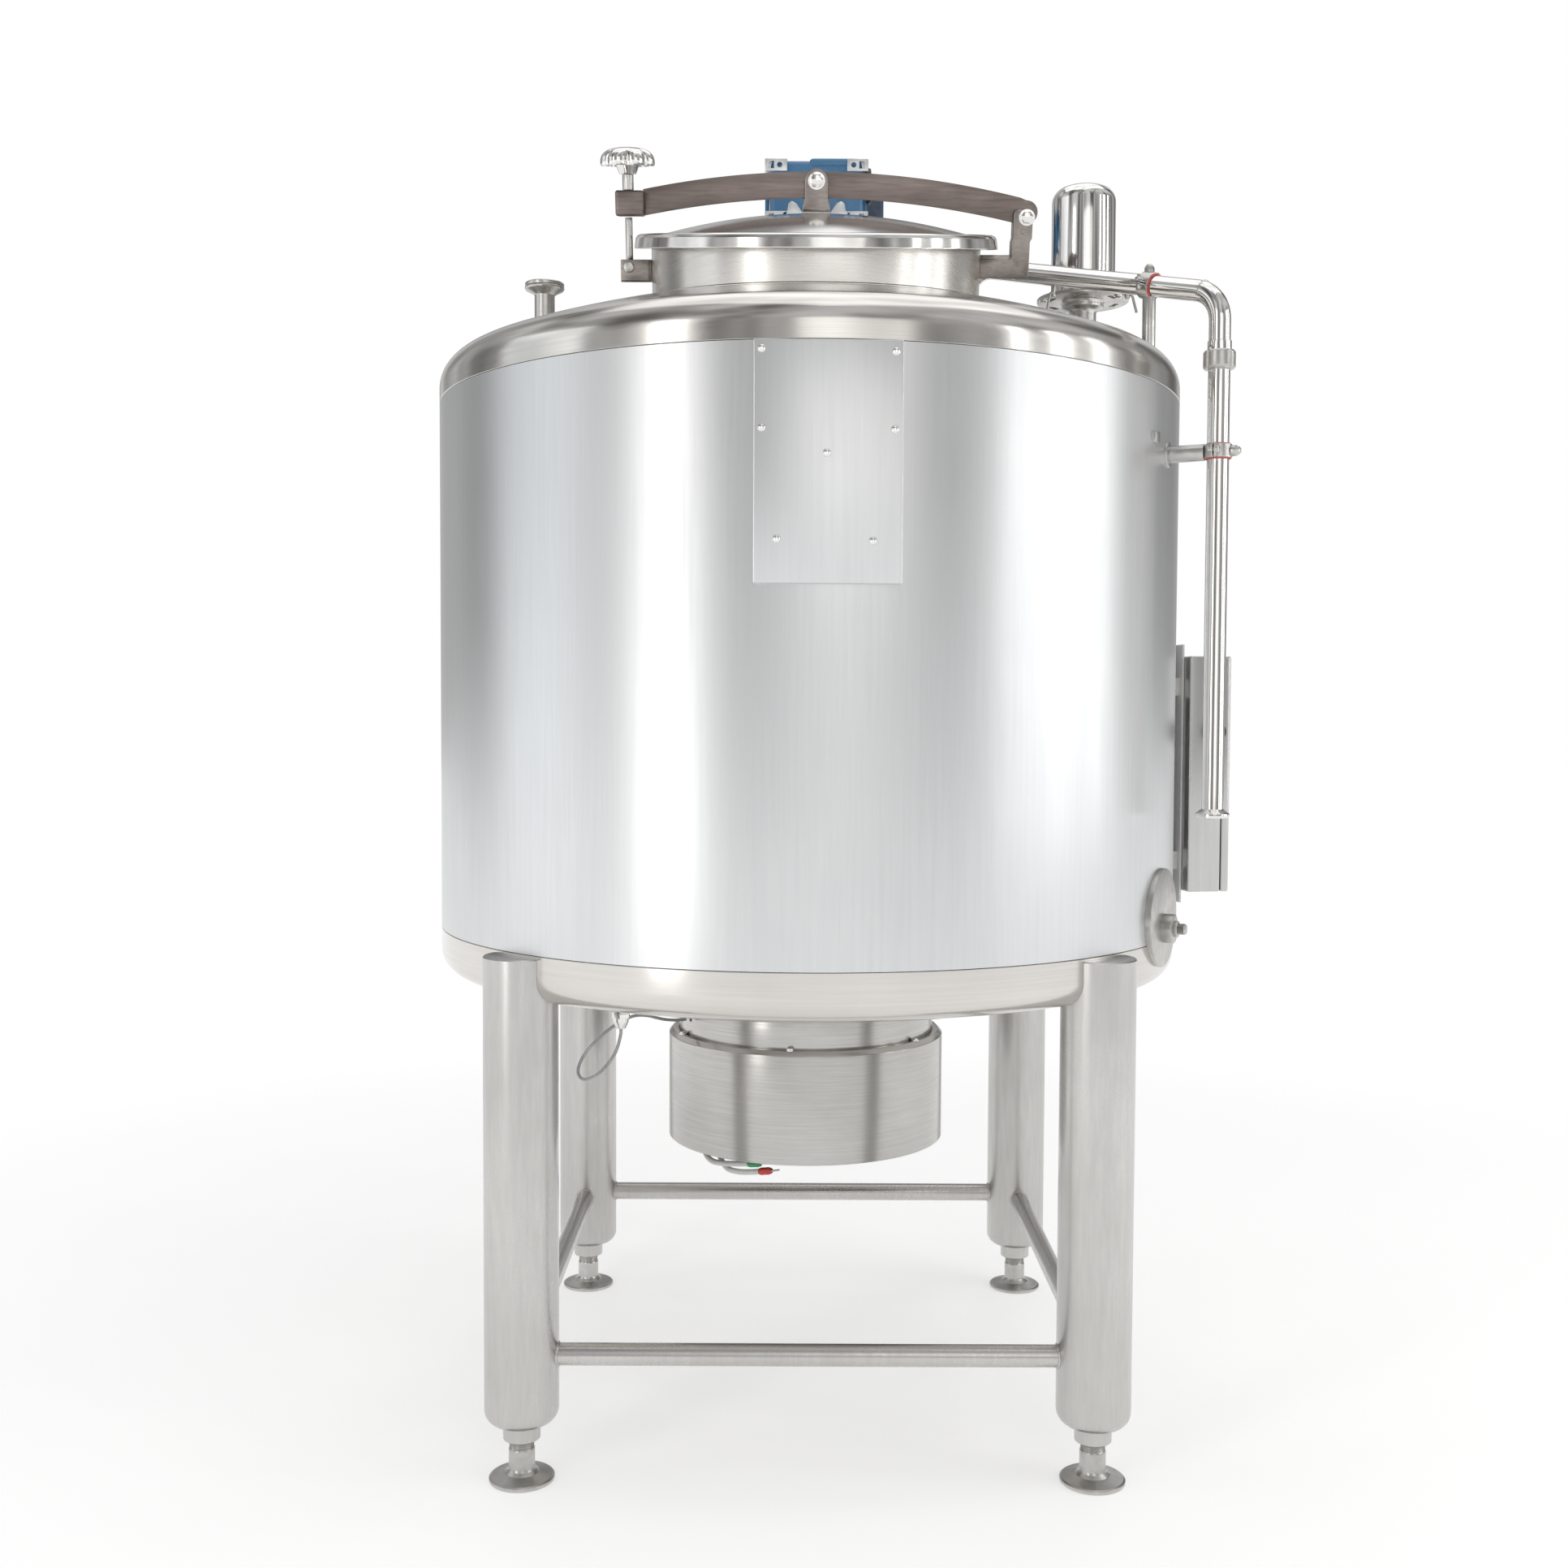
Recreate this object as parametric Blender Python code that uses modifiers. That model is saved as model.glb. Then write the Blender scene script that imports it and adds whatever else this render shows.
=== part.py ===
"""Bulk milk tank: insulated upright vessel on four legs, with a tilted manway, a
worm-gear agitator drive, breather, wash pipe, control cabinet and bottom outlet.

Metres, +Z up. Everything hangs on the empty "tank", whose Z axis is the vessel's.
"""
import math

import bmesh
import bpy
from mathutils import Matrix, Vector

for old_object in list(bpy.data.objects):
    bpy.data.objects.remove(old_object, do_unlink=True)

# ---- Driving dimensions -------------------------------------------------------

GAP = 0.0003                # left between pieces that touch
ROUND = 32                  # facets round the vessel
SMALL_ROUND = 16            # facets round pipes and rods

# Vessel
TANK_R = 0.600
SHELL_BOTTOM = 0.770
SHELL_TALL = 0.832
SKIN = 0.002
HEAD_SKIN = 0.003
INSULATION = 0.058
TOP_STRAIGHT = 0.023        # of the top head, above the shell's edge
TOP_KNUCKLE = 0.050
TOP_CROWN = 1.600
BOTTOM_STRAIGHT = 0.035
BOTTOM_KNUCKLE = 0.036
BOTTOM_CROWN = 2.600
VESSEL_KNUCKLE = 0.050
CROWN_STEPS = 3
KNUCKLE_STEPS = 3

# Manway, in its own tilted frame: h = 0 at the bottom of the lid's rim
MANWAY_X, MANWAY_Y = 0.007, -0.215
MANWAY_RISE = 0.0451        # above the top head's crown
MANWAY_TILT = math.radians(15.0)
COLLAR_R = 0.250
COLLAR_WALL = 0.003
COLLAR_TOP = 0.008
COLLAR_DEPTH = 0.220
GASKET_IN, GASKET_OUT = 0.2435, 0.2545
GASKET_HEIGHT = 0.0082
LID_R = 0.2755
LID_SKIN = 0.0025
LID_RIM = 0.020
LID_APEX = 0.052
LID_CROWN_R = 0.236

# Pressure bar, lug, hinge and clamp, in the manway's frame
BAR_HEIGHT = 0.038
BAR_THICK = 0.009
BAR_LEFT_H, BAR_MID_H, BAR_RIGHT_H = 0.0665, 0.0925, 0.0545
HINGE_X, HINGE_H = 0.318, 0.047
BAR_END_R = 0.0175
FORK_OUT, FORK_IN = -0.303, -0.262
FORK_DEEP = 0.036
FORK_LOW, FORK_HIGH = 0.0465, 0.0835
LUG_H = 0.098
LUG_W, LUG_BASE_W = 0.035, 0.042
LUG_DEEP = 0.027
EAR_CLEAR = 0.0015
PIVOT_R = 0.006
PIVOT_CLEAR = 0.0004
BOLT_X = -0.2845
BOLT_R = 0.0055
PIN_H = -0.027
EYE_R = 0.011
PART_LINE = 0.0450
STUD_TOP = 0.132
PARTING = 0.0015            # between the swing bolt and the stud above it
CHEEK_IN, CHEEK_OUT = 0.0195, 0.0095        # hinge cheek's sides, from the hinge bolt
CHEEK_RISE, CHEEK_CHAMFER = 0.012, 0.0055
HINGE_FOOT_LOW, HINGE_FOOT_HIGH, HINGE_FOOT_OUT = -0.041, -0.013, 0.0065
HINGE_NECK_LOW, HINGE_NECK_HIGH = 0.012, 0.017
CLAMP_FOOT_LOW, CLAMP_FOOT_HIGH, CLAMP_FOOT_OUT = -0.049, -0.016, 0.0125
CLAMP_FOOT_HALF, CLAMP_CHEEK, CLAMP_BACK = 0.016, 0.004, 0.006
PIN_HEAD_R, PIN_HEAD_T, PIN_PAST = 0.008, 0.005, 0.004
EYE_HALF = 0.005
CHEEK_THROAT, HINGE_SLOT_LOW = 0.0015, -0.006
THREAD_CLEAR = 0.0006
SLEEVE_R = 0.0085
KNOB_LOW, KNOB_HIGH = 0.107, 0.145
KNOB_R, KNOB_LOBE, KNOB_LOBES = 0.0385, 0.0030, 6

# Agitator drive, behind the manway
DRIVE_X, DRIVE_Y = 0.013, 0.190
NOZZLE_R, NOZZLE_WALL = 0.048, 0.003
NOZZLE_RISE = 0.0241
NOZZLE_FLANGE_R, NOZZLE_FLANGE_T = 0.078, 0.012
STOOL_TALL = 0.1465
STOOL_R, STOOL_BORE_R = 0.055, 0.044
STOOL_TOP_R, STOOL_PLATE_T = 0.083, 0.010
GEAR_W, GEAR_D, GEAR_H = 0.176, 0.205, 0.112
SHAFT_R = 0.0175
SHAFT_RISE = 0.090          # above the shell's lower edge
PADDLE_SPAN, PADDLE_H, PADDLE_T = 0.290, 0.060, 0.006
PADDLE_RISE = (0.160, 0.520)
PADDLE_PITCH = math.radians(35.0)
PADDLE_STEP = 0.034
MOTOR_X = 0.050
MOTOR_R = 0.078
MOTOR_LEN = 0.235

# Breather, inlet and wash pipe
BREATHER_INSET = 0.147
BREATHER_R, BREATHER_RISE, BREATHER_TALL = 0.052, 0.0244, 0.1797
BREATHER_FLANGE_R = 0.075
BREATHER_NECK_R, BREATHER_HUB_R = 0.022, 0.034
BREATHER_PLATE_T, BREATHER_DOME = 0.006, 0.022
BREATHER_SLOT_AT, BREATHER_SLOT_R = 0.060, 0.006
INLET_INSET, INLET_Y, INLET_RISE = 0.1766, -0.100, 0.0211
INLET_R, INLET_FERRULE_R = 0.016, 0.031
PIPE_R, PIPE_WALL = 0.016, 0.0015
SPRAY_X, SPRAY_Y = 0.262, 0.075
SPRAY_DEPTH = 0.2159
SPRAY_BALL_R = 0.032
PIPE_RISE = 0.0961
DROP_OUT, DROP_Y = 0.004, -0.300
DROP_BEND_DEPTH = 0.0389
DROP_JOIN_DEPTH = 0.085     # below the lower bend's corner
DROP_RISE = 0.190           # of the drop pipe's end, above the shell's lower edge
DROP_FERRULE_R = 0.0252
UNION_R, UNION_LEN = 0.024, 0.027
BEND_R = 0.052
POST_R = 0.010
POST_ALONG = 0.131
WALL_CLAMP_DEPTH = 0.098    # below the shell's upper edge
CLAMP_R, CLAMP_WIDE = 0.0205, 0.022
CLAMP_NUT, CLAMP_NUT_R = 0.010, 0.0085
STUB_R = 0.0125

# Legs and feet
LEG_INSET = 0.0134
LEG_R, LEG_WALL = 0.054, 0.003
LEG_TOP_DEPTH, LEG_LOW = 0.005, 0.085
BOSS_R, BOSS_LOW = 0.027, 0.061
STEM_R, STEM_TOP = 0.019, 0.098
FOOT_R, FOOT_THICK = 0.0475, 0.007
RAIL_R, RAIL_Z = 0.016, 0.184

# Front cover plate
PLATE_W, PLATE_TALL, PLATE_DEPTH = 0.196, 0.316, 0.002
PLATE_OUT, PLATE_SKIN = 0.007, 0.0015
PLATE_TURN = math.radians(1.7)

# Control cabinet, in a frame whose X is radial
CABINET_TURN = math.radians(10.0)
CABINET_W, CABINET_RISE, CABINET_TALL = 0.300, 0.050, 0.390
CABINET_OUT, CABINET_DEEP = 0.0145, 0.0715
CABINET_SKIN = 0.002
DOOR_THICK = 0.014
SWITCH_RISE, SWITCH_DEEP = 0.266, 0.0405
SWITCH_HOLE_R = 0.0055
MOUNT_PLATE_T, MOUNT_LAP = 0.004, 0.020
MOUNT_INSET, MOUNT_BAR_INSET, MOUNT_BAR_HALF = 0.025, 0.035, 0.015

# Sample port
PORT_TURN = math.radians(-27.0)
PORT_RISE = 0.036
PORT_R, PORT_OUT = 0.075, 0.006
PORT_HUB_R, PORT_HUB_LEN, PORT_HUB_DROP = 0.022, 0.016, 0.016
PORT_TIP_R, PORT_TIP_LEN = 0.009, 0.018
WELL_R, WELL_LEN = 0.012, 0.130

# Bottom shroud, outlet and valve
SHROUD_R, SHROUD_TALL, SHROUD_DEPTH = 0.229, 0.178, 0.0482
SHROUD_CHAMFER = 0.007
SHROUD_WALL = 0.002
SKIRT_R = 0.212
SKIRT_LAP = 0.028           # of the skirt ring below the shroud's top
OUTLET_R, OUTLET_WALL = 0.0255, 0.0015
OUTLET_RISE = 0.070         # above the shroud's lower edge
OUTLET_BEND = 0.060
OUTLET_END = 0.300
VALVE_LEN, VALVE_R = 0.052, 0.040
VALVE_STEM_R = 0.006
HANDLE_RISE, HANDLE_LEN = 0.065, 0.120
HANDLE_W, HANDLE_T = 0.024, 0.006
DISC_HALF = 0.002

# Bottom sensor, heater terminals and their cables
GLAND_X, GLAND_Y = -0.281, -0.310
GLAND_R, GLAND_RISE = 0.012, 0.0038
HEATER_X, HEATER_Y = -0.110, -0.060
HEATER_R, HEATER_DEPTH = 0.034, 0.0512
SENSOR_CABLE_R, ENTRY_R = 0.0025, 0.0060
POWER_CABLE_R = 0.0045

# Each route is a list of chosen points, with heights from the bottom head's crown
SENSOR_ROUTE = [(-0.281, -0.310, GLAND_RISE - GAP), (-0.282, -0.310, -0.008), (-0.290, -0.310, -0.034),
                (-0.308, -0.308, -0.059), (-0.327, -0.304, -0.073), (-0.342, -0.298, -0.075),
                (-0.348, -0.290, -0.063), (-0.338, -0.281, -0.040), (-0.315, -0.270, -0.016),
                (-0.290, -0.255, 0.002), (-0.268, -0.235, 0.009), (-0.250, -0.205, 0.004),
                (-0.237, -0.170, -0.006), (-0.226, -0.140, -0.014), (-0.211, -0.117, -0.019),
                (-0.196, -0.104, -0.020)]
POWER_ROUTES = [
    [(-0.120, -0.052, -HEATER_DEPTH - GAP), (-0.120, -0.052, -0.066), (-0.130, -0.064, -0.106),
     (-0.146, -0.085, -0.156), (-0.160, -0.108, -0.201), (-0.163, -0.128, -0.228),
     (-0.152, -0.146, -0.240), (-0.132, -0.160, -0.241), (-0.110, -0.173, -0.238),
     (-0.092, -0.183, -0.235)],
    [(-0.099, -0.069, -HEATER_DEPTH - GAP), (-0.099, -0.069, -0.066), (-0.110, -0.079, -0.106),
     (-0.128, -0.096, -0.156), (-0.140, -0.114, -0.204), (-0.140, -0.130, -0.232),
     (-0.128, -0.146, -0.251), (-0.110, -0.160, -0.254), (-0.090, -0.174, -0.251),
     (-0.074, -0.185, -0.247)],
]
LUG_SLEEVE_R, LUG_SLEEVE_LEN = 0.0062, 0.024
LUG_BLADE_LEN, LUG_BLADE_W, LUG_BLADE_T = 0.016, 0.009, 0.0024

# ---- Worked-out sizes ---------------------------------------------------------


def head_rise(radius, knuckle, crown):
    lean = math.asin((radius - knuckle) / (crown - knuckle))
    return knuckle * math.cos(lean) + crown * (1 - math.cos(lean))


SHELL_TOP = SHELL_BOTTOM + SHELL_TALL
TOP_TANGENT = SHELL_TOP + TOP_STRAIGHT
BOTTOM_TANGENT = SHELL_BOTTOM - BOTTOM_STRAIGHT
TOP_APEX = TOP_TANGENT + head_rise(TANK_R, TOP_KNUCKLE, TOP_CROWN)
BOTTOM_APEX = BOTTOM_TANGENT - head_rise(TANK_R, BOTTOM_KNUCKLE, BOTTOM_CROWN)
VESSEL_R = TANK_R - SKIN - INSULATION
VESSEL_TOP_CROWN = TOP_CROWN - INSULATION
VESSEL_BOTTOM_CROWN = BOTTOM_CROWN - INSULATION
VESSEL_TOP_TANGENT = (TOP_APEX - INSULATION
                      - head_rise(VESSEL_R, VESSEL_KNUCKLE, VESSEL_TOP_CROWN))
VESSEL_BOTTOM_TANGENT = (BOTTOM_APEX + INSULATION
                         + head_rise(VESSEL_R, VESSEL_KNUCKLE, VESSEL_BOTTOM_CROWN))
NOZZLE_REACH = INSULATION + 0.050       # how far a nozzle goes in before it is trimmed

MANWAY_AT = (MANWAY_X, MANWAY_Y, TOP_APEX + MANWAY_RISE)
COLLAR_BORE_R = COLLAR_R + GAP
BAR_HALF = BAR_THICK / 2
EAR_SLOT = BAR_HALF + EAR_CLEAR

NOZZLE_TOP = TOP_APEX + NOZZLE_RISE
STOOL_TOP = NOZZLE_TOP + STOOL_TALL
DRIVE_FRONT = DRIVE_Y - GEAR_D / 2
DRIVE_BACK = DRIVE_Y + GEAR_D / 2
GEAR_LOW = STOOL_TOP + GAP
GEAR_HIGH = GEAR_LOW + GEAR_H
SHAFT_LOW = SHELL_BOTTOM + SHAFT_RISE

BREATHER_AT = (TANK_R - BREATHER_INSET, 0, 0)
BREATHER_LOW = TOP_APEX + BREATHER_RISE
BREATHER_HIGH = BREATHER_LOW + BREATHER_TALL
INLET_AT = (-(TANK_R - INLET_INSET), INLET_Y, 0)
INLET_TOP = TOP_APEX + INLET_RISE
DROP_X = TANK_R + DROP_OUT
DROP_BEND_Z = TOP_APEX - DROP_BEND_DEPTH
DROP_JOIN = DROP_BEND_Z - DROP_JOIN_DEPTH
DROP_LOW = SHELL_BOTTOM + DROP_RISE
DROP_TURN = math.atan2(DROP_Y, DROP_X)
PIPE_HIGH_Z = TOP_APEX + PIPE_RISE
SPRAY_LOW = TOP_APEX - SPRAY_DEPTH
WALL_CLAMP_Z = SHELL_TOP - WALL_CLAMP_DEPTH

LEG_AT = (TANK_R - LEG_INSET) * math.sqrt(0.5)
LEG_TOP = SHELL_BOTTOM - LEG_TOP_DEPTH

PLATE_HIGH = SHELL_TOP - PLATE_DEPTH
PLATE_LOW = PLATE_HIGH - PLATE_TALL
PLATE_FACE = TANK_R + PLATE_OUT
CABINET_LOW = SHELL_BOTTOM + CABINET_RISE
CABINET_HIGH = CABINET_LOW + CABINET_TALL
CABINET_BACK = TANK_R + CABINET_OUT
CABINET_FRONT = CABINET_BACK + CABINET_DEEP
SWITCH_Z = CABINET_LOW + SWITCH_RISE
SWITCH_OUT = CABINET_BACK + SWITCH_DEEP
PORT_Z = SHELL_BOTTOM + PORT_RISE
PORT_FACE = TANK_R + PORT_OUT
PORT_HUB_FACE = PORT_FACE + PORT_HUB_LEN
PORT_TIP = PORT_HUB_FACE + PORT_TIP_LEN
WELL_END = TANK_R - WELL_LEN

SHROUD_HIGH = BOTTOM_APEX - SHROUD_DEPTH
SHROUD_LOW = SHROUD_HIGH - SHROUD_TALL
SKIRT_LOW = SHROUD_HIGH - SKIRT_LAP
OUTLET_Z = SHROUD_LOW + OUTLET_RISE
GLAND_LOW = BOTTOM_APEX + GLAND_RISE
HEATER_LOW = BOTTOM_APEX - HEATER_DEPTH

FINISHES = {
    "shell": ((0.72, 0.73, 0.73), 0.45, 0.9),
    "polished": ((0.78, 0.77, 0.75), 0.18, 1.0),
    "brushed": ((0.70, 0.69, 0.67), 0.32, 1.0),
    "tinted": ((0.36, 0.31, 0.29), 0.38, 1.0),
    "steel": ((0.55, 0.55, 0.54), 0.35, 1.0),
    "blue": ((0.05, 0.20, 0.42), 0.45, 0.0),
    "dark_blue": ((0.05, 0.09, 0.16), 0.50, 0.0),
    "cabinet": ((0.62, 0.63, 0.63), 0.35, 0.8),
    "black": ((0.02, 0.02, 0.02), 0.50, 0.0),
    "rubber": ((0.75, 0.74, 0.70), 0.70, 0.0),
    "foam": ((0.80, 0.72, 0.45), 0.90, 0.0),
    "braid": ((0.45, 0.45, 0.46), 0.45, 0.6),
    "cable": ((0.62, 0.62, 0.60), 0.55, 0.0),
    "green": ((0.05, 0.30, 0.12), 0.45, 0.0),
    "red": ((0.55, 0.05, 0.05), 0.45, 0.0),
}

# ---- Modelling helpers --------------------------------------------------------

scene = bpy.context.scene
cutters = bpy.data.collections.new("cutters")
scene.collection.children.link(cutters)


def new_material(name, finish):
    colour, roughness, metallic = FINISHES[finish]
    material = bpy.data.materials.new(name)
    material.use_nodes = True
    shader = material.node_tree.nodes["Principled BSDF"]
    shader.inputs["Base Color"].default_value = (*colour, 1.0)
    shader.inputs["Roughness"].default_value = roughness
    shader.inputs["Metallic"].default_value = metallic
    material.diffuse_color = (*colour, 1.0)
    return material


def add(name, data, finish, parent, at=(0, 0, 0), turn=(0, 0, 0)):
    """Put a node's object in the scene, or a hidden cutter when finish is None."""
    piece = bpy.data.objects.new(name, data)
    piece.parent = parent
    piece.location = at
    piece.rotation_euler = turn
    if finish is None:
        cutters.objects.link(piece)
        piece.hide_render = True
        piece.display_type = "WIRE"
    else:
        scene.collection.objects.link(piece)
        data.materials.append(new_material(name, finish))
    return piece


def pivot(name, parent, at=(0, 0, 0), turn=(0, 0, 0)):
    empty = bpy.data.objects.new(name, None)
    empty.parent = parent
    empty.location = at
    empty.rotation_euler = turn
    empty.empty_display_size = 0.05
    scene.collection.objects.link(empty)
    return empty


def mesh_of(name, bm):
    bmesh.ops.recalc_face_normals(bm, faces=bm.faces)
    mesh = bpy.data.meshes.new(name)
    bm.to_mesh(mesh)
    bm.free()
    return mesh


def box_mesh(name, low, high):
    """A cube primitive stretched between two corners."""
    bm = bmesh.new()
    bmesh.ops.create_cube(bm, size=1.0)
    size = Vector(high) - Vector(low)
    bmesh.ops.scale(bm, vec=size, verts=bm.verts)
    bmesh.ops.translate(bm, vec=(Vector(high) + Vector(low)) / 2, verts=bm.verts)
    return mesh_of(name, bm)


def rods_mesh(name, rods):
    """Cylinders in one mesh, each (start, end, radius, facets)."""
    bm = bmesh.new()
    for start, end, radius, facets in rods:
        along = Vector(end) - Vector(start)
        turn = along.to_track_quat("Z", "Y").to_matrix().to_4x4()
        if along.x == 0 and along.y == 0:
            turn = Matrix.Identity(4)
        place = Matrix.Translation((Vector(start) + Vector(end)) / 2) @ turn
        bmesh.ops.create_cone(bm, cap_ends=True, segments=facets, radius1=radius, radius2=radius,
                              depth=along.length, matrix=place)
    return mesh_of(name, bm)


def plate_mesh(name, outline, low, high):
    """An outline in X and Z, extruded from y = low to y = high."""
    bm = bmesh.new()
    face = bm.faces.new([bm.verts.new((x, low, z)) for x, z in outline])
    grown = bmesh.ops.extrude_face_region(bm, geom=[face])
    moved = [item for item in grown["geom"] if isinstance(item, bmesh.types.BMVert)]
    bmesh.ops.translate(bm, vec=(0, high - low, 0), verts=moved)
    return mesh_of(name, bm)


def lofted_mesh(name, rings):
    """A closed solid through rings of the same point count, first to last."""
    bm = bmesh.new()
    rows = [[bm.verts.new(point) for point in ring] for ring in rings]
    for lower, upper in zip(rows, rows[1:]):
        for i in range(len(lower)):
            j = (i + 1) % len(lower)
            bm.faces.new((lower[i], lower[j], upper[j], upper[i]))
    bm.faces.new(rows[0])
    bm.faces.new(rows[-1])
    return mesh_of(name, bm)


def turned(name, profile, finish, parent, at=(0, 0, 0), turn=(0, 0, 0), facets=SMALL_ROUND,
           ring=False):
    """A profile of (radius, height) turned about Z; a ring's profile is a closed loop."""
    bm = bmesh.new()
    points = [bm.verts.new((radius, 0, height)) for radius, height in profile]
    for a, b in zip(points, points[1:]):
        bm.edges.new((a, b))
    if ring:
        bm.edges.new((points[-1], points[0]))
    mesh = bpy.data.meshes.new(name)
    bm.to_mesh(mesh)
    bm.free()
    piece = add(name, mesh, finish, parent, at, turn)
    screw = piece.modifiers.new("turn", "SCREW")
    screw.axis = "Z"
    screw.steps = facets
    screw.render_steps = facets
    screw.use_merge_vertices = True
    screw.merge_threshold = 0.00001
    return piece


def clear_of(radius, facets=SMALL_ROUND):
    """Radius of a faceted bore that clears a round of this radius, however it is turned."""
    return (radius + GAP) / math.cos(math.pi / facets)


def tube(name, path, radius, finish, parent, resolution=3):
    """A round bar along a path of points, with flat ends."""
    curve = bpy.data.curves.new(name, "CURVE")
    curve.dimensions = "3D"
    curve.bevel_depth = radius
    curve.bevel_resolution = resolution
    curve.use_fill_caps = True
    spline = curve.splines.new("POLY")
    spline.points.add(len(path) - 1)
    for point, place in zip(spline.points, path):
        point.co = (*place, 1.0)
    return add(name, curve, finish, parent)


def solid_tube(name, path, radius, finish, parent, resolution=3):
    """A tube turned into a mesh whose caps are joined to its sides, so that it can be cut."""
    guide = tube(name + "_line", path, radius, None, parent, resolution)
    mesh = bpy.data.meshes.new_from_object(guide.evaluated_get(bpy.context.evaluated_depsgraph_get()))
    bpy.data.objects.remove(guide, do_unlink=True)
    joined = bmesh.new()
    joined.from_mesh(mesh)
    bmesh.ops.remove_doubles(joined, verts=joined.verts, dist=0.00001)
    return add(name, mesh_of(name, joined), finish, parent)


def boolean(piece, other, operation="DIFFERENCE"):
    step = piece.modifiers.new(operation.lower(), "BOOLEAN")
    step.operation = operation
    step.solver = "EXACT"
    step.object = other
    return piece


def bevel(piece, width, segments=2, angle=40):
    step = piece.modifiers.new("bevel", "BEVEL")
    step.width = width
    step.segments = segments
    step.limit_method = "ANGLE"
    step.angle_limit = math.radians(angle)
    return piece


def rounded_path(corners, radius, steps=6):
    """The corner points of a path, with each inner corner bent to a radius."""
    corners = [Vector(corner) for corner in corners]
    path = [corners[0]]
    for before, corner, after in zip(corners, corners[1:], corners[2:]):
        back = (before - corner).normalized()
        ahead = (after - corner).normalized()
        half = back.angle(ahead) / 2
        reach = radius / math.tan(half)
        middle = corner + (back + ahead).normalized() * radius / math.sin(half)
        first = corner + back * reach - middle
        last = corner + ahead * reach - middle
        sweep = first.angle(last)
        for i in range(steps + 1):
            share = i / steps
            blend = (first * math.sin(sweep * (1 - share)) + last * math.sin(sweep * share))
            path.append(middle + blend / math.sin(sweep))
    path.append(corners[-1])
    return path


def smooth_route(points, spacing):
    """A smooth curve through chosen points, read off at an even spacing."""
    points = [Vector(point) for point in points]
    ends = [points[0] * 2 - points[1]] + points + [points[-1] * 2 - points[-2]]
    fine = []
    for a, b, c, d in zip(ends, ends[1:], ends[2:], ends[3:]):
        for i in range(12):
            t = i / 12
            fine.append(0.5 * ((2 * b) + (c - a) * t + (2 * a - 5 * b + 4 * c - d) * t * t
                               + (3 * b - a - 3 * c + d) * t ** 3))
    fine.append(points[-1])
    length = sum((b - a).length for a, b in zip(fine, fine[1:]))
    count = max(2, round(length / spacing))
    path, walked, target = [fine[0]], 0.0, length / count
    for a, b in zip(fine, fine[1:]):
        step = (b - a).length
        while walked + step >= target and len(path) < count:
            path.append(a.lerp(b, (target - walked) / step))
            target += length / count
        walked += step
    path.append(fine[-1])
    return path


def hexagon(radius, y):
    """Twelve points round a hexagon in the XZ plane, corners and flats in turn."""
    flat = radius * math.cos(math.pi / 6)
    return [(math.cos(i * math.pi / 6) * (flat if i % 2 else radius), y,
             math.sin(i * math.pi / 6) * (flat if i % 2 else radius)) for i in range(12)]


def circle(radius, y, count=12):
    return [(math.cos(i * math.tau / count) * radius, y, math.sin(i * math.tau / count) * radius)
            for i in range(count)]


def cross_bolt(name, radius, reach, head, finish, parent, at):
    """A hexagon bolt and nut along Y, its grip between y = -reach and y = reach."""
    rings = [hexagon(head * 0.93, -reach - 0.0072), hexagon(head, -reach - 0.0060), hexagon(head, -reach),
             circle(radius, -reach), circle(radius, reach), hexagon(head, reach),
             hexagon(head, reach + 0.0080), circle(radius, reach + 0.0080),
             circle(radius, reach + 0.0110)]
    return add(name, lofted_mesh(name, rings), finish, parent, at)


# ---- Vessel -------------------------------------------------------------------


def head_profile(radius, knuckle, crown, tangent, up):
    """A dished head from its apex to its tangent line; up is 1, or -1 for a bottom head."""
    lean = math.asin((radius - knuckle) / (crown - knuckle))
    centre = (knuckle - crown) * math.cos(lean)
    points = [(crown * math.sin(lean * i / CROWN_STEPS), centre + crown * math.cos(lean * i / CROWN_STEPS))
              for i in range(CROWN_STEPS + 1)]
    for i in range(1, KNUCKLE_STEPS + 1):
        angle = lean + (math.pi / 2 - lean) * i / KNUCKLE_STEPS
        points.append((radius - knuckle + knuckle * math.sin(angle), knuckle * math.cos(angle)))
    return [(radius_here, tangent + up * height) for radius_here, height in points]


def dome_height(radius):
    """Height of the top head's crown at a distance from the axis."""
    return TOP_APEX - TOP_CROWN + math.sqrt(TOP_CROWN ** 2 - radius ** 2)


def belly_height(radius):
    """Height of the bottom head's crown at a distance from the axis."""
    return BOTTOM_APEX + BOTTOM_CROWN - math.sqrt(BOTTOM_CROWN ** 2 - radius ** 2)


def whole_profile(radius, top_knuckle, top_crown, top_tangent, low_knuckle, low_crown, low_tangent):
    top = head_profile(radius, top_knuckle, top_crown, top_tangent, 1)
    low = head_profile(radius, low_knuckle, low_crown, low_tangent, -1)
    return top + low[::-1]


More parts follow.
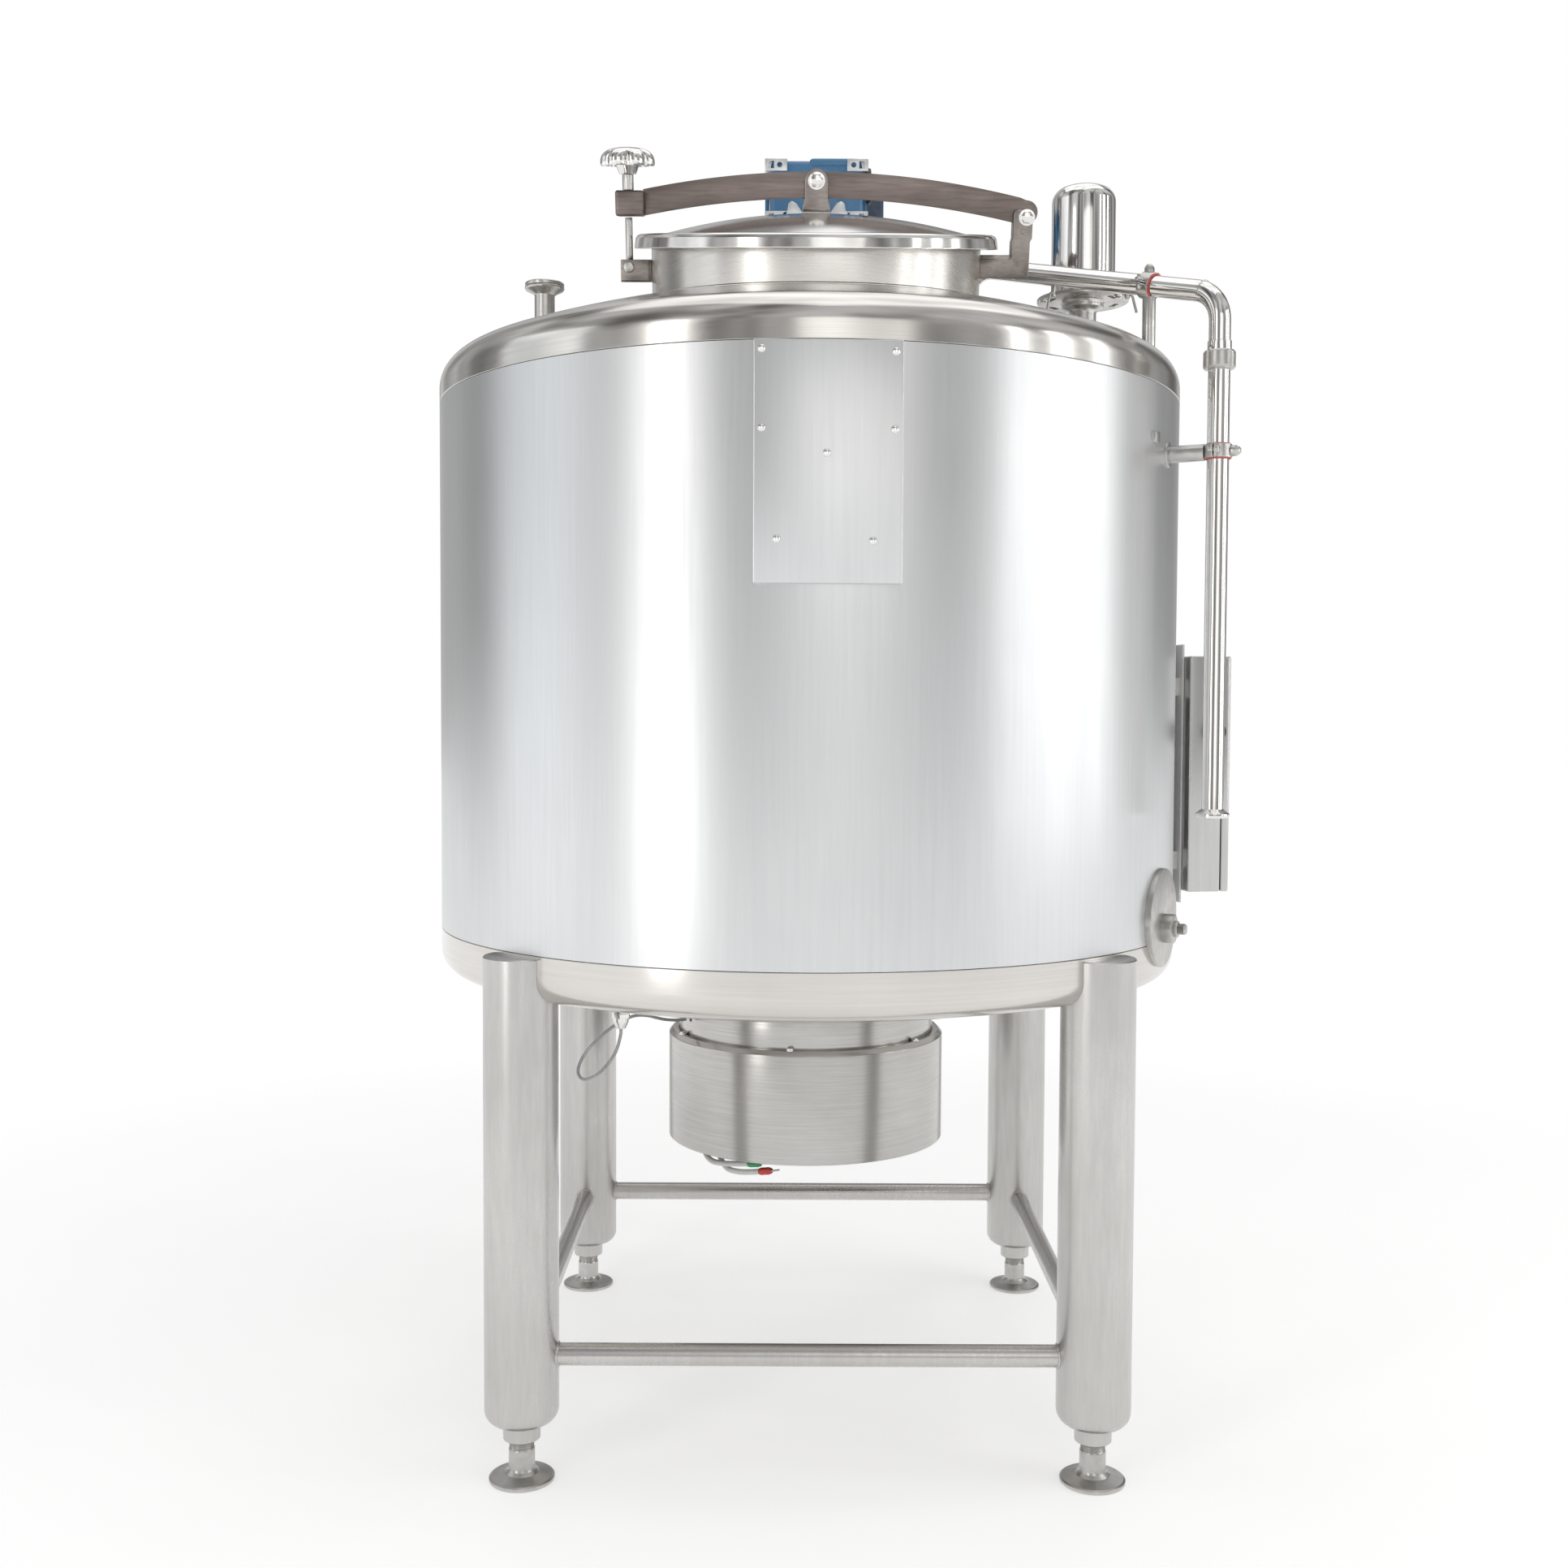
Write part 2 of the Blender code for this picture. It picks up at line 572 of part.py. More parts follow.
def make_vessel(tank, space, bores):
    top_out = head_profile(TANK_R, TOP_KNUCKLE, TOP_CROWN, TOP_TANGENT, 1)
    top_in = head_profile(TANK_R - HEAD_SKIN, TOP_KNUCKLE - HEAD_SKIN, TOP_CROWN - HEAD_SKIN,
                          TOP_TANGENT, 1)
    rim = SHELL_TOP + GAP
    top_head = turned("top_head", top_out + [(TANK_R, rim), (TANK_R - HEAD_SKIN, rim)] + top_in[::-1],
                      "polished", tank, facets=ROUND)
    boolean(top_head, bores["top"])

    low_out = head_profile(TANK_R, BOTTOM_KNUCKLE, BOTTOM_CROWN, BOTTOM_TANGENT, -1)
    low_in = head_profile(TANK_R - HEAD_SKIN, BOTTOM_KNUCKLE - HEAD_SKIN, BOTTOM_CROWN - HEAD_SKIN,
                          BOTTOM_TANGENT, -1)
    rim = SHELL_BOTTOM - GAP
    bottom_head = turned("bottom_head",
                         low_in + [(TANK_R - HEAD_SKIN, rim), (TANK_R, rim)] + low_out[::-1],
                         "polished", tank, facets=ROUND)
    boolean(bottom_head, bores["bottom"])

    outer_shell = turned("outer_shell", [(TANK_R - SKIN, SHELL_TOP), (TANK_R, SHELL_TOP),
                                         (TANK_R, SHELL_BOTTOM), (TANK_R - SKIN, SHELL_BOTTOM)],
                         "shell", tank, facets=ROUND, ring=True)
    boolean(outer_shell, bores["side"])

    foam_in, foam_out = VESSEL_R + GAP, TANK_R - HEAD_SKIN - GAP
    foam_low, foam_high = VESSEL_BOTTOM_TANGENT, VESSEL_TOP_TANGENT
    insulation = turned("insulation", [(foam_in, foam_high), (foam_out, foam_high),
                                       (foam_out, foam_low), (foam_in, foam_low)],
                        "foam", tank, facets=ROUND, ring=True)
    boolean(insulation, bores["side"])

    profile = whole_profile(VESSEL_R, VESSEL_KNUCKLE, VESSEL_TOP_CROWN, VESSEL_TOP_TANGENT,
                            VESSEL_KNUCKLE, VESSEL_BOTTOM_CROWN, VESSEL_BOTTOM_TANGENT)
    vessel = turned("inner_vessel", profile, "steel", tank, facets=ROUND)
    boolean(vessel, space)
    for name in ("top", "bottom", "side"):
        boolean(vessel, bores[name])


def make_cutters(tank, port):
    """The clearance solid of the tank's outside, the vessel's inside, and the bores."""
    envelope = turned("tank_envelope",
                      whole_profile(TANK_R + GAP, TOP_KNUCKLE + GAP, TOP_CROWN + GAP, TOP_TANGENT,
                                    BOTTOM_KNUCKLE + GAP, BOTTOM_CROWN + GAP, BOTTOM_TANGENT),
                      None, tank, facets=ROUND)
    space = turned("vessel_space",
                   whole_profile(VESSEL_R - HEAD_SKIN, VESSEL_KNUCKLE - HEAD_SKIN,
                                 VESSEL_TOP_CROWN - HEAD_SKIN, VESSEL_TOP_TANGENT,
                                 VESSEL_KNUCKLE - HEAD_SKIN, VESSEL_BOTTOM_CROWN - HEAD_SKIN,
                                 VESSEL_BOTTOM_TANGENT),
                   None, tank, facets=ROUND)
    lean = Matrix.Translation(MANWAY_AT) @ Matrix.Rotation(MANWAY_TILT, 4, "X")
    above, below = TOP_APEX + 0.4, TOP_APEX - 0.3
    breather_x, breather_y, _ = BREATHER_AT
    inlet_x, inlet_y, _ = INLET_AT
    top = rods_mesh("top_bores", [
        (lean @ Vector((0, 0, -0.30)), lean @ Vector((0, 0, 0.15)), COLLAR_BORE_R, ROUND),
        ((DRIVE_X, DRIVE_Y, below), (DRIVE_X, DRIVE_Y, above), clear_of(NOZZLE_R), SMALL_ROUND),
        ((breather_x, breather_y, below), (breather_x, breather_y, above),
         clear_of(BREATHER_NECK_R), SMALL_ROUND),
        ((inlet_x, inlet_y, below), (inlet_x, inlet_y, above), clear_of(INLET_R), SMALL_ROUND),
        ((SPRAY_X, SPRAY_Y, below), (SPRAY_X, SPRAY_Y, above), clear_of(PIPE_R), SMALL_ROUND)])
    under, inside = BOTTOM_APEX - 0.14, BOTTOM_APEX + 0.21
    bottom = rods_mesh("bottom_bores", [
        ((0, 0, under), (0, 0, inside), clear_of(OUTLET_R), SMALL_ROUND),
        ((GLAND_X, GLAND_Y, under), (GLAND_X, GLAND_Y, inside), clear_of(GLAND_R), SMALL_ROUND)])
    side = rods_mesh("side_bores", [((WELL_END - 0.02, 0, PORT_Z), (TANK_R + 0.1, 0, PORT_Z),
                                     clear_of(WELL_R), SMALL_ROUND)])
    bores = {"top": add("top_bores", top, None, tank),
             "bottom": add("bottom_bores", bottom, None, tank),
             "side": add("side_bores", side, None, port)}
    return envelope, space, bores


# ---- Manway -------------------------------------------------------------------


def make_collar(manway, space):
    inner = COLLAR_R - COLLAR_WALL
    collar = turned("manway_collar", [(inner, COLLAR_TOP), (COLLAR_R, COLLAR_TOP),
                                      (COLLAR_R, -COLLAR_DEPTH), (inner, -COLLAR_DEPTH)],
                    "brushed", manway, facets=ROUND, ring=True)
    boolean(collar, space)
    low = COLLAR_TOP + GAP
    turned("manway_gasket", [(GASKET_IN, low + GASKET_HEIGHT), (GASKET_OUT, low + GASKET_HEIGHT),
                             (GASKET_OUT, low), (GASKET_IN, low)],
           "rubber", manway, facets=ROUND, ring=True)


def lid_crown(radius):
    """Height of the lid's outside on its domed middle."""
    return LID_RIM + (LID_APEX - LID_RIM) * (1 - (radius / LID_CROWN_R) ** 2)


def make_lid(lid_pivot, seat):
    flat = COLLAR_TOP + GASKET_HEIGHT + 2 * GAP
    crown = [LID_CROWN_R * share for share in (0, 0.35, 0.7, 1.0)]
    outside = [(radius, lid_crown(radius)) for radius in crown]
    edge = [(LID_R - 0.012, LID_RIM), (LID_R - 0.0045, LID_RIM - 0.003), (LID_R - 0.0015, LID_RIM - 0.010),
            (LID_R, 0.001), (LID_R - 0.0010, 0.0), (LID_R - 0.0030, 0.001),
            (LID_R - 0.0045, LID_RIM - 0.010), (LID_R - 0.0105, flat)]
    inside = [(radius, max(flat, lid_crown(radius) - LID_SKIN)) for radius in crown]
    turned("manway_lid", outside + edge + inside[::-1], "polished", lid_pivot, seat, facets=ROUND)

    half, base = LUG_W / 2, LUG_BASE_W / 2
    low = LID_APEX + GAP
    outline = [(base, low), (base, low + 0.010), (half, low + 0.020)]
    outline += [(half * math.cos(math.radians(a)), LUG_H + half * math.sin(math.radians(a)))
                for a in range(0, 181, 20)]
    outline += [(-half, low + 0.020), (-base, low + 0.010), (-base, low)]
    lug = add("lid_lug", plate_mesh("lid_lug", outline, -LUG_DEEP / 2, LUG_DEEP / 2), "steel",
              lid_pivot, seat)
    slot = add("lug_slot", box_mesh("lug_slot", (-0.05, -EAR_SLOT, low + 0.006), (0.05, EAR_SLOT, 0.2)),
               None, lid_pivot, seat)
    hole = add("lug_hole", rods_mesh("lug_hole", [((0, -0.05, LUG_H), (0, 0.05, LUG_H),
                                                   PIVOT_R + PIVOT_CLEAR, 12)]), None, lid_pivot, seat)
    boolean(lug, slot)
    boolean(lug, hole)


def bar_height(x):
    """Height of the pressure bar's centreline: a parabola through its ends and crest."""
    left, right = FORK_IN, HINGE_X
    return (BAR_LEFT_H * (x * (x - right)) / (left * (left - right))
            + BAR_MID_H * ((x - left) * (x - right)) / (left * right)
            + BAR_RIGHT_H * ((x - left) * x) / ((right - left) * right))


def make_bar(bar_pivot, seat):
    """The arched bar with its fork welded on; the fork's slot is open outwards."""
    half = BAR_HEIGHT / 2
    count = 14
    start = FORK_IN - 0.004
    xs = [start + (HINGE_X - start) * i / count for i in range(count + 1)]
    under = [(x, bar_height(x) - half + (half - BAR_END_R) * (i == count)) for i, x in enumerate(xs)]
    over = [(x, bar_height(x) + half - (half - BAR_END_R) * (i == count)) for i, x in enumerate(xs)]
    end = [(HINGE_X + BAR_END_R * math.cos(math.radians(a)),
            bar_height(HINGE_X) + BAR_END_R * math.sin(math.radians(a))) for a in range(-60, 61, 30)]
    bar = add("pressure_bar", plate_mesh("pressure_bar", under + end + over[::-1], -BAR_HALF, BAR_HALF),
              "tinted", bar_pivot, seat)
    fork = add("fork_block", box_mesh("fork_block", (FORK_OUT, -FORK_DEEP / 2, FORK_LOW),
                                      (FORK_IN, FORK_DEEP / 2, FORK_HIGH)), None, bar_pivot, seat)
    bevel(fork, 0.002, 1)
    slot_r = BOLT_R + 0.0013
    slot = add("fork_slot", box_mesh("fork_slot", (FORK_OUT - 0.02, -slot_r, 0.0),
                                     (BOLT_X + slot_r, slot_r, 0.2)), None, bar_pivot, seat)
    holes = add("bar_holes", rods_mesh("bar_holes", [
        ((HINGE_X, -0.05, HINGE_H), (HINGE_X, 0.05, HINGE_H), PIVOT_R + PIVOT_CLEAR, 12),
        ((0, -0.05, LUG_H), (0, 0.05, LUG_H), PIVOT_R + PIVOT_CLEAR, 12)]), None, bar_pivot, seat)
    boolean(bar, fork, "UNION")
    boolean(bar, slot)
    boolean(bar, holes)
    grip = LUG_DEEP / 2 + GAP
    cross_bolt("lug_bolt", PIVOT_R, grip, 0.0104, "steel", bar_pivot,
               (-HINGE_X, 0, LUG_H - HINGE_H))
    rods = rods_mesh("clamp_stud", [((BOLT_X, 0, PART_LINE + PARTING), (BOLT_X, 0, STUD_TOP), BOLT_R, 16)])
    add("clamp_stud", rods, "steel", bar_pivot, seat)


def make_hinge_bracket(manway):
    """A cheek each side of the bar's end, on a foot welded to the collar."""
    inner = COLLAR_R + 2 * GAP
    left, right, top = HINGE_X - CHEEK_IN, HINGE_X + CHEEK_OUT, HINGE_H + CHEEK_RISE
    foot = HINGE_X + HINGE_FOOT_OUT
    neck = left - CHEEK_THROAT
    outline = [(inner, HINGE_FOOT_LOW), (foot, HINGE_FOOT_LOW), (foot, HINGE_NECK_LOW),
               (right, HINGE_NECK_HIGH), (right, top - CHEEK_CHAMFER), (right - CHEEK_CHAMFER, top),
               (left + CHEEK_CHAMFER, top), (left, top - CHEEK_CHAMFER), (left, HINGE_NECK_HIGH),
               (neck, HINGE_NECK_LOW), (neck, HINGE_FOOT_HIGH), (inner, HINGE_FOOT_HIGH)]
    bracket = add("hinge_bracket", plate_mesh("hinge_bracket", outline, -LUG_DEEP / 2, LUG_DEEP / 2),
                  "steel", manway)
    slot = add("hinge_slot", box_mesh("hinge_slot", (left - 0.0135, -EAR_SLOT, HINGE_SLOT_LOW),
                                      (right + 0.0325, EAR_SLOT, top + 0.041)), None, manway)
    hole = add("hinge_hole", rods_mesh("hinge_hole", [((HINGE_X, -0.05, HINGE_H),
                                                       (HINGE_X, 0.05, HINGE_H),
                                                       PIVOT_R + GAP, 12)]), None, manway)
    boolean(bracket, slot)
    boolean(bracket, hole)
    cross_bolt("hinge_bolt", PIVOT_R, LUG_DEEP / 2 + GAP, 0.0100, "steel", manway,
               (HINGE_X, 0, HINGE_H))


def make_clamp(manway, bolt_pivot, rise_pivot, spin_pivot):
    """Bracket with its fixed pin, swing bolt on the pin, and the knob above the fork."""
    inner = COLLAR_R + 2 * GAP
    outer, low, high, half = BOLT_X - CLAMP_FOOT_OUT, CLAMP_FOOT_LOW, CLAMP_FOOT_HIGH, CLAMP_FOOT_HALF
    bracket = add("bolt_bracket", box_mesh("bolt_bracket", (outer, -half, low), (-inner, half, high)),
                  "steel", manway)
    bevel(bracket, 0.002, 1)
    cheek = CLAMP_CHEEK
    slot = add("bracket_slot", box_mesh("bracket_slot", (outer - 0.02, -half + cheek, low + cheek),
                                        (-inner - CLAMP_BACK, half - cheek, high + 0.02)), None, manway)
    pin = add("bracket_pin", rods_mesh("bracket_pin", [
        ((BOLT_X, -half - PIN_HEAD_T / 2, PIN_H), (BOLT_X, half + PIN_PAST, PIN_H), PIVOT_R, 16)]),
        None, manway)
    cap = add("pin_head", rods_mesh("pin_head", [
        ((BOLT_X, -half - PIN_HEAD_T, PIN_H), (BOLT_X, -half + cheek / 8, PIN_H), PIN_HEAD_R, 16)]),
        None, manway)
    boolean(bracket, slot)
    boolean(bracket, pin, "UNION")
    boolean(bracket, cap, "UNION")

    eye = add("swing_bolt", rods_mesh("swing_bolt", [((0, -EYE_HALF, 0), (0, EYE_HALF, 0), EYE_R, 24)]),
              "steel", bolt_pivot)
    rod = add("bolt_rod", rods_mesh("bolt_rod", [((0, 0, 0), (0, 0, PART_LINE - PIN_H), BOLT_R, 16)]),
              None, bolt_pivot)
    hole = add("eye_hole", rods_mesh("eye_hole", [((0, -0.05, 0), (0, 0.05, 0),
                                                   PIVOT_R + PIVOT_CLEAR, 16)]), None, bolt_pivot)
    boolean(eye, rod, "UNION")
    boolean(eye, hole)

    low = FORK_HIGH + GAP
    bore = BOLT_R + THREAD_CLEAR
    turned("clamp_sleeve", [(bore, KNOB_LOW - GAP - low), (SLEEVE_R, KNOB_LOW - GAP - low),
                            (SLEEVE_R, 0), (bore, 0)], "steel", rise_pivot, facets=16, ring=True)

    def knob_ring(share, height):
        return [((KNOB_R + KNOB_LOBE * math.cos(KNOB_LOBES * a)) * share * math.cos(a),
                 (KNOB_R + KNOB_LOBE * math.cos(KNOB_LOBES * a)) * share * math.sin(a), height)
                for a in [i * math.tau / 48 for i in range(48)]]

    tall = KNOB_HIGH - KNOB_LOW
    rings = [knob_ring(0.62, 0.0), knob_ring(0.90, tall * 0.16), knob_ring(1.0, tall * 0.42),
             knob_ring(0.97, tall * 0.68), knob_ring(0.80, tall * 0.88), knob_ring(0.45, tall)]
    knob = add("hand_knob", lofted_mesh("hand_knob", rings), "polished", spin_pivot)
    bore_cut = add("knob_bore", rods_mesh("knob_bore", [
        ((0, 0, -0.01), (0, 0, STUD_TOP + 0.003 - KNOB_LOW), bore, 16)]), None, spin_pivot)
    boolean(knob, bore_cut)


# ---- Agitator drive -----------------------------------------------------------


def make_drive(tank, agitator_pivot, space):
    at = (DRIVE_X, DRIVE_Y, 0)
    inner, flange, under = NOZZLE_R - NOZZLE_WALL, NOZZLE_FLANGE_R, NOZZLE_TOP - NOZZLE_FLANGE_T
    low = dome_height(DRIVE_Y) - NOZZLE_REACH
    nozzle = turned("agitator_nozzle", [(inner, NOZZLE_TOP), (flange, NOZZLE_TOP), (flange, under),
                                        (NOZZLE_R, under), (NOZZLE_R, low), (inner, low)],
                    "steel", tank, at, ring=True)
    boolean(nozzle, space)
    base = NOZZLE_TOP + GAP
    turned("drive_stool", [(STOOL_BORE_R, STOOL_TOP), (STOOL_TOP_R, STOOL_TOP),
                           (STOOL_TOP_R, STOOL_TOP - STOOL_PLATE_T), (STOOL_R, STOOL_TOP - STOOL_PLATE_T),
                           (STOOL_R, base + STOOL_PLATE_T), (flange, base + STOOL_PLATE_T),
                           (flange, base), (STOOL_BORE_R, base)],
           "steel", tank, at, ring=True)

    gearbox = add("gearbox", box_mesh("gearbox", (DRIVE_X - GEAR_W / 2, DRIVE_FRONT, GEAR_LOW),
                                      (DRIVE_X + GEAR_W / 2, DRIVE_BACK, GEAR_HIGH)), "blue", tank)
    bevel(gearbox, 0.006, 2)
    bore = add("gearbox_bore", rods_mesh("gearbox_bore", [
        ((DRIVE_X, DRIVE_Y, GEAR_LOW - 0.05), (DRIVE_X, DRIVE_Y, GEAR_HIGH + 0.05), SHAFT_R + 0.0006,
         SMALL_ROUND)]), None, tank)
    boolean(gearbox, bore)

    centre = (GEAR_LOW + GEAR_HIGH) / 2
    front = DRIVE_BACK + GAP
    profile = [(0, MOTOR_LEN), (0.060, MOTOR_LEN), (MOTOR_R - 0.004, MOTOR_LEN - 0.012),
               (MOTOR_R - 0.004, MOTOR_LEN - 0.055), (MOTOR_R, MOTOR_LEN - 0.058), (MOTOR_R, 0.022),
               (0.060, 0.018), (0.060, 0.012), (0.080, 0.012), (0.080, 0), (0, 0)]
    motor = turned("motor", profile, "dark_blue", tank, (MOTOR_X, front, centre),
                   (math.radians(-90), 0, 0))
    box = add("terminal_box", box_mesh("terminal_box",
                                       (MOTOR_X + 0.045, front + 0.050, centre + 0.002),
                                       (MOTOR_X + 0.092, front + 0.150, centre + 0.090)), None, tank)
    boolean(motor, box, "UNION")

    shaft = add("agitator", rods_mesh("agitator", [
        ((0, 0, SHAFT_LOW), (0, 0, GEAR_HIGH - 0.004), SHAFT_R, SMALL_ROUND)]), "steel", agitator_pivot)
    for level, rise in enumerate(PADDLE_RISE):
        for side in (0, 1):
            blade = box_mesh("paddle", (-PADDLE_SPAN / 2, -PADDLE_T / 2, -PADDLE_H / 2),
                             (PADDLE_SPAN / 2, PADDLE_T / 2, PADDLE_H / 2))
            turn = (PADDLE_PITCH, 0, math.radians(90 * side + 45 * level))
            height = SHELL_BOTTOM + rise + PADDLE_STEP * side
            boolean(shaft, add(f"paddle_{level}{side}", blade, None, agitator_pivot,
                               (0, 0, height), turn), "UNION")


# ---- Top fittings and wash pipe -------------------------------------------------


def make_breather(tank, space):
    top = BREATHER_LOW - GAP
    low = dome_height(BREATHER_AT[0]) - NOZZLE_REACH
    inner = BREATHER_NECK_R - 0.002
    plate = top - BREATHER_PLATE_T
    neck = turned("breather_neck", [(inner, top), (BREATHER_FLANGE_R, top), (BREATHER_FLANGE_R, plate),
                                    (BREATHER_HUB_R, plate), (BREATHER_HUB_R, plate - 0.010),
                                    (BREATHER_NECK_R, plate - 0.014), (BREATHER_NECK_R, low),
                                    (inner, low)], "steel", tank, BREATHER_AT, ring=True, facets=ROUND)
    slot_points = [(BREATHER_SLOT_AT * math.cos(a), BREATHER_SLOT_AT * math.sin(a))
                   for a in [math.tau * i / 6 for i in range(6)]]
    slots = rods_mesh("flange_slots", [((x, y, top - 0.02), (x, y, top + 0.02), BREATHER_SLOT_R, 8)
                                       for x, y in slot_points])
    boolean(neck, add("flange_slots", slots, None, tank, BREATHER_AT))
    boolean(neck, space)

    def rounding(radius, angles):
        return [(BREATHER_R - BREATHER_DOME + radius * math.sin(math.radians(a)),
                 BREATHER_HIGH - BREATHER_DOME + radius * math.cos(math.radians(a))) for a in angles]

    out = [(0, BREATHER_HIGH)] + rounding(BREATHER_DOME, (0, 30, 60, 90))
    inside = rounding(BREATHER_DOME - PIPE_WALL, (90, 60, 30, 0)) + [(0, BREATHER_HIGH - PIPE_WALL)]
    edge = [(BREATHER_R, BREATHER_LOW), (BREATHER_R - PIPE_WALL, BREATHER_LOW)]
    turned("breather_cap", out + edge + inside, "polished", tank, BREATHER_AT, facets=ROUND)


def make_inlet(tank, space):
    low = dome_height(math.hypot(*INLET_AT)) - NOZZLE_REACH
    inner = INLET_R - PIPE_WALL
    nozzle = turned("inlet_nozzle", [(inner, INLET_TOP), (INLET_FERRULE_R, INLET_TOP),
                                     (INLET_FERRULE_R, INLET_TOP - 0.006),
                                     (INLET_R + 0.003, INLET_TOP - 0.014), (INLET_R, INLET_TOP - 0.018),
                                     (INLET_R, low), (inner, low)], "steel", tank, INLET_AT, ring=True)
    boolean(nozzle, space)


def pipe_line():
    """The sloping run of the wash pipe: its low end above the drop, and its high end."""
    return Vector((DROP_X, DROP_Y, DROP_BEND_Z)), Vector((SPRAY_X, SPRAY_Y, PIPE_HIGH_Z))


def make_pipes(tank):
    low_end, high_end = pipe_line()
    path = rounded_path([(DROP_X, DROP_Y, DROP_JOIN + GAP / 2), low_end, high_end,
                         (SPRAY_X, SPRAY_Y, SPRAY_LOW)], BEND_R)
    supply = solid_tube("supply_pipe", path, PIPE_R, "polished", tank)
    half_circle = [(SPRAY_BALL_R * math.sin(math.radians(a)), SPRAY_BALL_R * math.cos(math.radians(a)))
                   for a in range(0, 181, 20)]
    ball = turned("spray_ball", half_circle, None, tank,
                  (SPRAY_X, SPRAY_Y, SPRAY_LOW - SPRAY_BALL_R * 0.6))
    boolean(supply, ball, "UNION")

    top = DROP_JOIN - GAP / 2
    bore = PIPE_R - PIPE_WALL
    nut_low = DROP_JOIN - UNION_LEN
    turned("drop_pipe", [(bore, top), (UNION_R, top), (UNION_R, nut_low), (PIPE_R, nut_low - 0.003),
                         (PIPE_R, DROP_LOW + 0.012), (DROP_FERRULE_R, DROP_LOW + 0.006),
                         (DROP_FERRULE_R, DROP_LOW), (bore, DROP_LOW)],
           "polished", tank, (DROP_X, DROP_Y, 0), ring=True)


def clamp_ring(name, centre, axis, finish, parent):
    """A pipe clamp: a ring with a clamping ear, bored clear of the pipe."""
    axis = Vector(axis).normalized()
    reach = axis * CLAMP_WIDE / 2
    ring = add(name, rods_mesh(name, [(centre - reach, centre + reach, CLAMP_R, SMALL_ROUND)]), finish,
               parent)
    bore = add(name + "_bore", rods_mesh(name + "_bore", [
        (centre - reach * 3, centre + reach * 3, clear_of(PIPE_R), SMALL_ROUND)]), None, parent)
    return ring, bore


def make_pipe_supports(tank, envelope):
    low_end, high_end = pipe_line()
    along = (high_end - low_end).normalized()
    centre = low_end + along * POST_ALONG
    ring, bore = clamp_ring("pipe_post", centre, along, "steel", tank)
    below = Vector((centre.x, centre.y, TOP_TANGENT))
    post = add("post_rod", rods_mesh("post_rod", [(below, centre - Vector((0, 0, PIPE_R)), POST_R, 16)]),
               None, tank)
    nut = add("post_nut", rods_mesh("post_nut", [
        (centre, centre + Vector((0, 0, CLAMP_R + CLAMP_NUT)), CLAMP_NUT_R, 6)]), None, tank)
    boolean(ring, post, "UNION")
    boolean(ring, nut, "UNION")
    boolean(ring, bore)
    boolean(ring, envelope)

    centre = Vector((DROP_X, DROP_Y, WALL_CLAMP_Z))
    out = Vector((math.cos(DROP_TURN), math.sin(DROP_TURN), 0))
    ring, bore = clamp_ring("wall_clamp", centre, (0, 0, 1), "steel", tank)
    stub = add("wall_stub", rods_mesh("wall_stub", [(out * (TANK_R - 0.02) + Vector((0, 0, WALL_CLAMP_Z)),
                                                     centre - out * PIPE_R, STUB_R, 16)]), None, tank)
    nut = add("acorn_nut", rods_mesh("acorn_nut", [
        (centre, centre + out * (CLAMP_R + CLAMP_NUT), CLAMP_NUT_R, 6)]), None, tank)
    boolean(ring, stub, "UNION")
    boolean(ring, nut, "UNION")
    boolean(ring, bore)
    boolean(ring, envelope)


# ---- Stand --------------------------------------------------------------------


def make_stand(tank, envelope):
    sides = {"front_left": (-1, -1), "front_right": (1, -1), "back_left": (-1, 1), "back_right": (1, 1)}
    hole = STEM_R + GAP
    inner = LEG_R - LEG_WALL
    for side, (sx, sy) in sides.items():
        at = (sx * LEG_AT, sy * LEG_AT, 0)
        leg = turned(f"leg_{side}", [(0, LEG_TOP), (LEG_R, LEG_TOP), (LEG_R, LEG_LOW + 0.020),
                                     (LEG_R - 0.006, LEG_LOW + 0.006), (LEG_R - 0.020, LEG_LOW),
                                     (BOSS_R, LEG_LOW), (BOSS_R, BOSS_LOW), (hole, BOSS_LOW),
                                     (hole, LEG_LOW + 0.014), (inner - 0.018, LEG_LOW + 0.004),
                                     (inner - 0.005, LEG_LOW + 0.009), (inner, LEG_LOW + 0.021),
                                     (inner, LEG_TOP - LEG_WALL), (0, LEG_TOP - LEG_WALL)],
                     "steel", tank, at)
        boolean(leg, envelope)
        foot_pivot = pivot(f"foot_{side}_slide", tank, at)
        thread = STEM_R - 0.001
        turned(f"foot_{side}", [(0, STEM_TOP), (thread, STEM_TOP), (thread, FOOT_THICK + 0.040),
                                (STEM_R, FOOT_THICK + 0.038), (STEM_R, FOOT_THICK + 0.010),
                                (STEM_R + 0.006, FOOT_THICK + 0.003), (FOOT_R - 0.003, FOOT_THICK),
                                (FOOT_R, FOOT_THICK - 0.002), (FOOT_R, 0), (0, 0)],
               "steel", foot_pivot)
    above, below = RAIL_Z + 0.05, RAIL_Z - 0.05
    posts = rods_mesh("leg_clearance", [
        ((sx * LEG_AT, sy * LEG_AT, below), (sx * LEG_AT, sy * LEG_AT, above), LEG_R + GAP, SMALL_ROUND)
        for sx, sy in sides.values()])
    clearance = add("leg_clearance", posts, None, tank)
    rails = {"front": ((-1, -1), (1, -1)), "back": ((-1, 1), (1, 1)),
             "left": ((-1, -1), (-1, 1)), "right": ((1, -1), (1, 1))}
    for side, (start, end) in rails.items():
        ends = [(sx * LEG_AT, sy * LEG_AT, RAIL_Z) for sx, sy in (start, end)]
        rail = add(f"rail_{side}", rods_mesh(f"rail_{side}", [(*ends, RAIL_R, 16)]), "steel", tank)
        boolean(rail, clearance)


# ---- Covers, cabinet and port --------------------------------------------------


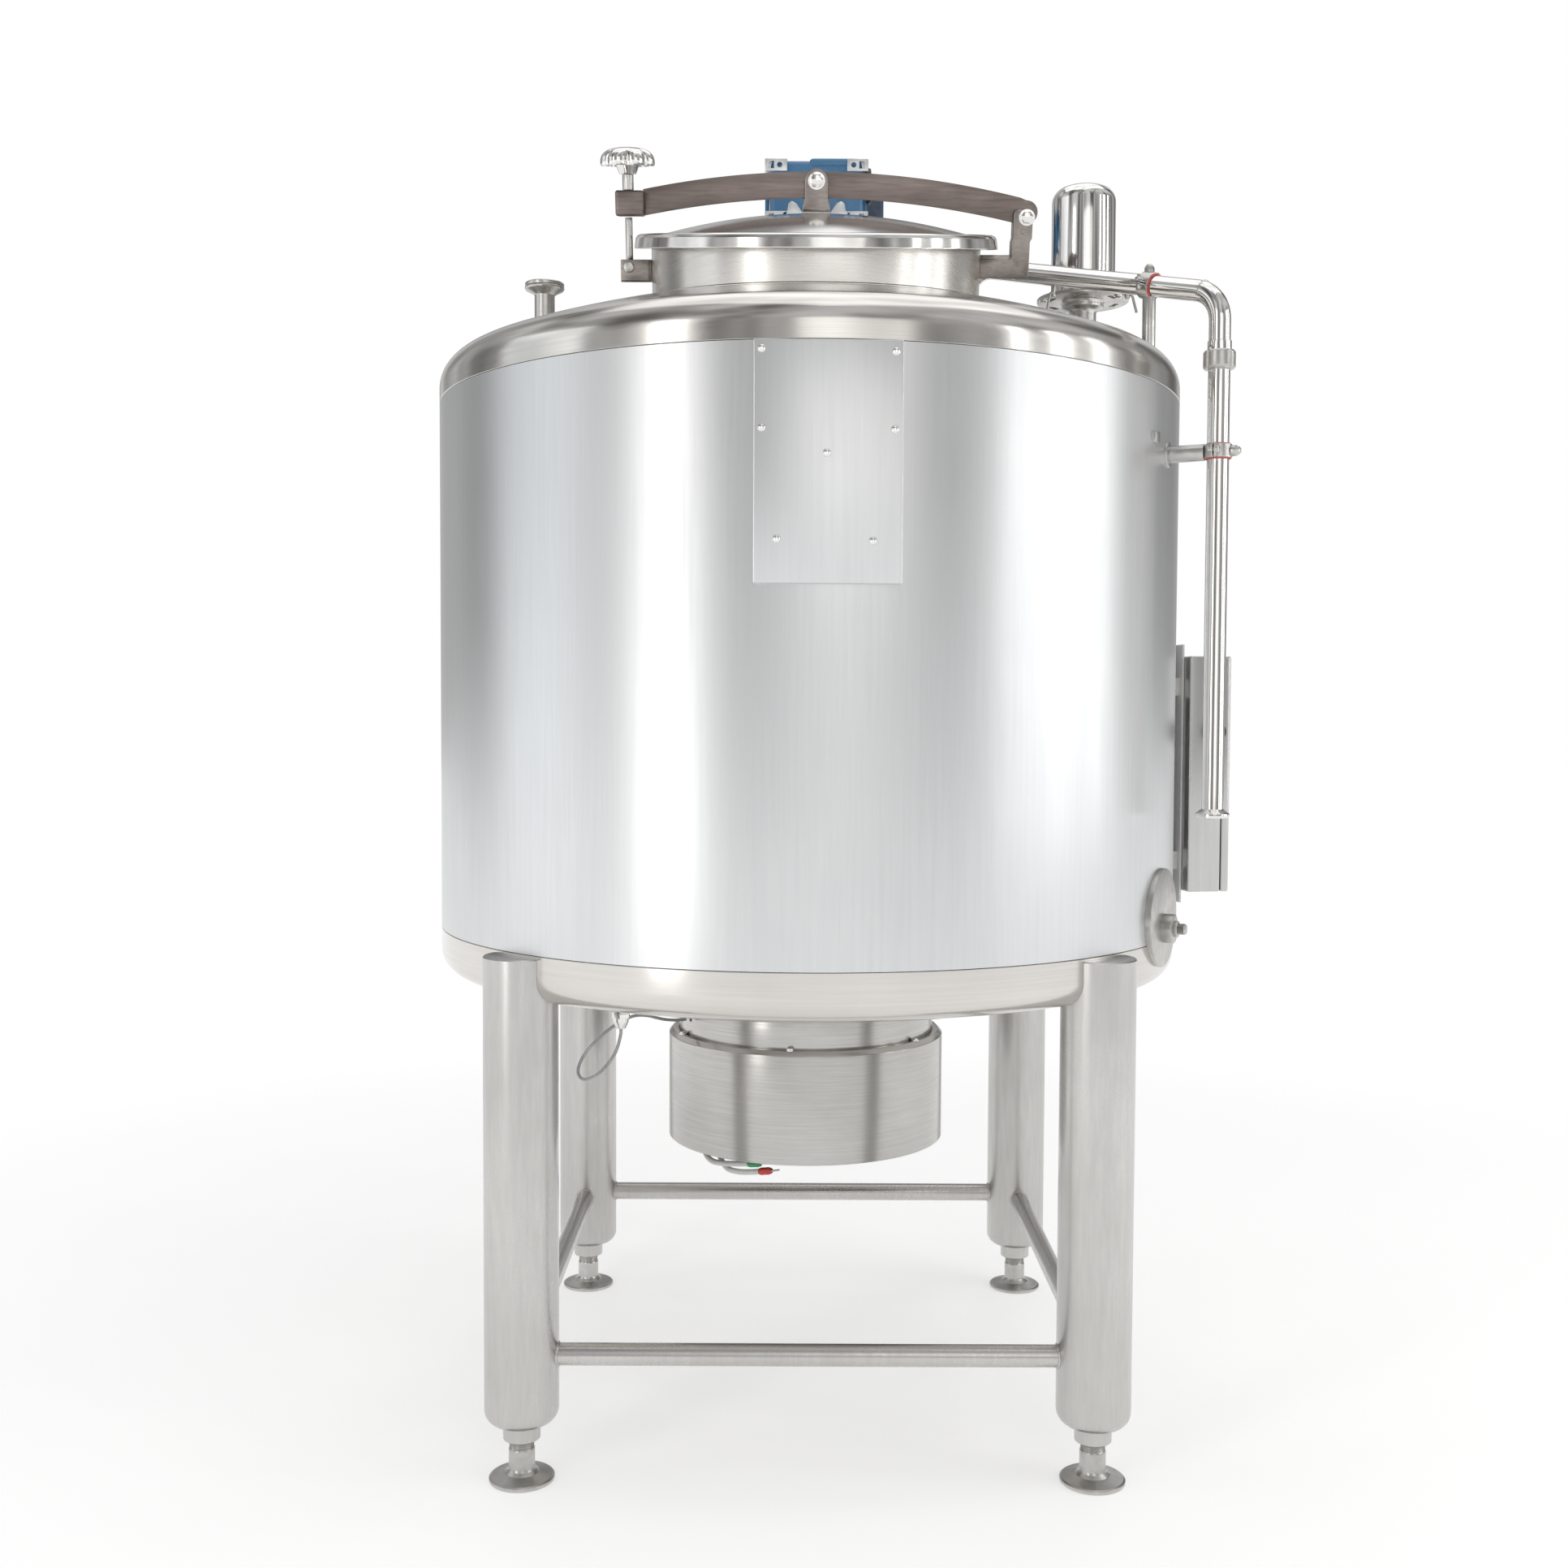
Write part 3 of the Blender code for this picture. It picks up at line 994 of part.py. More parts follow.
def make_front_plate(front, envelope):
    half, inner = PLATE_W / 2, PLATE_W / 2 - PLATE_SKIN
    back = TANK_R - 0.02
    plate = add("front_plate", box_mesh("front_plate", (-half, -PLATE_FACE, PLATE_LOW),
                                        (half, -back, PLATE_HIGH)), "shell", front)
    hollow = add("plate_hollow", box_mesh(
        "plate_hollow", (-inner, -PLATE_FACE + PLATE_SKIN, PLATE_LOW + PLATE_SKIN),
        (inner, -back + 0.02, PLATE_HIGH - PLATE_SKIN)), None, front)
    boolean(plate, hollow)
    boolean(plate, envelope)


def make_cabinet(cabinet, door_pivot, switch_pivot, envelope):
    half = CABINET_W / 2
    body_front = CABINET_FRONT - DOOR_THICK - GAP
    body = add("cabinet_body", box_mesh("cabinet_body", (CABINET_BACK, -half, CABINET_LOW),
                                        (body_front, half, CABINET_HIGH)), "cabinet", cabinet)
    inner = half - CABINET_SKIN
    hollow = add("cabinet_hollow", box_mesh(
        "cabinet_hollow", (CABINET_BACK + CABINET_SKIN, -inner, CABINET_LOW + CABINET_SKIN),
        (body_front + 0.05, inner, CABINET_HIGH - CABINET_SKIN)), None, cabinet)
    spindle = add("switch_hole", rods_mesh("switch_hole", [
        ((SWITCH_OUT, -half - 0.02, SWITCH_Z), (SWITCH_OUT, -half + 0.02, SWITCH_Z), SWITCH_HOLE_R, 12)]),
        None, cabinet)
    boolean(body, hollow)
    boolean(body, spindle)
    door = add("cabinet_door", box_mesh("cabinet_door", (0, -CABINET_W, CABINET_LOW),
                                        (DOOR_THICK, 0, CABINET_HIGH)), "cabinet", door_pivot)
    bevel(door, 0.0015, 1)

    inner = TANK_R - 0.04
    outer = CABINET_BACK - GAP
    plate_half, bar_half = half - MOUNT_INSET, half - MOUNT_BAR_INSET
    mount = add("cabinet_mount", box_mesh(
        "cabinet_mount", (outer - MOUNT_PLATE_T, -plate_half, CABINET_LOW - MOUNT_LAP),
        (outer, plate_half, CABINET_HIGH + MOUNT_LAP)), "steel", cabinet)
    for name, height in (("low", CABINET_LOW + 0.05), ("high", CABINET_HIGH - 0.05)):
        bar = add(f"mount_bar_{name}", box_mesh(
            f"mount_bar_{name}", (inner, -bar_half, height - MOUNT_BAR_HALF),
            (outer - MOUNT_PLATE_T / 2, bar_half, height + MOUNT_BAR_HALF)), None, cabinet)
        boolean(mount, bar, "UNION")
    boolean(mount, envelope)

    turned("isolator_knob", [(0, 0.032), (0.015, 0.032), (0.0175, 0.028), (0.0185, 0.004), (0.0185, 0.0005),
                             (0.005, 0.0005), (0.005, -0.010), (0, -0.010)], "black", switch_pivot,
           turn=(math.radians(90), 0, 0))


def make_port(port, envelope):
    disc = add("sample_port", rods_mesh("sample_port", [
        ((TANK_R - 0.02, 0, PORT_Z), (PORT_FACE, 0, PORT_Z), PORT_R, 32)]), "steel", port)
    boolean(disc, envelope)
    low = PORT_Z - PORT_HUB_DROP
    hub = add("port_hub", rods_mesh("port_hub", [
        ((PORT_FACE - 0.002, 0, low), (PORT_HUB_FACE, 0, low), PORT_HUB_R, 24)]), None, port)
    tip = add("port_tip", rods_mesh("port_tip", [
        ((PORT_HUB_FACE - 0.004, 0, low), (PORT_TIP, 0, low), PORT_TIP_R, 12)]), None, port)
    well = add("port_well", rods_mesh("port_well", [((WELL_END, 0, PORT_Z), (PORT_FACE - 0.002, 0, PORT_Z),
                                                     WELL_R, SMALL_ROUND)]), None, port)
    for piece in (hub, tip, well):
        boolean(disc, piece, "UNION")


# ---- Bottom fittings ------------------------------------------------------------


def make_shroud(tank, envelope):
    wall, chamfer = SHROUD_WALL, SHROUD_CHAMFER
    inner = SKIRT_R + GAP
    shroud = turned("shroud", [(inner, SHROUD_HIGH), (SHROUD_R - chamfer, SHROUD_HIGH),
                               (SHROUD_R, SHROUD_HIGH - chamfer), (SHROUD_R, SHROUD_LOW),
                               (SHROUD_R - wall, SHROUD_LOW),
                               (SHROUD_R - wall, SHROUD_HIGH - chamfer - wall / 2),
                               (SHROUD_R - chamfer - wall / 2, SHROUD_HIGH - wall),
                               (inner, SHROUD_HIGH - wall)], "brushed", tank, facets=ROUND, ring=True)
    way = add("outlet_way", rods_mesh("outlet_way", [
        ((0, SHROUD_R - 0.05, OUTLET_Z), (0, SHROUD_R + 0.05, OUTLET_Z), OUTLET_R + 0.003, SMALL_ROUND)]),
        None, tank)
    boolean(shroud, way)
    skirt = turned("skirt_ring", [(SKIRT_R - wall, SHELL_BOTTOM), (SKIRT_R, SHELL_BOTTOM),
                                  (SKIRT_R, SKIRT_LOW), (SKIRT_R - wall, SKIRT_LOW)],
                   "brushed", tank, facets=ROUND, ring=True)
    last = Vector(SENSOR_ROUTE[-1]) + Vector((0, 0, BOTTOM_APEX))
    flat = Vector((last.x, last.y, 0)).normalized()
    entry = add("cable_entry", rods_mesh("cable_entry", [
        (last - flat * 0.03, last + flat * 0.04, ENTRY_R, 12)]), None, tank)
    boolean(skirt, envelope)
    boolean(skirt, entry)


def make_outlet(tank, valve_pivot, space):
    path = rounded_path([(0, 0, BOTTOM_APEX + INSULATION), (0, 0, OUTLET_Z), (0, OUTLET_END, OUTLET_Z)],
                        OUTLET_BEND)
    bore = OUTLET_R - OUTLET_WALL
    past = [path[0] + Vector((0, 0, 0.02))] + path[1:-1] + [path[-1] + Vector((0, 0.02, 0))]
    pipe = solid_tube("outlet_pipe", path, OUTLET_R, "steel", tank, resolution=4)
    boolean(pipe, solid_tube("outlet_bore", past, bore, None, tank, resolution=4))
    boolean(pipe, space)

    flange, neck, middle = VALVE_R - 0.006, VALVE_R - 0.012, VALVE_LEN / 2
    body = turned("valve_body", [(bore, VALVE_LEN), (flange, VALVE_LEN), (flange, VALVE_LEN - 0.006),
                                 (neck, VALVE_LEN - 0.010), (VALVE_R - 0.010, middle + 0.010),
                                 (VALVE_R, middle + 0.008), (VALVE_R, middle - 0.008),
                                 (VALVE_R - 0.010, middle - 0.010), (neck, 0.010),
                                 (flange, 0.006), (flange, 0), (bore, 0)],
                  "polished", tank, (0, OUTLET_END + GAP, OUTLET_Z), (math.radians(-90), 0, 0), ring=True)
    way = add("stem_way", rods_mesh("stem_way", [
        ((0, 0, 0), (0, 0, 0.08), VALVE_STEM_R + PIVOT_CLEAR, 16)]), None, valve_pivot)
    boolean(body, way)
    spindle = add("valve_spindle", rods_mesh("valve_spindle", [
        ((0, -DISC_HALF, 0), (0, DISC_HALF, 0), bore - 0.0012, SMALL_ROUND)]), "steel", valve_pivot)
    stem = add("valve_stem", rods_mesh("valve_stem", [
        ((0, 0, bore - 0.006), (0, 0, HANDLE_RISE), VALVE_STEM_R, 16)]), None, valve_pivot)
    lever = add("valve_lever", box_mesh(
        "valve_lever", (-HANDLE_W / 2, -HANDLE_W / 2, HANDLE_RISE - HANDLE_T),
        (HANDLE_LEN, HANDLE_W / 2, HANDLE_RISE)), None, valve_pivot)
    boolean(spindle, stem, "UNION")
    boolean(spindle, lever, "UNION")


def make_cables(tank, crown):
    """Gland, heater terminals and cables; crown sits on the bottom head's lowest point."""
    top = belly_height(math.hypot(GLAND_X, GLAND_Y))
    turned("sensor_gland", [(0, top + 0.030), (GLAND_R, top + 0.030), (GLAND_R, top - 0.002),
                            (GLAND_R + 0.003, top - 0.004), (GLAND_R + 0.003, top - 0.016),
                            (GLAND_R - 0.002, GLAND_LOW + 0.004), (GLAND_R - 0.004, GLAND_LOW),
                            (0, GLAND_LOW)], "steel", tank, (GLAND_X, GLAND_Y, 0), facets=16)
    tube("sensor_cable", smooth_route(SENSOR_ROUTE, 0.012), SENSOR_CABLE_R, "braid", crown, resolution=2)

    high = belly_height(0) - 0.004
    turned("heater_block", [(0, high), (HEATER_R, high), (HEATER_R, HEATER_LOW + 0.004),
                            (HEATER_R - 0.004, HEATER_LOW), (0, HEATER_LOW)], "black", tank,
           (HEATER_X, HEATER_Y, 0))
    for letter, route, finish in zip("ab", POWER_ROUTES, ("green", "red")):
        path = smooth_route(route, 0.016)
        tube(f"power_cable_{letter}", path, POWER_CABLE_R, "cable", crown, resolution=2)
        along = (path[-1] - path[-2]).normalized()
        start = path[-1] + along * GAP
        sleeve_end = start + along * LUG_SLEEVE_LEN
        lug = add(f"cable_lug_{letter}", rods_mesh(f"cable_lug_{letter}", [
            (start, sleeve_end, LUG_SLEEVE_R, 16)]), finish, crown)
        turn = along.to_track_quat("X", "Z").to_euler()
        blade = add(f"lug_blade_{letter}", box_mesh(
            f"lug_blade_{letter}", (-0.004, -LUG_BLADE_W / 2, -LUG_BLADE_T / 2),
            (LUG_BLADE_LEN, LUG_BLADE_W / 2, LUG_BLADE_T / 2)), None, crown, sleeve_end, turn)
        boolean(lug, blade, "UNION")


def stand_on_origin(tank):
    """Move the tank so that its whole box is centred over the origin."""
    graph = bpy.context.evaluated_depsgraph_get()
    corners = []
    for piece in scene.collection.objects:
        if piece.type != "EMPTY" and not piece.name.startswith(("power_", "cable_", "sensor_cable")):
            mesh = piece.evaluated_get(graph).to_mesh()
            corners += [piece.matrix_world @ vertex.co for vertex in mesh.vertices]
            piece.evaluated_get(graph).to_mesh_clear()
    tank.location.x = -(min(c.x for c in corners) + max(c.x for c in corners)) / 2
    tank.location.y = -(min(c.y for c in corners) + max(c.y for c in corners)) / 2


tank_frame = pivot("tank", None)
manway_frame = pivot("manway", tank_frame, MANWAY_AT, (MANWAY_TILT, 0, 0))
hinge_seat = (-HINGE_X, 0, -HINGE_H)
bar_frame = pivot("bar_hinge", manway_frame, (HINGE_X, 0, HINGE_H))
lid_frame = pivot("lid_pivot", bar_frame, (-HINGE_X, 0, LUG_H - HINGE_H))
swing_frame = pivot("bolt_swing", manway_frame, (BOLT_X, 0, PIN_H))
rise_frame = pivot("knob_rise", bar_frame, (BOLT_X - HINGE_X, 0, FORK_HIGH + GAP - HINGE_H))
spin_frame = pivot("knob_spin", rise_frame, (0, 0, KNOB_LOW - FORK_HIGH - GAP))
agitator_frame = pivot("agitator_turn", tank_frame, (DRIVE_X, DRIVE_Y, 0))
front_frame = pivot("front", tank_frame, turn=(0, 0, PLATE_TURN))
cabinet_frame = pivot("cabinet", tank_frame, turn=(0, 0, CABINET_TURN))
door_frame = pivot("door_hinge", cabinet_frame, (CABINET_FRONT - DOOR_THICK, CABINET_W / 2, 0))
switch_frame = pivot("switch_turn", cabinet_frame, (SWITCH_OUT, -CABINET_W / 2, SWITCH_Z))
port_frame = pivot("port", tank_frame, turn=(0, 0, PORT_TURN))
valve_frame = pivot("valve_turn", tank_frame, (0, OUTLET_END + GAP + VALVE_LEN / 2, OUTLET_Z))

tank_envelope, vessel_space, all_bores = make_cutters(tank_frame, port_frame)
make_vessel(tank_frame, vessel_space, all_bores)
make_collar(manway_frame, vessel_space)
make_lid(lid_frame, (0, 0, -LUG_H))
make_bar(bar_frame, hinge_seat)
make_hinge_bracket(manway_frame)
make_clamp(manway_frame, swing_frame, rise_frame, spin_frame)
make_drive(tank_frame, agitator_frame, vessel_space)
make_breather(tank_frame, vessel_space)
make_inlet(tank_frame, vessel_space)
make_pipes(tank_frame)
make_pipe_supports(tank_frame, tank_envelope)
make_stand(tank_frame, tank_envelope)
make_front_plate(front_frame, tank_envelope)
make_cabinet(cabinet_frame, door_frame, switch_frame, tank_envelope)
make_port(port_frame, tank_envelope)
make_shroud(tank_frame, tank_envelope)
make_outlet(tank_frame, valve_frame, vessel_space)
make_cables(tank_frame, pivot("bottom_crown", tank_frame, (0, 0, BOTTOM_APEX)))
bpy.context.view_layer.update()
stand_on_origin(tank_frame)
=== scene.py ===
import math
import bmesh
import bpy
from mathutils import Matrix, Vector


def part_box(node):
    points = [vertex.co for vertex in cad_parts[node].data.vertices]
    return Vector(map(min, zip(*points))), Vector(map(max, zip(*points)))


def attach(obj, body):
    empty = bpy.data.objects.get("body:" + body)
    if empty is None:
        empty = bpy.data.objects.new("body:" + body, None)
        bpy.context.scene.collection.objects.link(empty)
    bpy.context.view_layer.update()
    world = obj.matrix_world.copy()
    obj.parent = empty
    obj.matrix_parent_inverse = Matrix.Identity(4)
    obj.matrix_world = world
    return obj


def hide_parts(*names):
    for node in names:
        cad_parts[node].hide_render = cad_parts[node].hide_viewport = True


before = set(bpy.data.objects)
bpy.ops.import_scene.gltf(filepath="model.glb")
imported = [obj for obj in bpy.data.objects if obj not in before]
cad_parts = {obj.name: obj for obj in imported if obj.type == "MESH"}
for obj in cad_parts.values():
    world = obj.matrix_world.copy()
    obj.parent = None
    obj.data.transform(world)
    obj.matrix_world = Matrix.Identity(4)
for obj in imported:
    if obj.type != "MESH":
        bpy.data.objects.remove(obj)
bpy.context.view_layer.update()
scene = bpy.context.scene

shellLow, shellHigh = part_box("outer_shell")
tankX = (shellLow[0] + shellHigh[0]) / 2
tankY = (shellLow[1] + shellHigh[1]) / 2
tankRadius = (shellHigh[0] - shellLow[0]) / 2
tankPlace = Matrix.Translation((tankX, tankY, 0))
manwayPlace = tankPlace @ Matrix.Translation((0.007, -0.215, 1.821)) @ Matrix.Rotation(math.radians(15), 4,
                                                                                       "X")


def turnTo(direction, side="Y"):
    return direction.to_track_quat("Z", side).to_matrix().to_4x4()


def onTank(x, y, z):
    return (tankX + x, tankY + y, z)


# camera: level with the middle of the shell, looking slightly down
cameraSetup = {"place": (-0.038, -2.810, 1.1167), "pitch": 2.49, "roll": 0.25, "lens": 38.53}
cameraData = bpy.data.cameras.new("camera")
cameraData.lens = cameraSetup["lens"]
cameraData.sensor_width = 36
camera = bpy.data.objects.new("camera", cameraData)
scene.collection.objects.link(camera)
camera.matrix_world = (Matrix.Translation(onTank(*cameraSetup["place"]))
                       @ Matrix.Rotation(math.radians(90 - cameraSetup["pitch"]), 4, "X")
                       @ Matrix.Rotation(math.radians(cameraSetup["roll"]), 4, "Z"))
scene.camera = camera
print("camera set")

# ---------- shapes ----------


def facesOutward(bm):
    bmesh.ops.recalc_face_normals(bm, faces=bm.faces)
    return bm


def softenCorners(points, radius, closed=False, steps=3):
    # each corner of a profile becomes a short arc
    count = len(points)
    result = []
    for i, point in enumerate(points):
        if not closed and i in (0, count - 1):
            result.append(Vector(point))
            continue
        here = Vector(point)
        back = Vector(points[i - 1]) - here
        ahead = Vector(points[(i + 1) % count]) - here
        if back.length < 1e-6 or ahead.length < 1e-6 or back.angle(ahead) > math.radians(165):
            result.append(here)
            continue
        reach = min(radius, back.length * 0.45, ahead.length * 0.45)
        start, end = here + back.normalized() * reach, here + ahead.normalized() * reach
        for step in range(steps + 1):
            t = step / steps
            result.append(start.lerp(here, t).lerp(here.lerp(end, t), t))
    return result


def lathe(profile, place=None, segments=96, closed=False, soften=0.0008, wave=None):
    # turns (radius, height) points about Z; wave(angle) adds to the radius
    points = softenCorners(profile, soften, closed) if soften else [Vector(p) for p in profile]
    bm = bmesh.new()
    rows = []
    for radius, height in points:
        if radius < 1e-6:
            rows.append([bm.verts.new((0, 0, height))])
            continue
        row = []
        for i in range(segments):
            angle = math.tau * i / segments
            reach = radius + (wave(angle, height) if wave else 0)
            row.append(bm.verts.new((reach * math.cos(angle), reach * math.sin(angle), height)))
        rows.append(row)
    pairs = list(zip(rows, rows[1:])) + ([(rows[-1], rows[0])] if closed else [])
    for a, b in pairs:
        for i in range(segments):
            j = (i + 1) % segments
            if len(a) == 1 and len(b) == 1:
                continue
            if len(a) == 1:
                bm.faces.new((a[0], b[i], b[j]))
            elif len(b) == 1:
                bm.faces.new((a[i], b[0], a[j]))
            else:
                bm.faces.new((a[i], b[i], b[j], a[j]))
    facesOutward(bm)
    if place is not None:
        bmesh.ops.transform(bm, matrix=place, verts=bm.verts)
    return bm


def bevelEdges(bm, width, segments=2, limit=30):
    sharp = [e for e in bm.edges if len(e.link_faces) == 2 and e.calc_face_angle(0) > math.radians(limit)]
    if width and sharp:
        bmesh.ops.bevel(bm, geom=sharp, offset=width, segments=segments, profile=0.5, affect="EDGES",
                        clamp_overlap=True)
    return bm


def boxShape(low, high, place=None, bevel=0.001, segments=2):
    bm = bmesh.new()
    bmesh.ops.create_cube(bm, size=1)
    bmesh.ops.scale(bm, vec=Vector(high) - Vector(low), verts=bm.verts)
    bmesh.ops.translate(bm, vec=(Vector(high) + Vector(low)) / 2, verts=bm.verts)
    bevelEdges(bm, bevel, segments)
    if place is not None:
        bmesh.ops.transform(bm, matrix=place, verts=bm.verts)
    return bm


def rodShape(start, end, radius, place=None, segments=32, bevel=0.0005, endRadius=None):
    along = Vector(end) - Vector(start)
    bm = bmesh.new()
    bmesh.ops.create_cone(bm, cap_ends=True, segments=segments, radius1=radius, depth=along.length,
                          radius2=radius if endRadius is None else endRadius)
    bevelEdges(bm, bevel, 2, 40 if segments > 8 else 25)
    turn = along.to_track_quat("Z", "Y").to_matrix().to_4x4()
    bmesh.ops.transform(bm, matrix=Matrix.Translation((Vector(start) + Vector(end)) / 2) @ turn,
                        verts=bm.verts)
    if place is not None:
        bmesh.ops.transform(bm, matrix=place, verts=bm.verts)
    return bm


def plateShape(outline, low, high, place=None, bevel=0.0008):
    # an outline in X and Z, thick from y = low to y = high
    bm = bmesh.new()
    face = bm.faces.new([bm.verts.new((x, low, z)) for x, z in outline])
    grown = bmesh.ops.extrude_face_region(bm, geom=[face])
    moved = [item for item in grown["geom"] if isinstance(item, bmesh.types.BMVert)]
    bmesh.ops.translate(bm, vec=(0, high - low, 0), verts=moved)
    facesOutward(bm)
    bevelEdges(bm, bevel, 2, 30)
    if place is not None:
        bmesh.ops.transform(bm, matrix=place, verts=bm.verts)
    return bm


def pathFrames(path, closed=False):
    # directions across a path that don't twist along it
    count = len(path)
    frames = []
    side = None
    for i in range(count):
        if closed:
            ahead = (path[(i + 1) % count] - path[i - 1]).normalized()
        else:
            ahead = (path[min(i + 1, count - 1)] - path[max(i - 1, 0)]).normalized()
        if side is None:
            side = ahead.orthogonal().normalized()
        side = (side - ahead * side.dot(ahead)).normalized()
        frames.append((side, ahead.cross(side)))
    return frames


def tubeShape(path, radius, segments=24, closed=False, place=None, caps=True):
    path = [Vector(p) for p in path]
    bm = bmesh.new()
    uv = bm.loops.layers.uv.new("along")
    rows, walked = [], 0.0
    lengths = []
    for i, (point, (side, up)) in enumerate(zip(path, pathFrames(path, closed))):
        if i:
            walked += (point - path[i - 1]).length
        lengths.append(walked)
        rows.append([bm.verts.new(point + side * radius * math.cos(a) + up * radius * math.sin(a))
                     for a in [math.tau * k / segments for k in range(segments)]])
    spans = [(i, i + 1) for i in range(len(rows) - 1)] + ([(len(rows) - 1, 0)] if closed else [])
    for i, j in spans:
        for k in range(segments):
            m = (k + 1) % segments
            face = bm.faces.new((rows[i][k], rows[i][m], rows[j][m], rows[j][k]))
            for loop, (v, u) in zip(face.loops, ((lengths[i], k), (lengths[i], k + 1), (lengths[j], k + 1),
                                                 (lengths[j], k))):
                loop[uv].uv = (u / segments, v)
    if caps and not closed:
        bm.faces.new(rows[0])
        bm.faces.new(rows[-1])
    facesOutward(bm)
    if place is not None:
        bmesh.ops.transform(bm, matrix=place, verts=bm.verts)
    return bm


def hexHead(place, radius, height, washer=1.25):
    # a hexagon head with a chamfered top, on its washer
    bm = lathe([(0, height), (radius * 0.80, height), (radius, height * 0.86), (radius, height * 0.12),
                (radius * 0.9, 0), (0, 0)], None, 6, soften=0)
    turn = bmesh.new()
    temp = bpy.data.meshes.new("temp")
    bm.to_mesh(temp)
    turn.from_mesh(temp)
    ring = lathe([(0, 0.0012), (radius * washer, 0.0012), (radius * washer, -0.0008), (0, -0.0008)], None, 24,
                 soften=0.0003)
    ring.to_mesh(temp)
    turn.from_mesh(temp)
    bpy.data.meshes.remove(temp)
    bmesh.ops.transform(turn, matrix=place, verts=turn.verts)
    return turn


def roundedPath(corners, radius, steps=10):
    corners = [Vector(corner) for corner in corners]
    path = [corners[0]]
    for before, corner, after in zip(corners, corners[1:], corners[2:]):
        back, ahead = (before - corner).normalized(), (after - corner).normalized()
        half = back.angle(ahead) / 2
        middle = corner + (back + ahead).normalized() * radius / math.sin(half)
        first = corner + back * radius / math.tan(half) - middle
        last = corner + ahead * radius / math.tan(half) - middle
        sweep = first.angle(last)
        for i in range(steps + 1):
            t = i / steps
            path.append(middle + (first * math.sin(sweep * (1 - t))
                                  + last * math.sin(sweep * t)) / math.sin(sweep))
    path.append(corners[-1])
    return path


def makePiece(name, shapes, material, body="root", stands=(), smooth=35):
    bm = bmesh.new()
    temp = bpy.data.meshes.new("temp")
    for shape in shapes:
        shape.to_mesh(temp)
        bm.from_mesh(temp)
        shape.free()
    mesh = bpy.data.meshes.new(name)
    bm.to_mesh(mesh)
    bm.free()
    bpy.data.meshes.remove(temp)
    mesh.shade_smooth()
    mesh.set_sharp_from_angle(angle=math.radians(smooth))
    mesh.materials.append(material)
    piece = bpy.data.objects.new(name, mesh)
    scene.collection.objects.link(piece)
    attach(piece, body)
    if stands:
        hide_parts(*stands)
    return piece


def cutShape(shape, cutter):
    # takes cutter out of shape, both bmesh
    meshes, objects = [], []
    for bm in (shape, cutter):
        mesh = bpy.data.meshes.new("cutting")
        bm.to_mesh(mesh)
        bm.free()
        temp = bpy.data.objects.new("cutting", mesh)
        scene.collection.objects.link(temp)
        meshes.append(mesh)
        objects.append(temp)
    step = objects[0].modifiers.new("cut", "BOOLEAN")
    step.solver = "EXACT"
    step.object = objects[1]
    bpy.context.view_layer.update()
    done = bpy.data.meshes.new_from_object(objects[0].evaluated_get(bpy.context.evaluated_depsgraph_get()))
    result = bmesh.new()
    result.from_mesh(done)
    for temp in objects:
        bpy.data.objects.remove(temp, do_unlink=True)
    for mesh in meshes + [done]:
        bpy.data.meshes.remove(mesh)
    return result


# ---------- materials ----------


def socketIn(tree, name, kind, default=None):
    made = tree.interface.new_socket(name, in_out="INPUT", socket_type=kind)
    if default is not None:
        made.default_value = default
    return made


def addNode(tree, kind, *sources, operation=None, **settings):
    # sources fill the node's inputs in turn, by a link or a value; None leaves one as it is
    made = tree.nodes.new(kind)
    if operation:
        made.operation = operation
    for socket, source in zip(made.inputs, sources):
        if isinstance(source, bpy.types.NodeSocket):
            tree.links.new(source, socket)
        elif source is not None:
            socket.default_value = source
    for name, value in settings.items():
        made.inputs[name].default_value = value
    return made


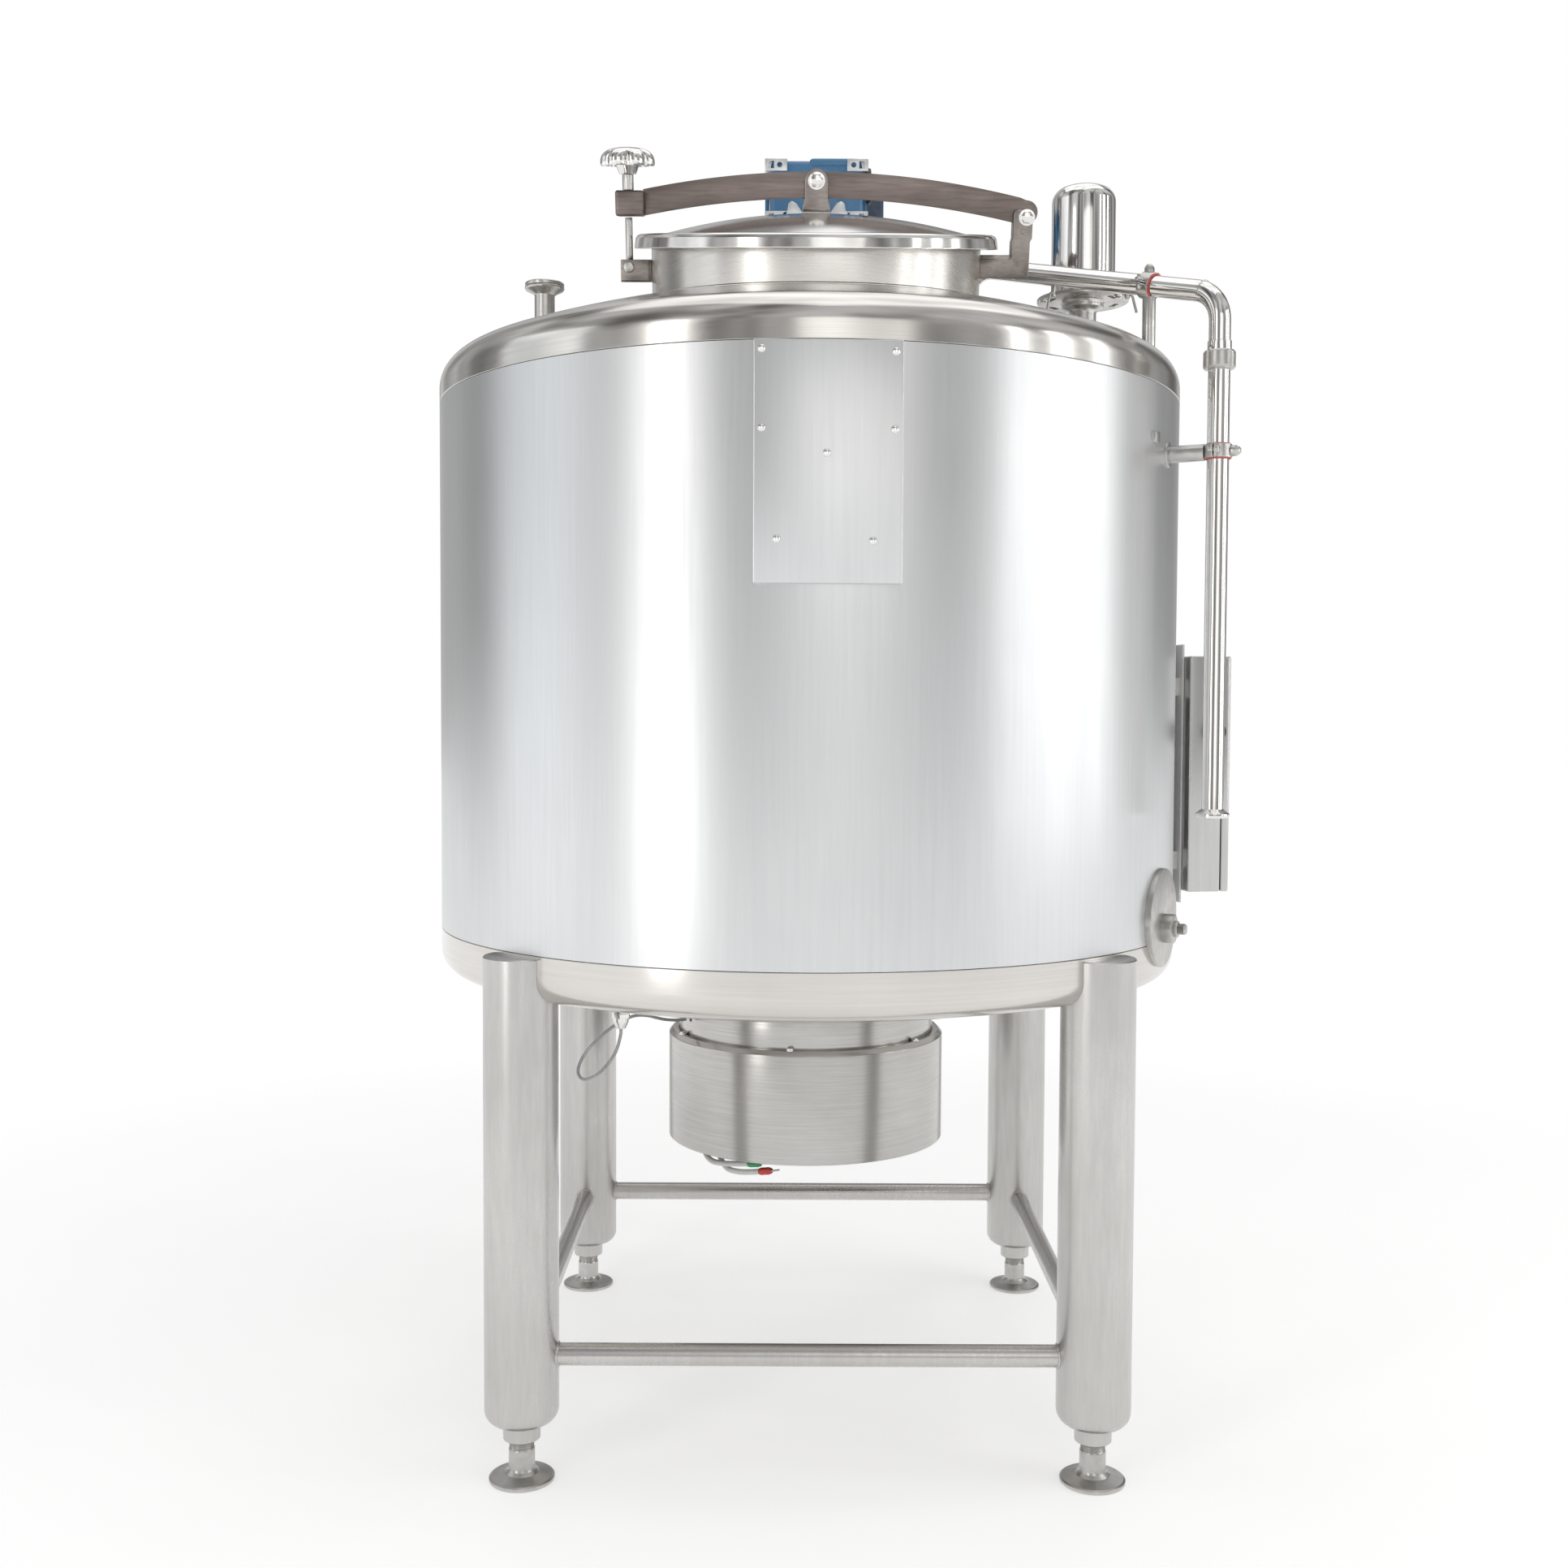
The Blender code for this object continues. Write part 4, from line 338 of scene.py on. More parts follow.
def buildMetalSurface():
    # fine grain over slow smudges, as colour, roughness and height
    tree = bpy.data.node_groups.new("metalSurface", "ShaderNodeTree")
    socketIn(tree, "Pattern", "NodeSocketVector")
    socketIn(tree, "Smudge Size", "NodeSocketFloat", 3.0)
    socketIn(tree, "Light", "NodeSocketColor", (0.8, 0.8, 0.8, 1))
    socketIn(tree, "Dark", "NodeSocketColor", (0.6, 0.6, 0.6, 1))
    socketIn(tree, "Rough Low", "NodeSocketFloat", 0.2)
    socketIn(tree, "Rough High", "NodeSocketFloat", 0.4)
    for name, kind in (("Colour", "NodeSocketColor"), ("Roughness", "NodeSocketFloat"),
                       ("Height", "NodeSocketFloat")):
        tree.interface.new_socket(name, in_out="OUTPUT", socket_type=kind)
    start, end = tree.nodes.new("NodeGroupInput").outputs, tree.nodes.new("NodeGroupOutput").inputs
    coords = addNode(tree, "ShaderNodeTexCoord")
    grain = addNode(tree, "ShaderNodeTexNoise", start["Pattern"], None, 1, 5, 0.62)
    smudge = addNode(tree, "ShaderNodeTexNoise", coords.outputs["Object"], None, start["Smudge Size"], 4,
                     0.55)
    half = addNode(tree, "ShaderNodeMath", smudge.outputs["Fac"], 0.55, operation="MULTIPLY")
    blend = addNode(tree, "ShaderNodeMath", grain.outputs["Fac"], 0.45, half.outputs[0],
                    operation="MULTIPLY_ADD")
    spread = addNode(tree, "ShaderNodeMapRange", blend.outputs[0], 0.32, 0.68)
    mix = tree.nodes.new("ShaderNodeMix")
    mix.data_type = "RGBA"
    for source, socket in ((spread.outputs["Result"], mix.inputs["Factor"]), (start["Dark"], mix.inputs[6]),
                           (start["Light"], mix.inputs[7])):
        tree.links.new(source, socket)
    rough = addNode(tree, "ShaderNodeMapRange", spread.outputs["Result"], None, None, start["Rough High"],
                    start["Rough Low"])
    tree.links.new(mix.outputs[2], end["Colour"])
    tree.links.new(rough.outputs["Result"], end["Roughness"])
    tree.links.new(grain.outputs["Fac"], end["Height"])
    return tree


def buildRingPattern():
    # pattern coordinates that run round an upright axis, for turned and polished faces
    tree = bpy.data.node_groups.new("ringPattern", "ShaderNodeTree")
    socketIn(tree, "Centre", "NodeSocketVector")
    socketIn(tree, "Rings", "NodeSocketFloat", 150.0)
    socketIn(tree, "Round", "NodeSocketFloat", 2.0)
    tree.interface.new_socket("Pattern", in_out="OUTPUT", socket_type="NodeSocketVector")
    start, end = tree.nodes.new("NodeGroupInput").outputs, tree.nodes.new("NodeGroupOutput").inputs
    coords = addNode(tree, "ShaderNodeTexCoord")
    away = addNode(tree, "ShaderNodeVectorMath", coords.outputs["Object"], start["Centre"],
                   operation="SUBTRACT")
    parts = addNode(tree, "ShaderNodeSeparateXYZ", away.outputs[0])
    flat = addNode(tree, "ShaderNodeCombineXYZ", parts.outputs["X"], parts.outputs["Y"])
    radius = addNode(tree, "ShaderNodeVectorMath", flat.outputs[0], operation="LENGTH")
    around = addNode(tree, "ShaderNodeVectorMath", flat.outputs[0], operation="NORMALIZE")
    spin = addNode(tree, "ShaderNodeVectorMath", around.outputs[0], None, None, start["Round"],
                   operation="SCALE")
    total = addNode(tree, "ShaderNodeMath", radius.outputs["Value"], parts.outputs["Z"], operation="ADD")
    rings = addNode(tree, "ShaderNodeMath", total.outputs[0], start["Rings"], operation="MULTIPLY")
    lift = addNode(tree, "ShaderNodeCombineXYZ", None, None, rings.outputs[0])
    both = addNode(tree, "ShaderNodeVectorMath", spin.outputs[0], lift.outputs[0], operation="ADD")
    tree.links.new(both.outputs[0], end["Pattern"])
    return tree


metalSurface = buildMetalSurface()
ringPattern = buildRingPattern()


def newMaterial(name, settings):
    # settings: light, dark, rough (low, high), grain (x, y, z) or rings, bump, metallic, coat
    material = bpy.data.materials.new(name)
    material.use_nodes = True
    nodes, links = material.node_tree.nodes, material.node_tree.links
    shader = nodes["Principled BSDF"]
    surface = nodes.new("ShaderNodeGroup")
    surface.node_tree = metalSurface
    surface.inputs["Light"].default_value = (*settings["light"], 1)
    surface.inputs["Dark"].default_value = (*settings["dark"], 1)
    surface.inputs["Rough Low"].default_value = settings["rough"][0]
    surface.inputs["Rough High"].default_value = settings["rough"][1]
    surface.inputs["Smudge Size"].default_value = settings.get("smudge", 3.0)
    if "rings" in settings:
        pattern = nodes.new("ShaderNodeGroup")
        pattern.node_tree = ringPattern
        pattern.inputs["Centre"].default_value = settings.get("centre", (tankX, tankY, 0))
        pattern.inputs["Rings"].default_value = settings["rings"]
        links.new(pattern.outputs["Pattern"], surface.inputs["Pattern"])
    else:
        coords = nodes.new("ShaderNodeTexCoord")
        scale = nodes.new("ShaderNodeMapping")
        scale.inputs["Scale"].default_value = settings["grain"]
        links.new(coords.outputs["Object"], scale.inputs["Vector"])
        links.new(scale.outputs["Vector"], surface.inputs["Pattern"])
    links.new(surface.outputs["Colour"], shader.inputs["Base Color"])
    links.new(surface.outputs["Roughness"], shader.inputs["Roughness"])
    if settings.get("bump"):
        bump = nodes.new("ShaderNodeBump")
        bump.inputs["Strength"].default_value = settings["bump"]
        bump.inputs["Distance"].default_value = settings.get("depth", 0.0004)
        links.new(surface.outputs["Height"], bump.inputs["Height"])
        links.new(bump.outputs["Normal"], shader.inputs["Normal"])
    shader.inputs["Metallic"].default_value = settings.get("metallic", 1.0)
    shader.inputs["Coat Weight"].default_value = settings.get("coat", 0.0)
    return material


shellSteel = newMaterial("shellSteel", {"light": (0.76, 0.77, 0.775), "dark": (0.68, 0.69, 0.70),
                                        "rough": (0.30, 0.38),
                                        "grain": (160, 160, 5), "bump": 0.06, "smudge": 2.2})
headSteel = newMaterial("headSteel", {"light": (0.73, 0.71, 0.68), "dark": (0.63, 0.61, 0.585),
                                      "rough": (0.13, 0.24),
                                      "rings": 260, "bump": 0.05, "smudge": 3.5})
lidSteel = newMaterial("lidSteel", {"light": (0.82, 0.81, 0.79), "dark": (0.72, 0.71, 0.69),
                                    "rough": (0.10, 0.18),
                                    "rings": 260, "bump": 0.03, "smudge": 4,
                                    "centre": tuple(manwayPlace.translation)})
collarSteel = newMaterial("collarSteel", {"light": (0.76, 0.74, 0.71), "dark": (0.64, 0.62, 0.59),
                                          "rough": (0.20, 0.34),
                                          "rings": 420, "bump": 0.10, "smudge": 5,
                                          "centre": tuple(manwayPlace.translation)})
plainSteel = newMaterial("plainSteel", {"light": (0.64, 0.63, 0.61), "dark": (0.48, 0.47, 0.45),
                                        "rough": (0.24, 0.40),
                                        "grain": (60, 60, 60), "bump": 0.03, "smudge": 9})
legSteel = newMaterial("legSteel", {"light": (0.62, 0.61, 0.595), "dark": (0.52, 0.51, 0.495),
                                    "rough": (0.24, 0.36),
                                    "grain": (150, 150, 14), "bump": 0.04, "smudge": 4})
mirrorSteel = newMaterial("mirrorSteel", {"light": (0.84, 0.83, 0.81), "dark": (0.76, 0.75, 0.73),
                                          "rough": (0.05, 0.12),
                                          "grain": (40, 40, 40), "bump": 0.01, "smudge": 7})
barSteel = newMaterial("barSteel", {"light": (0.27, 0.225, 0.21), "dark": (0.14, 0.115, 0.105),
                                    "rough": (0.26, 0.40),
                                    "grain": (16, 60, 240), "bump": 0.10, "smudge": 7})
bracketSteel = newMaterial("bracketSteel", {"light": (0.38, 0.345, 0.32), "dark": (0.22, 0.195, 0.18),
                                            "rough": (0.28, 0.42),
                                            "grain": (60, 60, 200), "bump": 0.10, "smudge": 16})
shroudSteel = newMaterial("shroudSteel", {"light": (0.56, 0.55, 0.53), "dark": (0.42, 0.41, 0.395),
                                          "rough": (0.16, 0.26),
                                          "rings": 320, "bump": 0.03, "smudge": 5})
insideSteel = newMaterial("insideSteel", {"light": (0.70, 0.70, 0.69), "dark": (0.60, 0.60, 0.59),
                                          "rough": (0.18, 0.28),
                                          "rings": 200, "bump": 0.04, "smudge": 3})
cabinetSteel = newMaterial("cabinetSteel", {"light": (0.60, 0.60, 0.595), "dark": (0.52, 0.52, 0.515),
                                            "rough": (0.24, 0.34),
                                            "grain": (180, 180, 5), "bump": 0.06, "smudge": 4})
paleZinc = newMaterial("paleZinc", {"light": (0.74, 0.74, 0.73), "dark": (0.60, 0.60, 0.59),
                                    "rough": (0.50, 0.65),
                                    "grain": (120, 120, 120), "bump": 0.08, "smudge": 18, "metallic": 0.25})
bluePaint = newMaterial("bluePaint", {"light": (0.085, 0.235, 0.42), "dark": (0.05, 0.165, 0.33),
                                      "rough": (0.32, 0.46),
                                      "grain": (240, 240, 240), "bump": 0.25, "depth": 0.0005, "smudge": 16,
                                      "metallic": 0.0, "coat": 0.2})
motorPaint = newMaterial("motorPaint", {"light": (0.075, 0.11, 0.17), "dark": (0.04, 0.06, 0.10),
                                        "rough": (0.36, 0.50),
                                        "grain": (240, 240, 240), "bump": 0.25, "smudge": 16, "metallic": 0.0,
                                        "coat": 0.1})
castAluminium = newMaterial("castAluminium", {"light": (0.86, 0.87, 0.88), "dark": (0.72, 0.73, 0.75),
                                              "rough": (0.32, 0.46),
                                              "grain": (260, 260, 260), "bump": 0.15, "smudge": 30})
blackPlastic = newMaterial("blackPlastic", {"light": (0.030, 0.030, 0.032), "dark": (0.014, 0.014, 0.015),
                                            "rough": (0.34, 0.50),
                                            "grain": (500, 500, 500), "bump": 0.10, "smudge": 20,
                                            "metallic": 0.0})
sealRubber = newMaterial("sealRubber", {"light": (0.78, 0.77, 0.74), "dark": (0.66, 0.65, 0.62),
                                        "rough": (0.55, 0.70),
                                        "grain": (300, 300, 300), "bump": 0.10, "smudge": 12,
                                        "metallic": 0.0})
redRubber = newMaterial("redRubber", {"light": (0.62, 0.13, 0.12), "dark": (0.42, 0.07, 0.07),
                                      "rough": (0.50, 0.66),
                                      "grain": (300, 300, 300), "bump": 0.10, "smudge": 20, "metallic": 0.0})
cableRubber = newMaterial("cableRubber", {"light": (0.66, 0.66, 0.64), "dark": (0.54, 0.54, 0.52),
                                          "rough": (0.45, 0.60),
                                          "grain": (400, 400, 400), "bump": 0.10, "smudge": 25,
                                          "metallic": 0.0})
greenSleeve = newMaterial("greenSleeve", {"light": (0.05, 0.34, 0.15), "dark": (0.03, 0.22, 0.09),
                                          "rough": (0.34, 0.48),
                                          "grain": (300, 300, 300), "bump": 0.15, "smudge": 30,
                                          "metallic": 0.0})
redSleeve = newMaterial("redSleeve", {"light": (0.60, 0.06, 0.05), "dark": (0.42, 0.035, 0.03),
                                      "rough": (0.34, 0.48),
                                      "grain": (300, 300, 300), "bump": 0.15, "smudge": 30, "metallic": 0.0})
print("materials made")

# ---------- cords ----------


def smoothRoute(points, perSpan=6):
    points = [Vector(point) for point in points]
    ends = [points[0] * 2 - points[1]] + points + [points[-1] * 2 - points[-2]]
    path = []
    for a, b, c, d in zip(ends, ends[1:], ends[2:], ends[3:]):
        for i in range(perSpan):
            t = i / perSpan
            path.append(0.5 * ((2 * b) + (c - a) * t + (2 * a - 5 * b + 4 * c - d) * t * t
                               + (3 * b - a - 3 * c + d) * t ** 3))
    path.append(points[-1])
    return path


braidSetup = {"strands": 9.0, "pitch": 260.0}


def braidMaterial():
    # crossing strands that follow the cable, from its own UV map
    material = newMaterial("braidSteel", {"light": (0.62, 0.62, 0.62), "dark": (0.36, 0.36, 0.37),
                                          "rough": (0.30, 0.46),
                                          "grain": (300, 300, 300), "smudge": 30})
    tree = material.node_tree
    uv = tree.nodes.new("ShaderNodeUVMap")
    uv.uv_map = "along"
    parts = addNode(tree, "ShaderNodeSeparateXYZ", uv.outputs[0])
    waves = []
    for sign in (1, -1):
        turn = addNode(tree, "ShaderNodeMath", parts.outputs["X"], sign * braidSetup["strands"] * math.tau,
                       operation="MULTIPLY")
        run = addNode(tree, "ShaderNodeMath", parts.outputs["Y"], braidSetup["pitch"] * math.tau,
                      turn.outputs[0], operation="MULTIPLY_ADD")
        waves.append(addNode(tree, "ShaderNodeMath", run.outputs[0], operation="SINE").outputs[0])
    weave = addNode(tree, "ShaderNodeMath", *waves, operation="MAXIMUM")
    bump = addNode(tree, "ShaderNodeBump", Strength=0.6, Distance=0.0004)
    tree.links.new(weave.outputs[0], bump.inputs["Height"])
    tree.links.new(bump.outputs["Normal"], tree.nodes["Principled BSDF"].inputs["Normal"])
    return material


sensorCable = {"radius": 0.0025, "route": [
    (-0.281, -0.310, 0.6397), (-0.282, -0.310, 0.628), (-0.290, -0.310, 0.602), (-0.308, -0.308, 0.577),
    (-0.327, -0.304, 0.563), (-0.342, -0.298, 0.561), (-0.348, -0.290, 0.573), (-0.338, -0.281, 0.596),
    (-0.315, -0.270, 0.620), (-0.290, -0.255, 0.638), (-0.268, -0.235, 0.645), (-0.250, -0.205, 0.640),
    (-0.237, -0.170, 0.630), (-0.226, -0.140, 0.622), (-0.211, -0.117, 0.617), (-0.196, -0.104, 0.616)]}
powerCables = {"radius": 0.0045, "routes": {
    "a": [(-0.120, -0.052, 0.5847), (-0.120, -0.052, 0.570), (-0.130, -0.064, 0.530), (-0.146, -0.085, 0.480),
          (-0.160, -0.108, 0.435), (-0.163, -0.128, 0.408), (-0.152, -0.146, 0.396), (-0.132, -0.160, 0.395),
          (-0.110, -0.173, 0.398), (-0.092, -0.183, 0.401)],
    "b": [(-0.099, -0.069, 0.5847), (-0.099, -0.069, 0.570), (-0.110, -0.079, 0.530), (-0.128, -0.096, 0.480),
          (-0.140, -0.114, 0.432), (-0.140, -0.130, 0.404), (-0.128, -0.146, 0.385), (-0.110, -0.160, 0.382),
          (-0.090, -0.174, 0.385), (-0.074, -0.185, 0.389)]}}
lugSetup = {"sleeveRadius": 0.0060, "sleeve": 0.0235, "ring": 0.0048, "hole": 0.0026, "thick": 0.0016,
            "reach": 0.0150}


def makeCableLug(letter, path, material):
    # heat-shrink sleeve, crimped barrel and ring tongue past the cable's end
    along = (path[-1] - path[-2]).normalized()
    turn = along.to_track_quat("X", "Z").to_matrix().to_4x4()
    place = Matrix.Translation(path[-1] + along * 0.0003) @ turn
    upright = place @ Matrix.Rotation(math.radians(90), 4, "Y")
    radius, length = lugSetup["sleeveRadius"], lugSetup["sleeve"]
    profile = [(0, 0), (radius * 0.86, 0), (radius, 0.004), (radius * 0.97, length * 0.5),
               (radius, length - 0.006),
               (radius * 0.72, length), (0, length)]
    sleeve = makePiece(f"lug_sleeve_{letter}", [lathe(profile, upright, 32)], material, "root",
                       (f"cable_lug_{letter}",))
    ring, thick = lugSetup["ring"], lugSetup["thick"]
    centre = length + lugSetup["reach"] - ring
    tongue = cutShape(rodShape((centre, 0, -thick / 2), (centre, 0, thick / 2), ring, place, 32, 0.0002),
                      rodShape((centre, 0, -0.01), (centre, 0, 0.01), lugSetup["hole"], place, 24, 0))
    barrel = boxShape((length - 0.004, -0.0034, -thick / 2), (centre - ring * 0.6, 0.0034, thick / 2), place,
                      0.0004)
    tip = makePiece(f"lug_ring_{letter}", [tongue, barrel], plainSteel, "root")
    return sleeve, tip


def makeCords():
    path = smoothRoute([onTank(*p) for p in sensorCable["route"]])
    cable = makePiece("sensor_cable_braid", [tubeShape(path, sensorCable["radius"], 16)], braidMaterial(),
                      "root",
                      ("sensor_cable",), 80)
    for letter, sleeveMaterial in (("a", greenSleeve), ("b", redSleeve)):
        path = smoothRoute([onTank(*p) for p in powerCables["routes"][letter]])
        cable = makePiece(f"power_cable_{letter}_jacket", [tubeShape(path, powerCables["radius"], 20)],
                          cableRubber, "root",
                          (f"power_cable_{letter}",), 80)
        lug = makeCableLug(letter, path, sleeveMaterial)


makeCords()
print("cords made")

# ---------- repeated pieces with geometry nodes ----------


def buildRepeat(name, radial):
    # puts a small piece on every point of a mesh, upright or turned away from the middle
    tree = bpy.data.node_groups.new(name, "GeometryNodeTree")
    socketIn(tree, "Points", "NodeSocketGeometry")
    socketIn(tree, "Piece", "NodeSocketObject")
    socketIn(tree, "Size", "NodeSocketFloat", 1.0)
    socketIn(tree, "Finish", "NodeSocketMaterial")
    tree.interface.new_socket("Result", in_out="OUTPUT", socket_type="NodeSocketGeometry")
    start, end = tree.nodes.new("NodeGroupInput").outputs, tree.nodes.new("NodeGroupOutput").inputs
    info = tree.nodes.new("GeometryNodeObjectInfo")
    tree.links.new(start["Piece"], info.inputs["Object"])
    spread = tree.nodes.new("GeometryNodeInstanceOnPoints")
    for source, name in ((start["Points"], "Points"), (info.outputs["Geometry"], "Instance"),
                         (start["Size"], "Scale")):
        tree.links.new(source, spread.inputs[name])
    if radial:
        where = tree.nodes.new("GeometryNodeInputPosition")
        flat = addNode(tree, "ShaderNodeVectorMath", where.outputs[0], (1, 1, 0), operation="MULTIPLY")
        face = tree.nodes.new("FunctionNodeAlignRotationToVector")
        face.axis = "X"
        tree.links.new(flat.outputs[0], face.inputs["Vector"])
        tree.links.new(face.outputs[0], spread.inputs["Rotation"])
    real = addNode(tree, "GeometryNodeRealizeInstances", spread.outputs[0])
    finish = tree.nodes.new("GeometryNodeSetMaterial")
    for source, socket in ((real.outputs[0], finish.inputs["Geometry"]),
                           (start["Finish"], finish.inputs["Material"]),
                           (finish.outputs[0], end["Result"])):
        tree.links.new(source, socket)
    return tree


repeatUpright = buildRepeat("repeatUpright", False)
repeatRadial = buildRepeat("repeatRadial", True)


def repeatPiece(name, shape, points, place, material, tree, body="root", smooth=35):
    mesh = bpy.data.meshes.new("unit")
    shape.to_mesh(mesh)
    shape.free()
    mesh.shade_smooth()
    mesh.set_sharp_from_angle(angle=math.radians(smooth))
    unit = bpy.data.objects.new("unit", mesh)
    cloud = bpy.data.meshes.new("points")
    cloud.from_pydata([tuple(p) for p in points], [], [])
    holder = bpy.data.objects.new("points", cloud)
    for temp in (unit, holder):
        scene.collection.objects.link(temp)
    step = holder.modifiers.new("repeat", "NODES")
    step.node_group = tree
    inputs = {item.name: item.identifier for item in tree.interface.items_tree if item.in_out == "INPUT"}
    step[inputs["Piece"]] = unit
    step[inputs["Size"]] = 1.0
    step[inputs["Finish"]] = material
    bpy.context.view_layer.update()
    done = bpy.data.meshes.new_from_object(holder.evaluated_get(bpy.context.evaluated_depsgraph_get()))
    done.name = name
    done.transform(place)
    if not done.materials:
        done.materials.append(material)
    for temp in (unit, holder):
        bpy.data.objects.remove(temp, do_unlink=True)
    piece = bpy.data.objects.new(name, done)
    scene.collection.objects.link(piece)
    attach(piece, body)
    return piece


def ringPoints(count, radius, height=0.0, start=0.0):
    return [(radius * math.cos(start + math.tau * i / count), radius * math.sin(start + math.tau * i / count),
             height)
            for i in range(count)]


def hexUnit(radius, height):
    return hexHead(Matrix.Identity(4), radius, height)


# ---------- vessel ----------

headShape = {"topTangent": 1.625, "topKnuckle": 0.050, "topCrown": 1.600, "bottomTangent": 0.735,
             "bottomKnuckle": 0.036, "bottomCrown": 2.600, "skin": 0.003, "insulation": 0.058,
             "vesselKnuckle": 0.050}


def headRise(radius, knuckle, crown):
    lean = math.asin((radius - knuckle) / (crown - knuckle))
    return knuckle * math.cos(lean) + crown * (1 - math.cos(lean))


def headProfile(radius, knuckle, crown, tangent, up, crownSteps=26, knuckleSteps=14):
    lean = math.asin((radius - knuckle) / (crown - knuckle))
    centre = (knuckle - crown) * math.cos(lean)
    points = [(crown * math.sin(lean * i / crownSteps), centre + crown * math.cos(lean * i / crownSteps))
              for i in range(crownSteps + 1)]
    for i in range(1, knuckleSteps + 1):
        angle = lean + (math.pi / 2 - lean) * i / knuckleSteps
        points.append((radius - knuckle + knuckle * math.sin(angle), knuckle * math.cos(angle)))
    return [(r, tangent + up * z) for r, z in points]


def headSkin(end, up, skin=0):
    return headProfile(tankRadius - skin, headShape[end + "Knuckle"] - skin, headShape[end + "Crown"] - skin,
                       headShape[end + "Tangent"], up)


topApex = headShape["topTangent"] + headRise(tankRadius, headShape["topKnuckle"], headShape["topCrown"])
bottomApex = headShape["bottomTangent"] - headRise(tankRadius, headShape["bottomKnuckle"],
                                                   headShape["bottomCrown"])


def domeHeight(radius):
    return topApex - headShape["topCrown"] + math.sqrt(headShape["topCrown"] ** 2 - radius ** 2)


def bellyHeight(radius):
    return bottomApex + headShape["bottomCrown"] - math.sqrt(headShape["bottomCrown"] ** 2 - radius ** 2)


def sheetWave(angle, height):
    # rolled sheet is never quite round, which draws soft upright bands
    slow = 0.00022 * math.sin(5 * angle + 0.7) + 0.00016 * math.sin(11 * angle
                                                                    + 2.1) + 0.00010 * math.sin(23 * angle
                                                                                                + 4.0)
    share = min(1, max(0, (height - shellLow[2]) / (shellHigh[2] - shellLow[2])))
    return slow * math.sin(math.pi * share) ** 0.5


def vesselRoom(shrink):
    skin, inset = headShape["skin"] * shrink, headShape["insulation"]
    radius = tankRadius - 0.002 - inset
    top, low = headShape["topCrown"] - inset, headShape["bottomCrown"] - inset
    knuckle = headShape["vesselKnuckle"]
    topTangent = topApex - inset - headRise(radius, knuckle, top)
    lowTangent = bottomApex + inset + headRise(radius, knuckle, low)
    upper = headProfile(radius - skin, knuckle - skin, top - skin, topTangent, 1, 14, 8)
    lower = headProfile(radius - skin, knuckle - skin, low - skin, lowTangent, -1, 14, 8)
    return upper + lower[::-1]


def manwayHole(radius=0.2502):
    return rodShape((0, 0, -0.30), (0, 0, 0.12), radius, manwayPlace, 128, 0)


def makeVessel():
    low, high = shellLow[2] + 0.0005, shellHigh[2] - 0.0005
    wall = [(tankRadius, high - (high - low) * i / 24) for i in range(25)]
    shell = lathe(wall + [(tankRadius - 0.0018, low), (tankRadius - 0.0018, high)], tankPlace, 360, True, 0,
                  sheetWave)
    makePiece("shell_sheet", [shell], shellSteel, "root", ("outer_shell",), 50)

    skin = headShape["skin"]
    rim = shellHigh[2] + 0.0004
    out, inside = headSkin("top", 1), headSkin("top", 1, skin)
    top = lathe(out + [(tankRadius, rim + 0.0008), (tankRadius - 0.0008, rim), (tankRadius - skin, rim)]
                + inside[::-1],
                tankPlace, 240, soften=0)
    makePiece("top_head_skin", [cutShape(top, manwayHole())], headSteel, "root", ("top_head",), 40)

    rim = shellLow[2] - 0.0004
    out, inside = headSkin("bottom", -1), headSkin("bottom", -1, skin)
    makePiece("bottom_head_skin", [lathe(inside + [(tankRadius - skin, rim), (tankRadius - 0.0008, rim),
                                                   (tankRadius, rim - 0.0008)] + out[::-1], tankPlace, 240,
                                         soften=0)],
              headSteel, "root", ("bottom_head",), 40)

    liner = cutShape(lathe(vesselRoom(0), tankPlace, 160, soften=0), lathe(vesselRoom(1), tankPlace, 160,
                                                                           soften=0))
    makePiece("vessel_liner", [cutShape(liner, manwayHole())], insideSteel, "root", ("inner_vessel",), 40)


makeVessel()
print("vessel made")

# ---------- manway ----------

collarSetup = {"radius": 0.250, "wall": 0.003, "top": 0.008, "depth": 0.150, "bead": 0.0022}


def makeCollar():
    radius, wall, top = collarSetup["radius"], collarSetup["wall"], collarSetup["top"]
    tube = lathe([(radius - wall, top), (radius, top), (radius, -collarSetup["depth"] - 0.07),
                  (radius - wall, -collarSetup["depth"] - 0.07)], manwayPlace, 192, True, 0.0008)
    makePiece("manway_collar_wall", [cutShape(tube, lathe(vesselRoom(1), tankPlace, 160, soften=0))],
              collarSteel, "root",
              ("manway_collar",), 40)
    # weld bead where the collar meets the dome
    seam = []
    for x, y, _ in ringPoints(160, 1.0):
        low, high = -0.2, 0.0
        for _ in range(24):
            middle = (low + high) / 2
            point = manwayPlace @ Vector((radius * x, radius * y, middle))
            if point.z > domeHeight(math.hypot(point.x - tankX, point.y - tankY)):
                high = middle
            else:
                low = middle
        seam.append(manwayPlace @ Vector(((radius + 0.0006) * x, (radius + 0.0006) * y, high)))
    makePiece("manway_weld", [tubeShape(seam, collarSetup["bead"], 10, True)], collarSteel)
    makePiece("manway_seal", [lathe([(0.2440, 0.0164), (0.2540, 0.0164), (0.2545, 0.0084), (0.2435, 0.0084)],
                                    manwayPlace,
                                    160, True, 0.0015)], sealRubber, "root", ("manway_gasket",))


lidSetup = {"radius": 0.2755, "rim": 0.020, "apex": 0.052, "crown": 0.236, "skin": 0.0025, "flat": 0.0170}


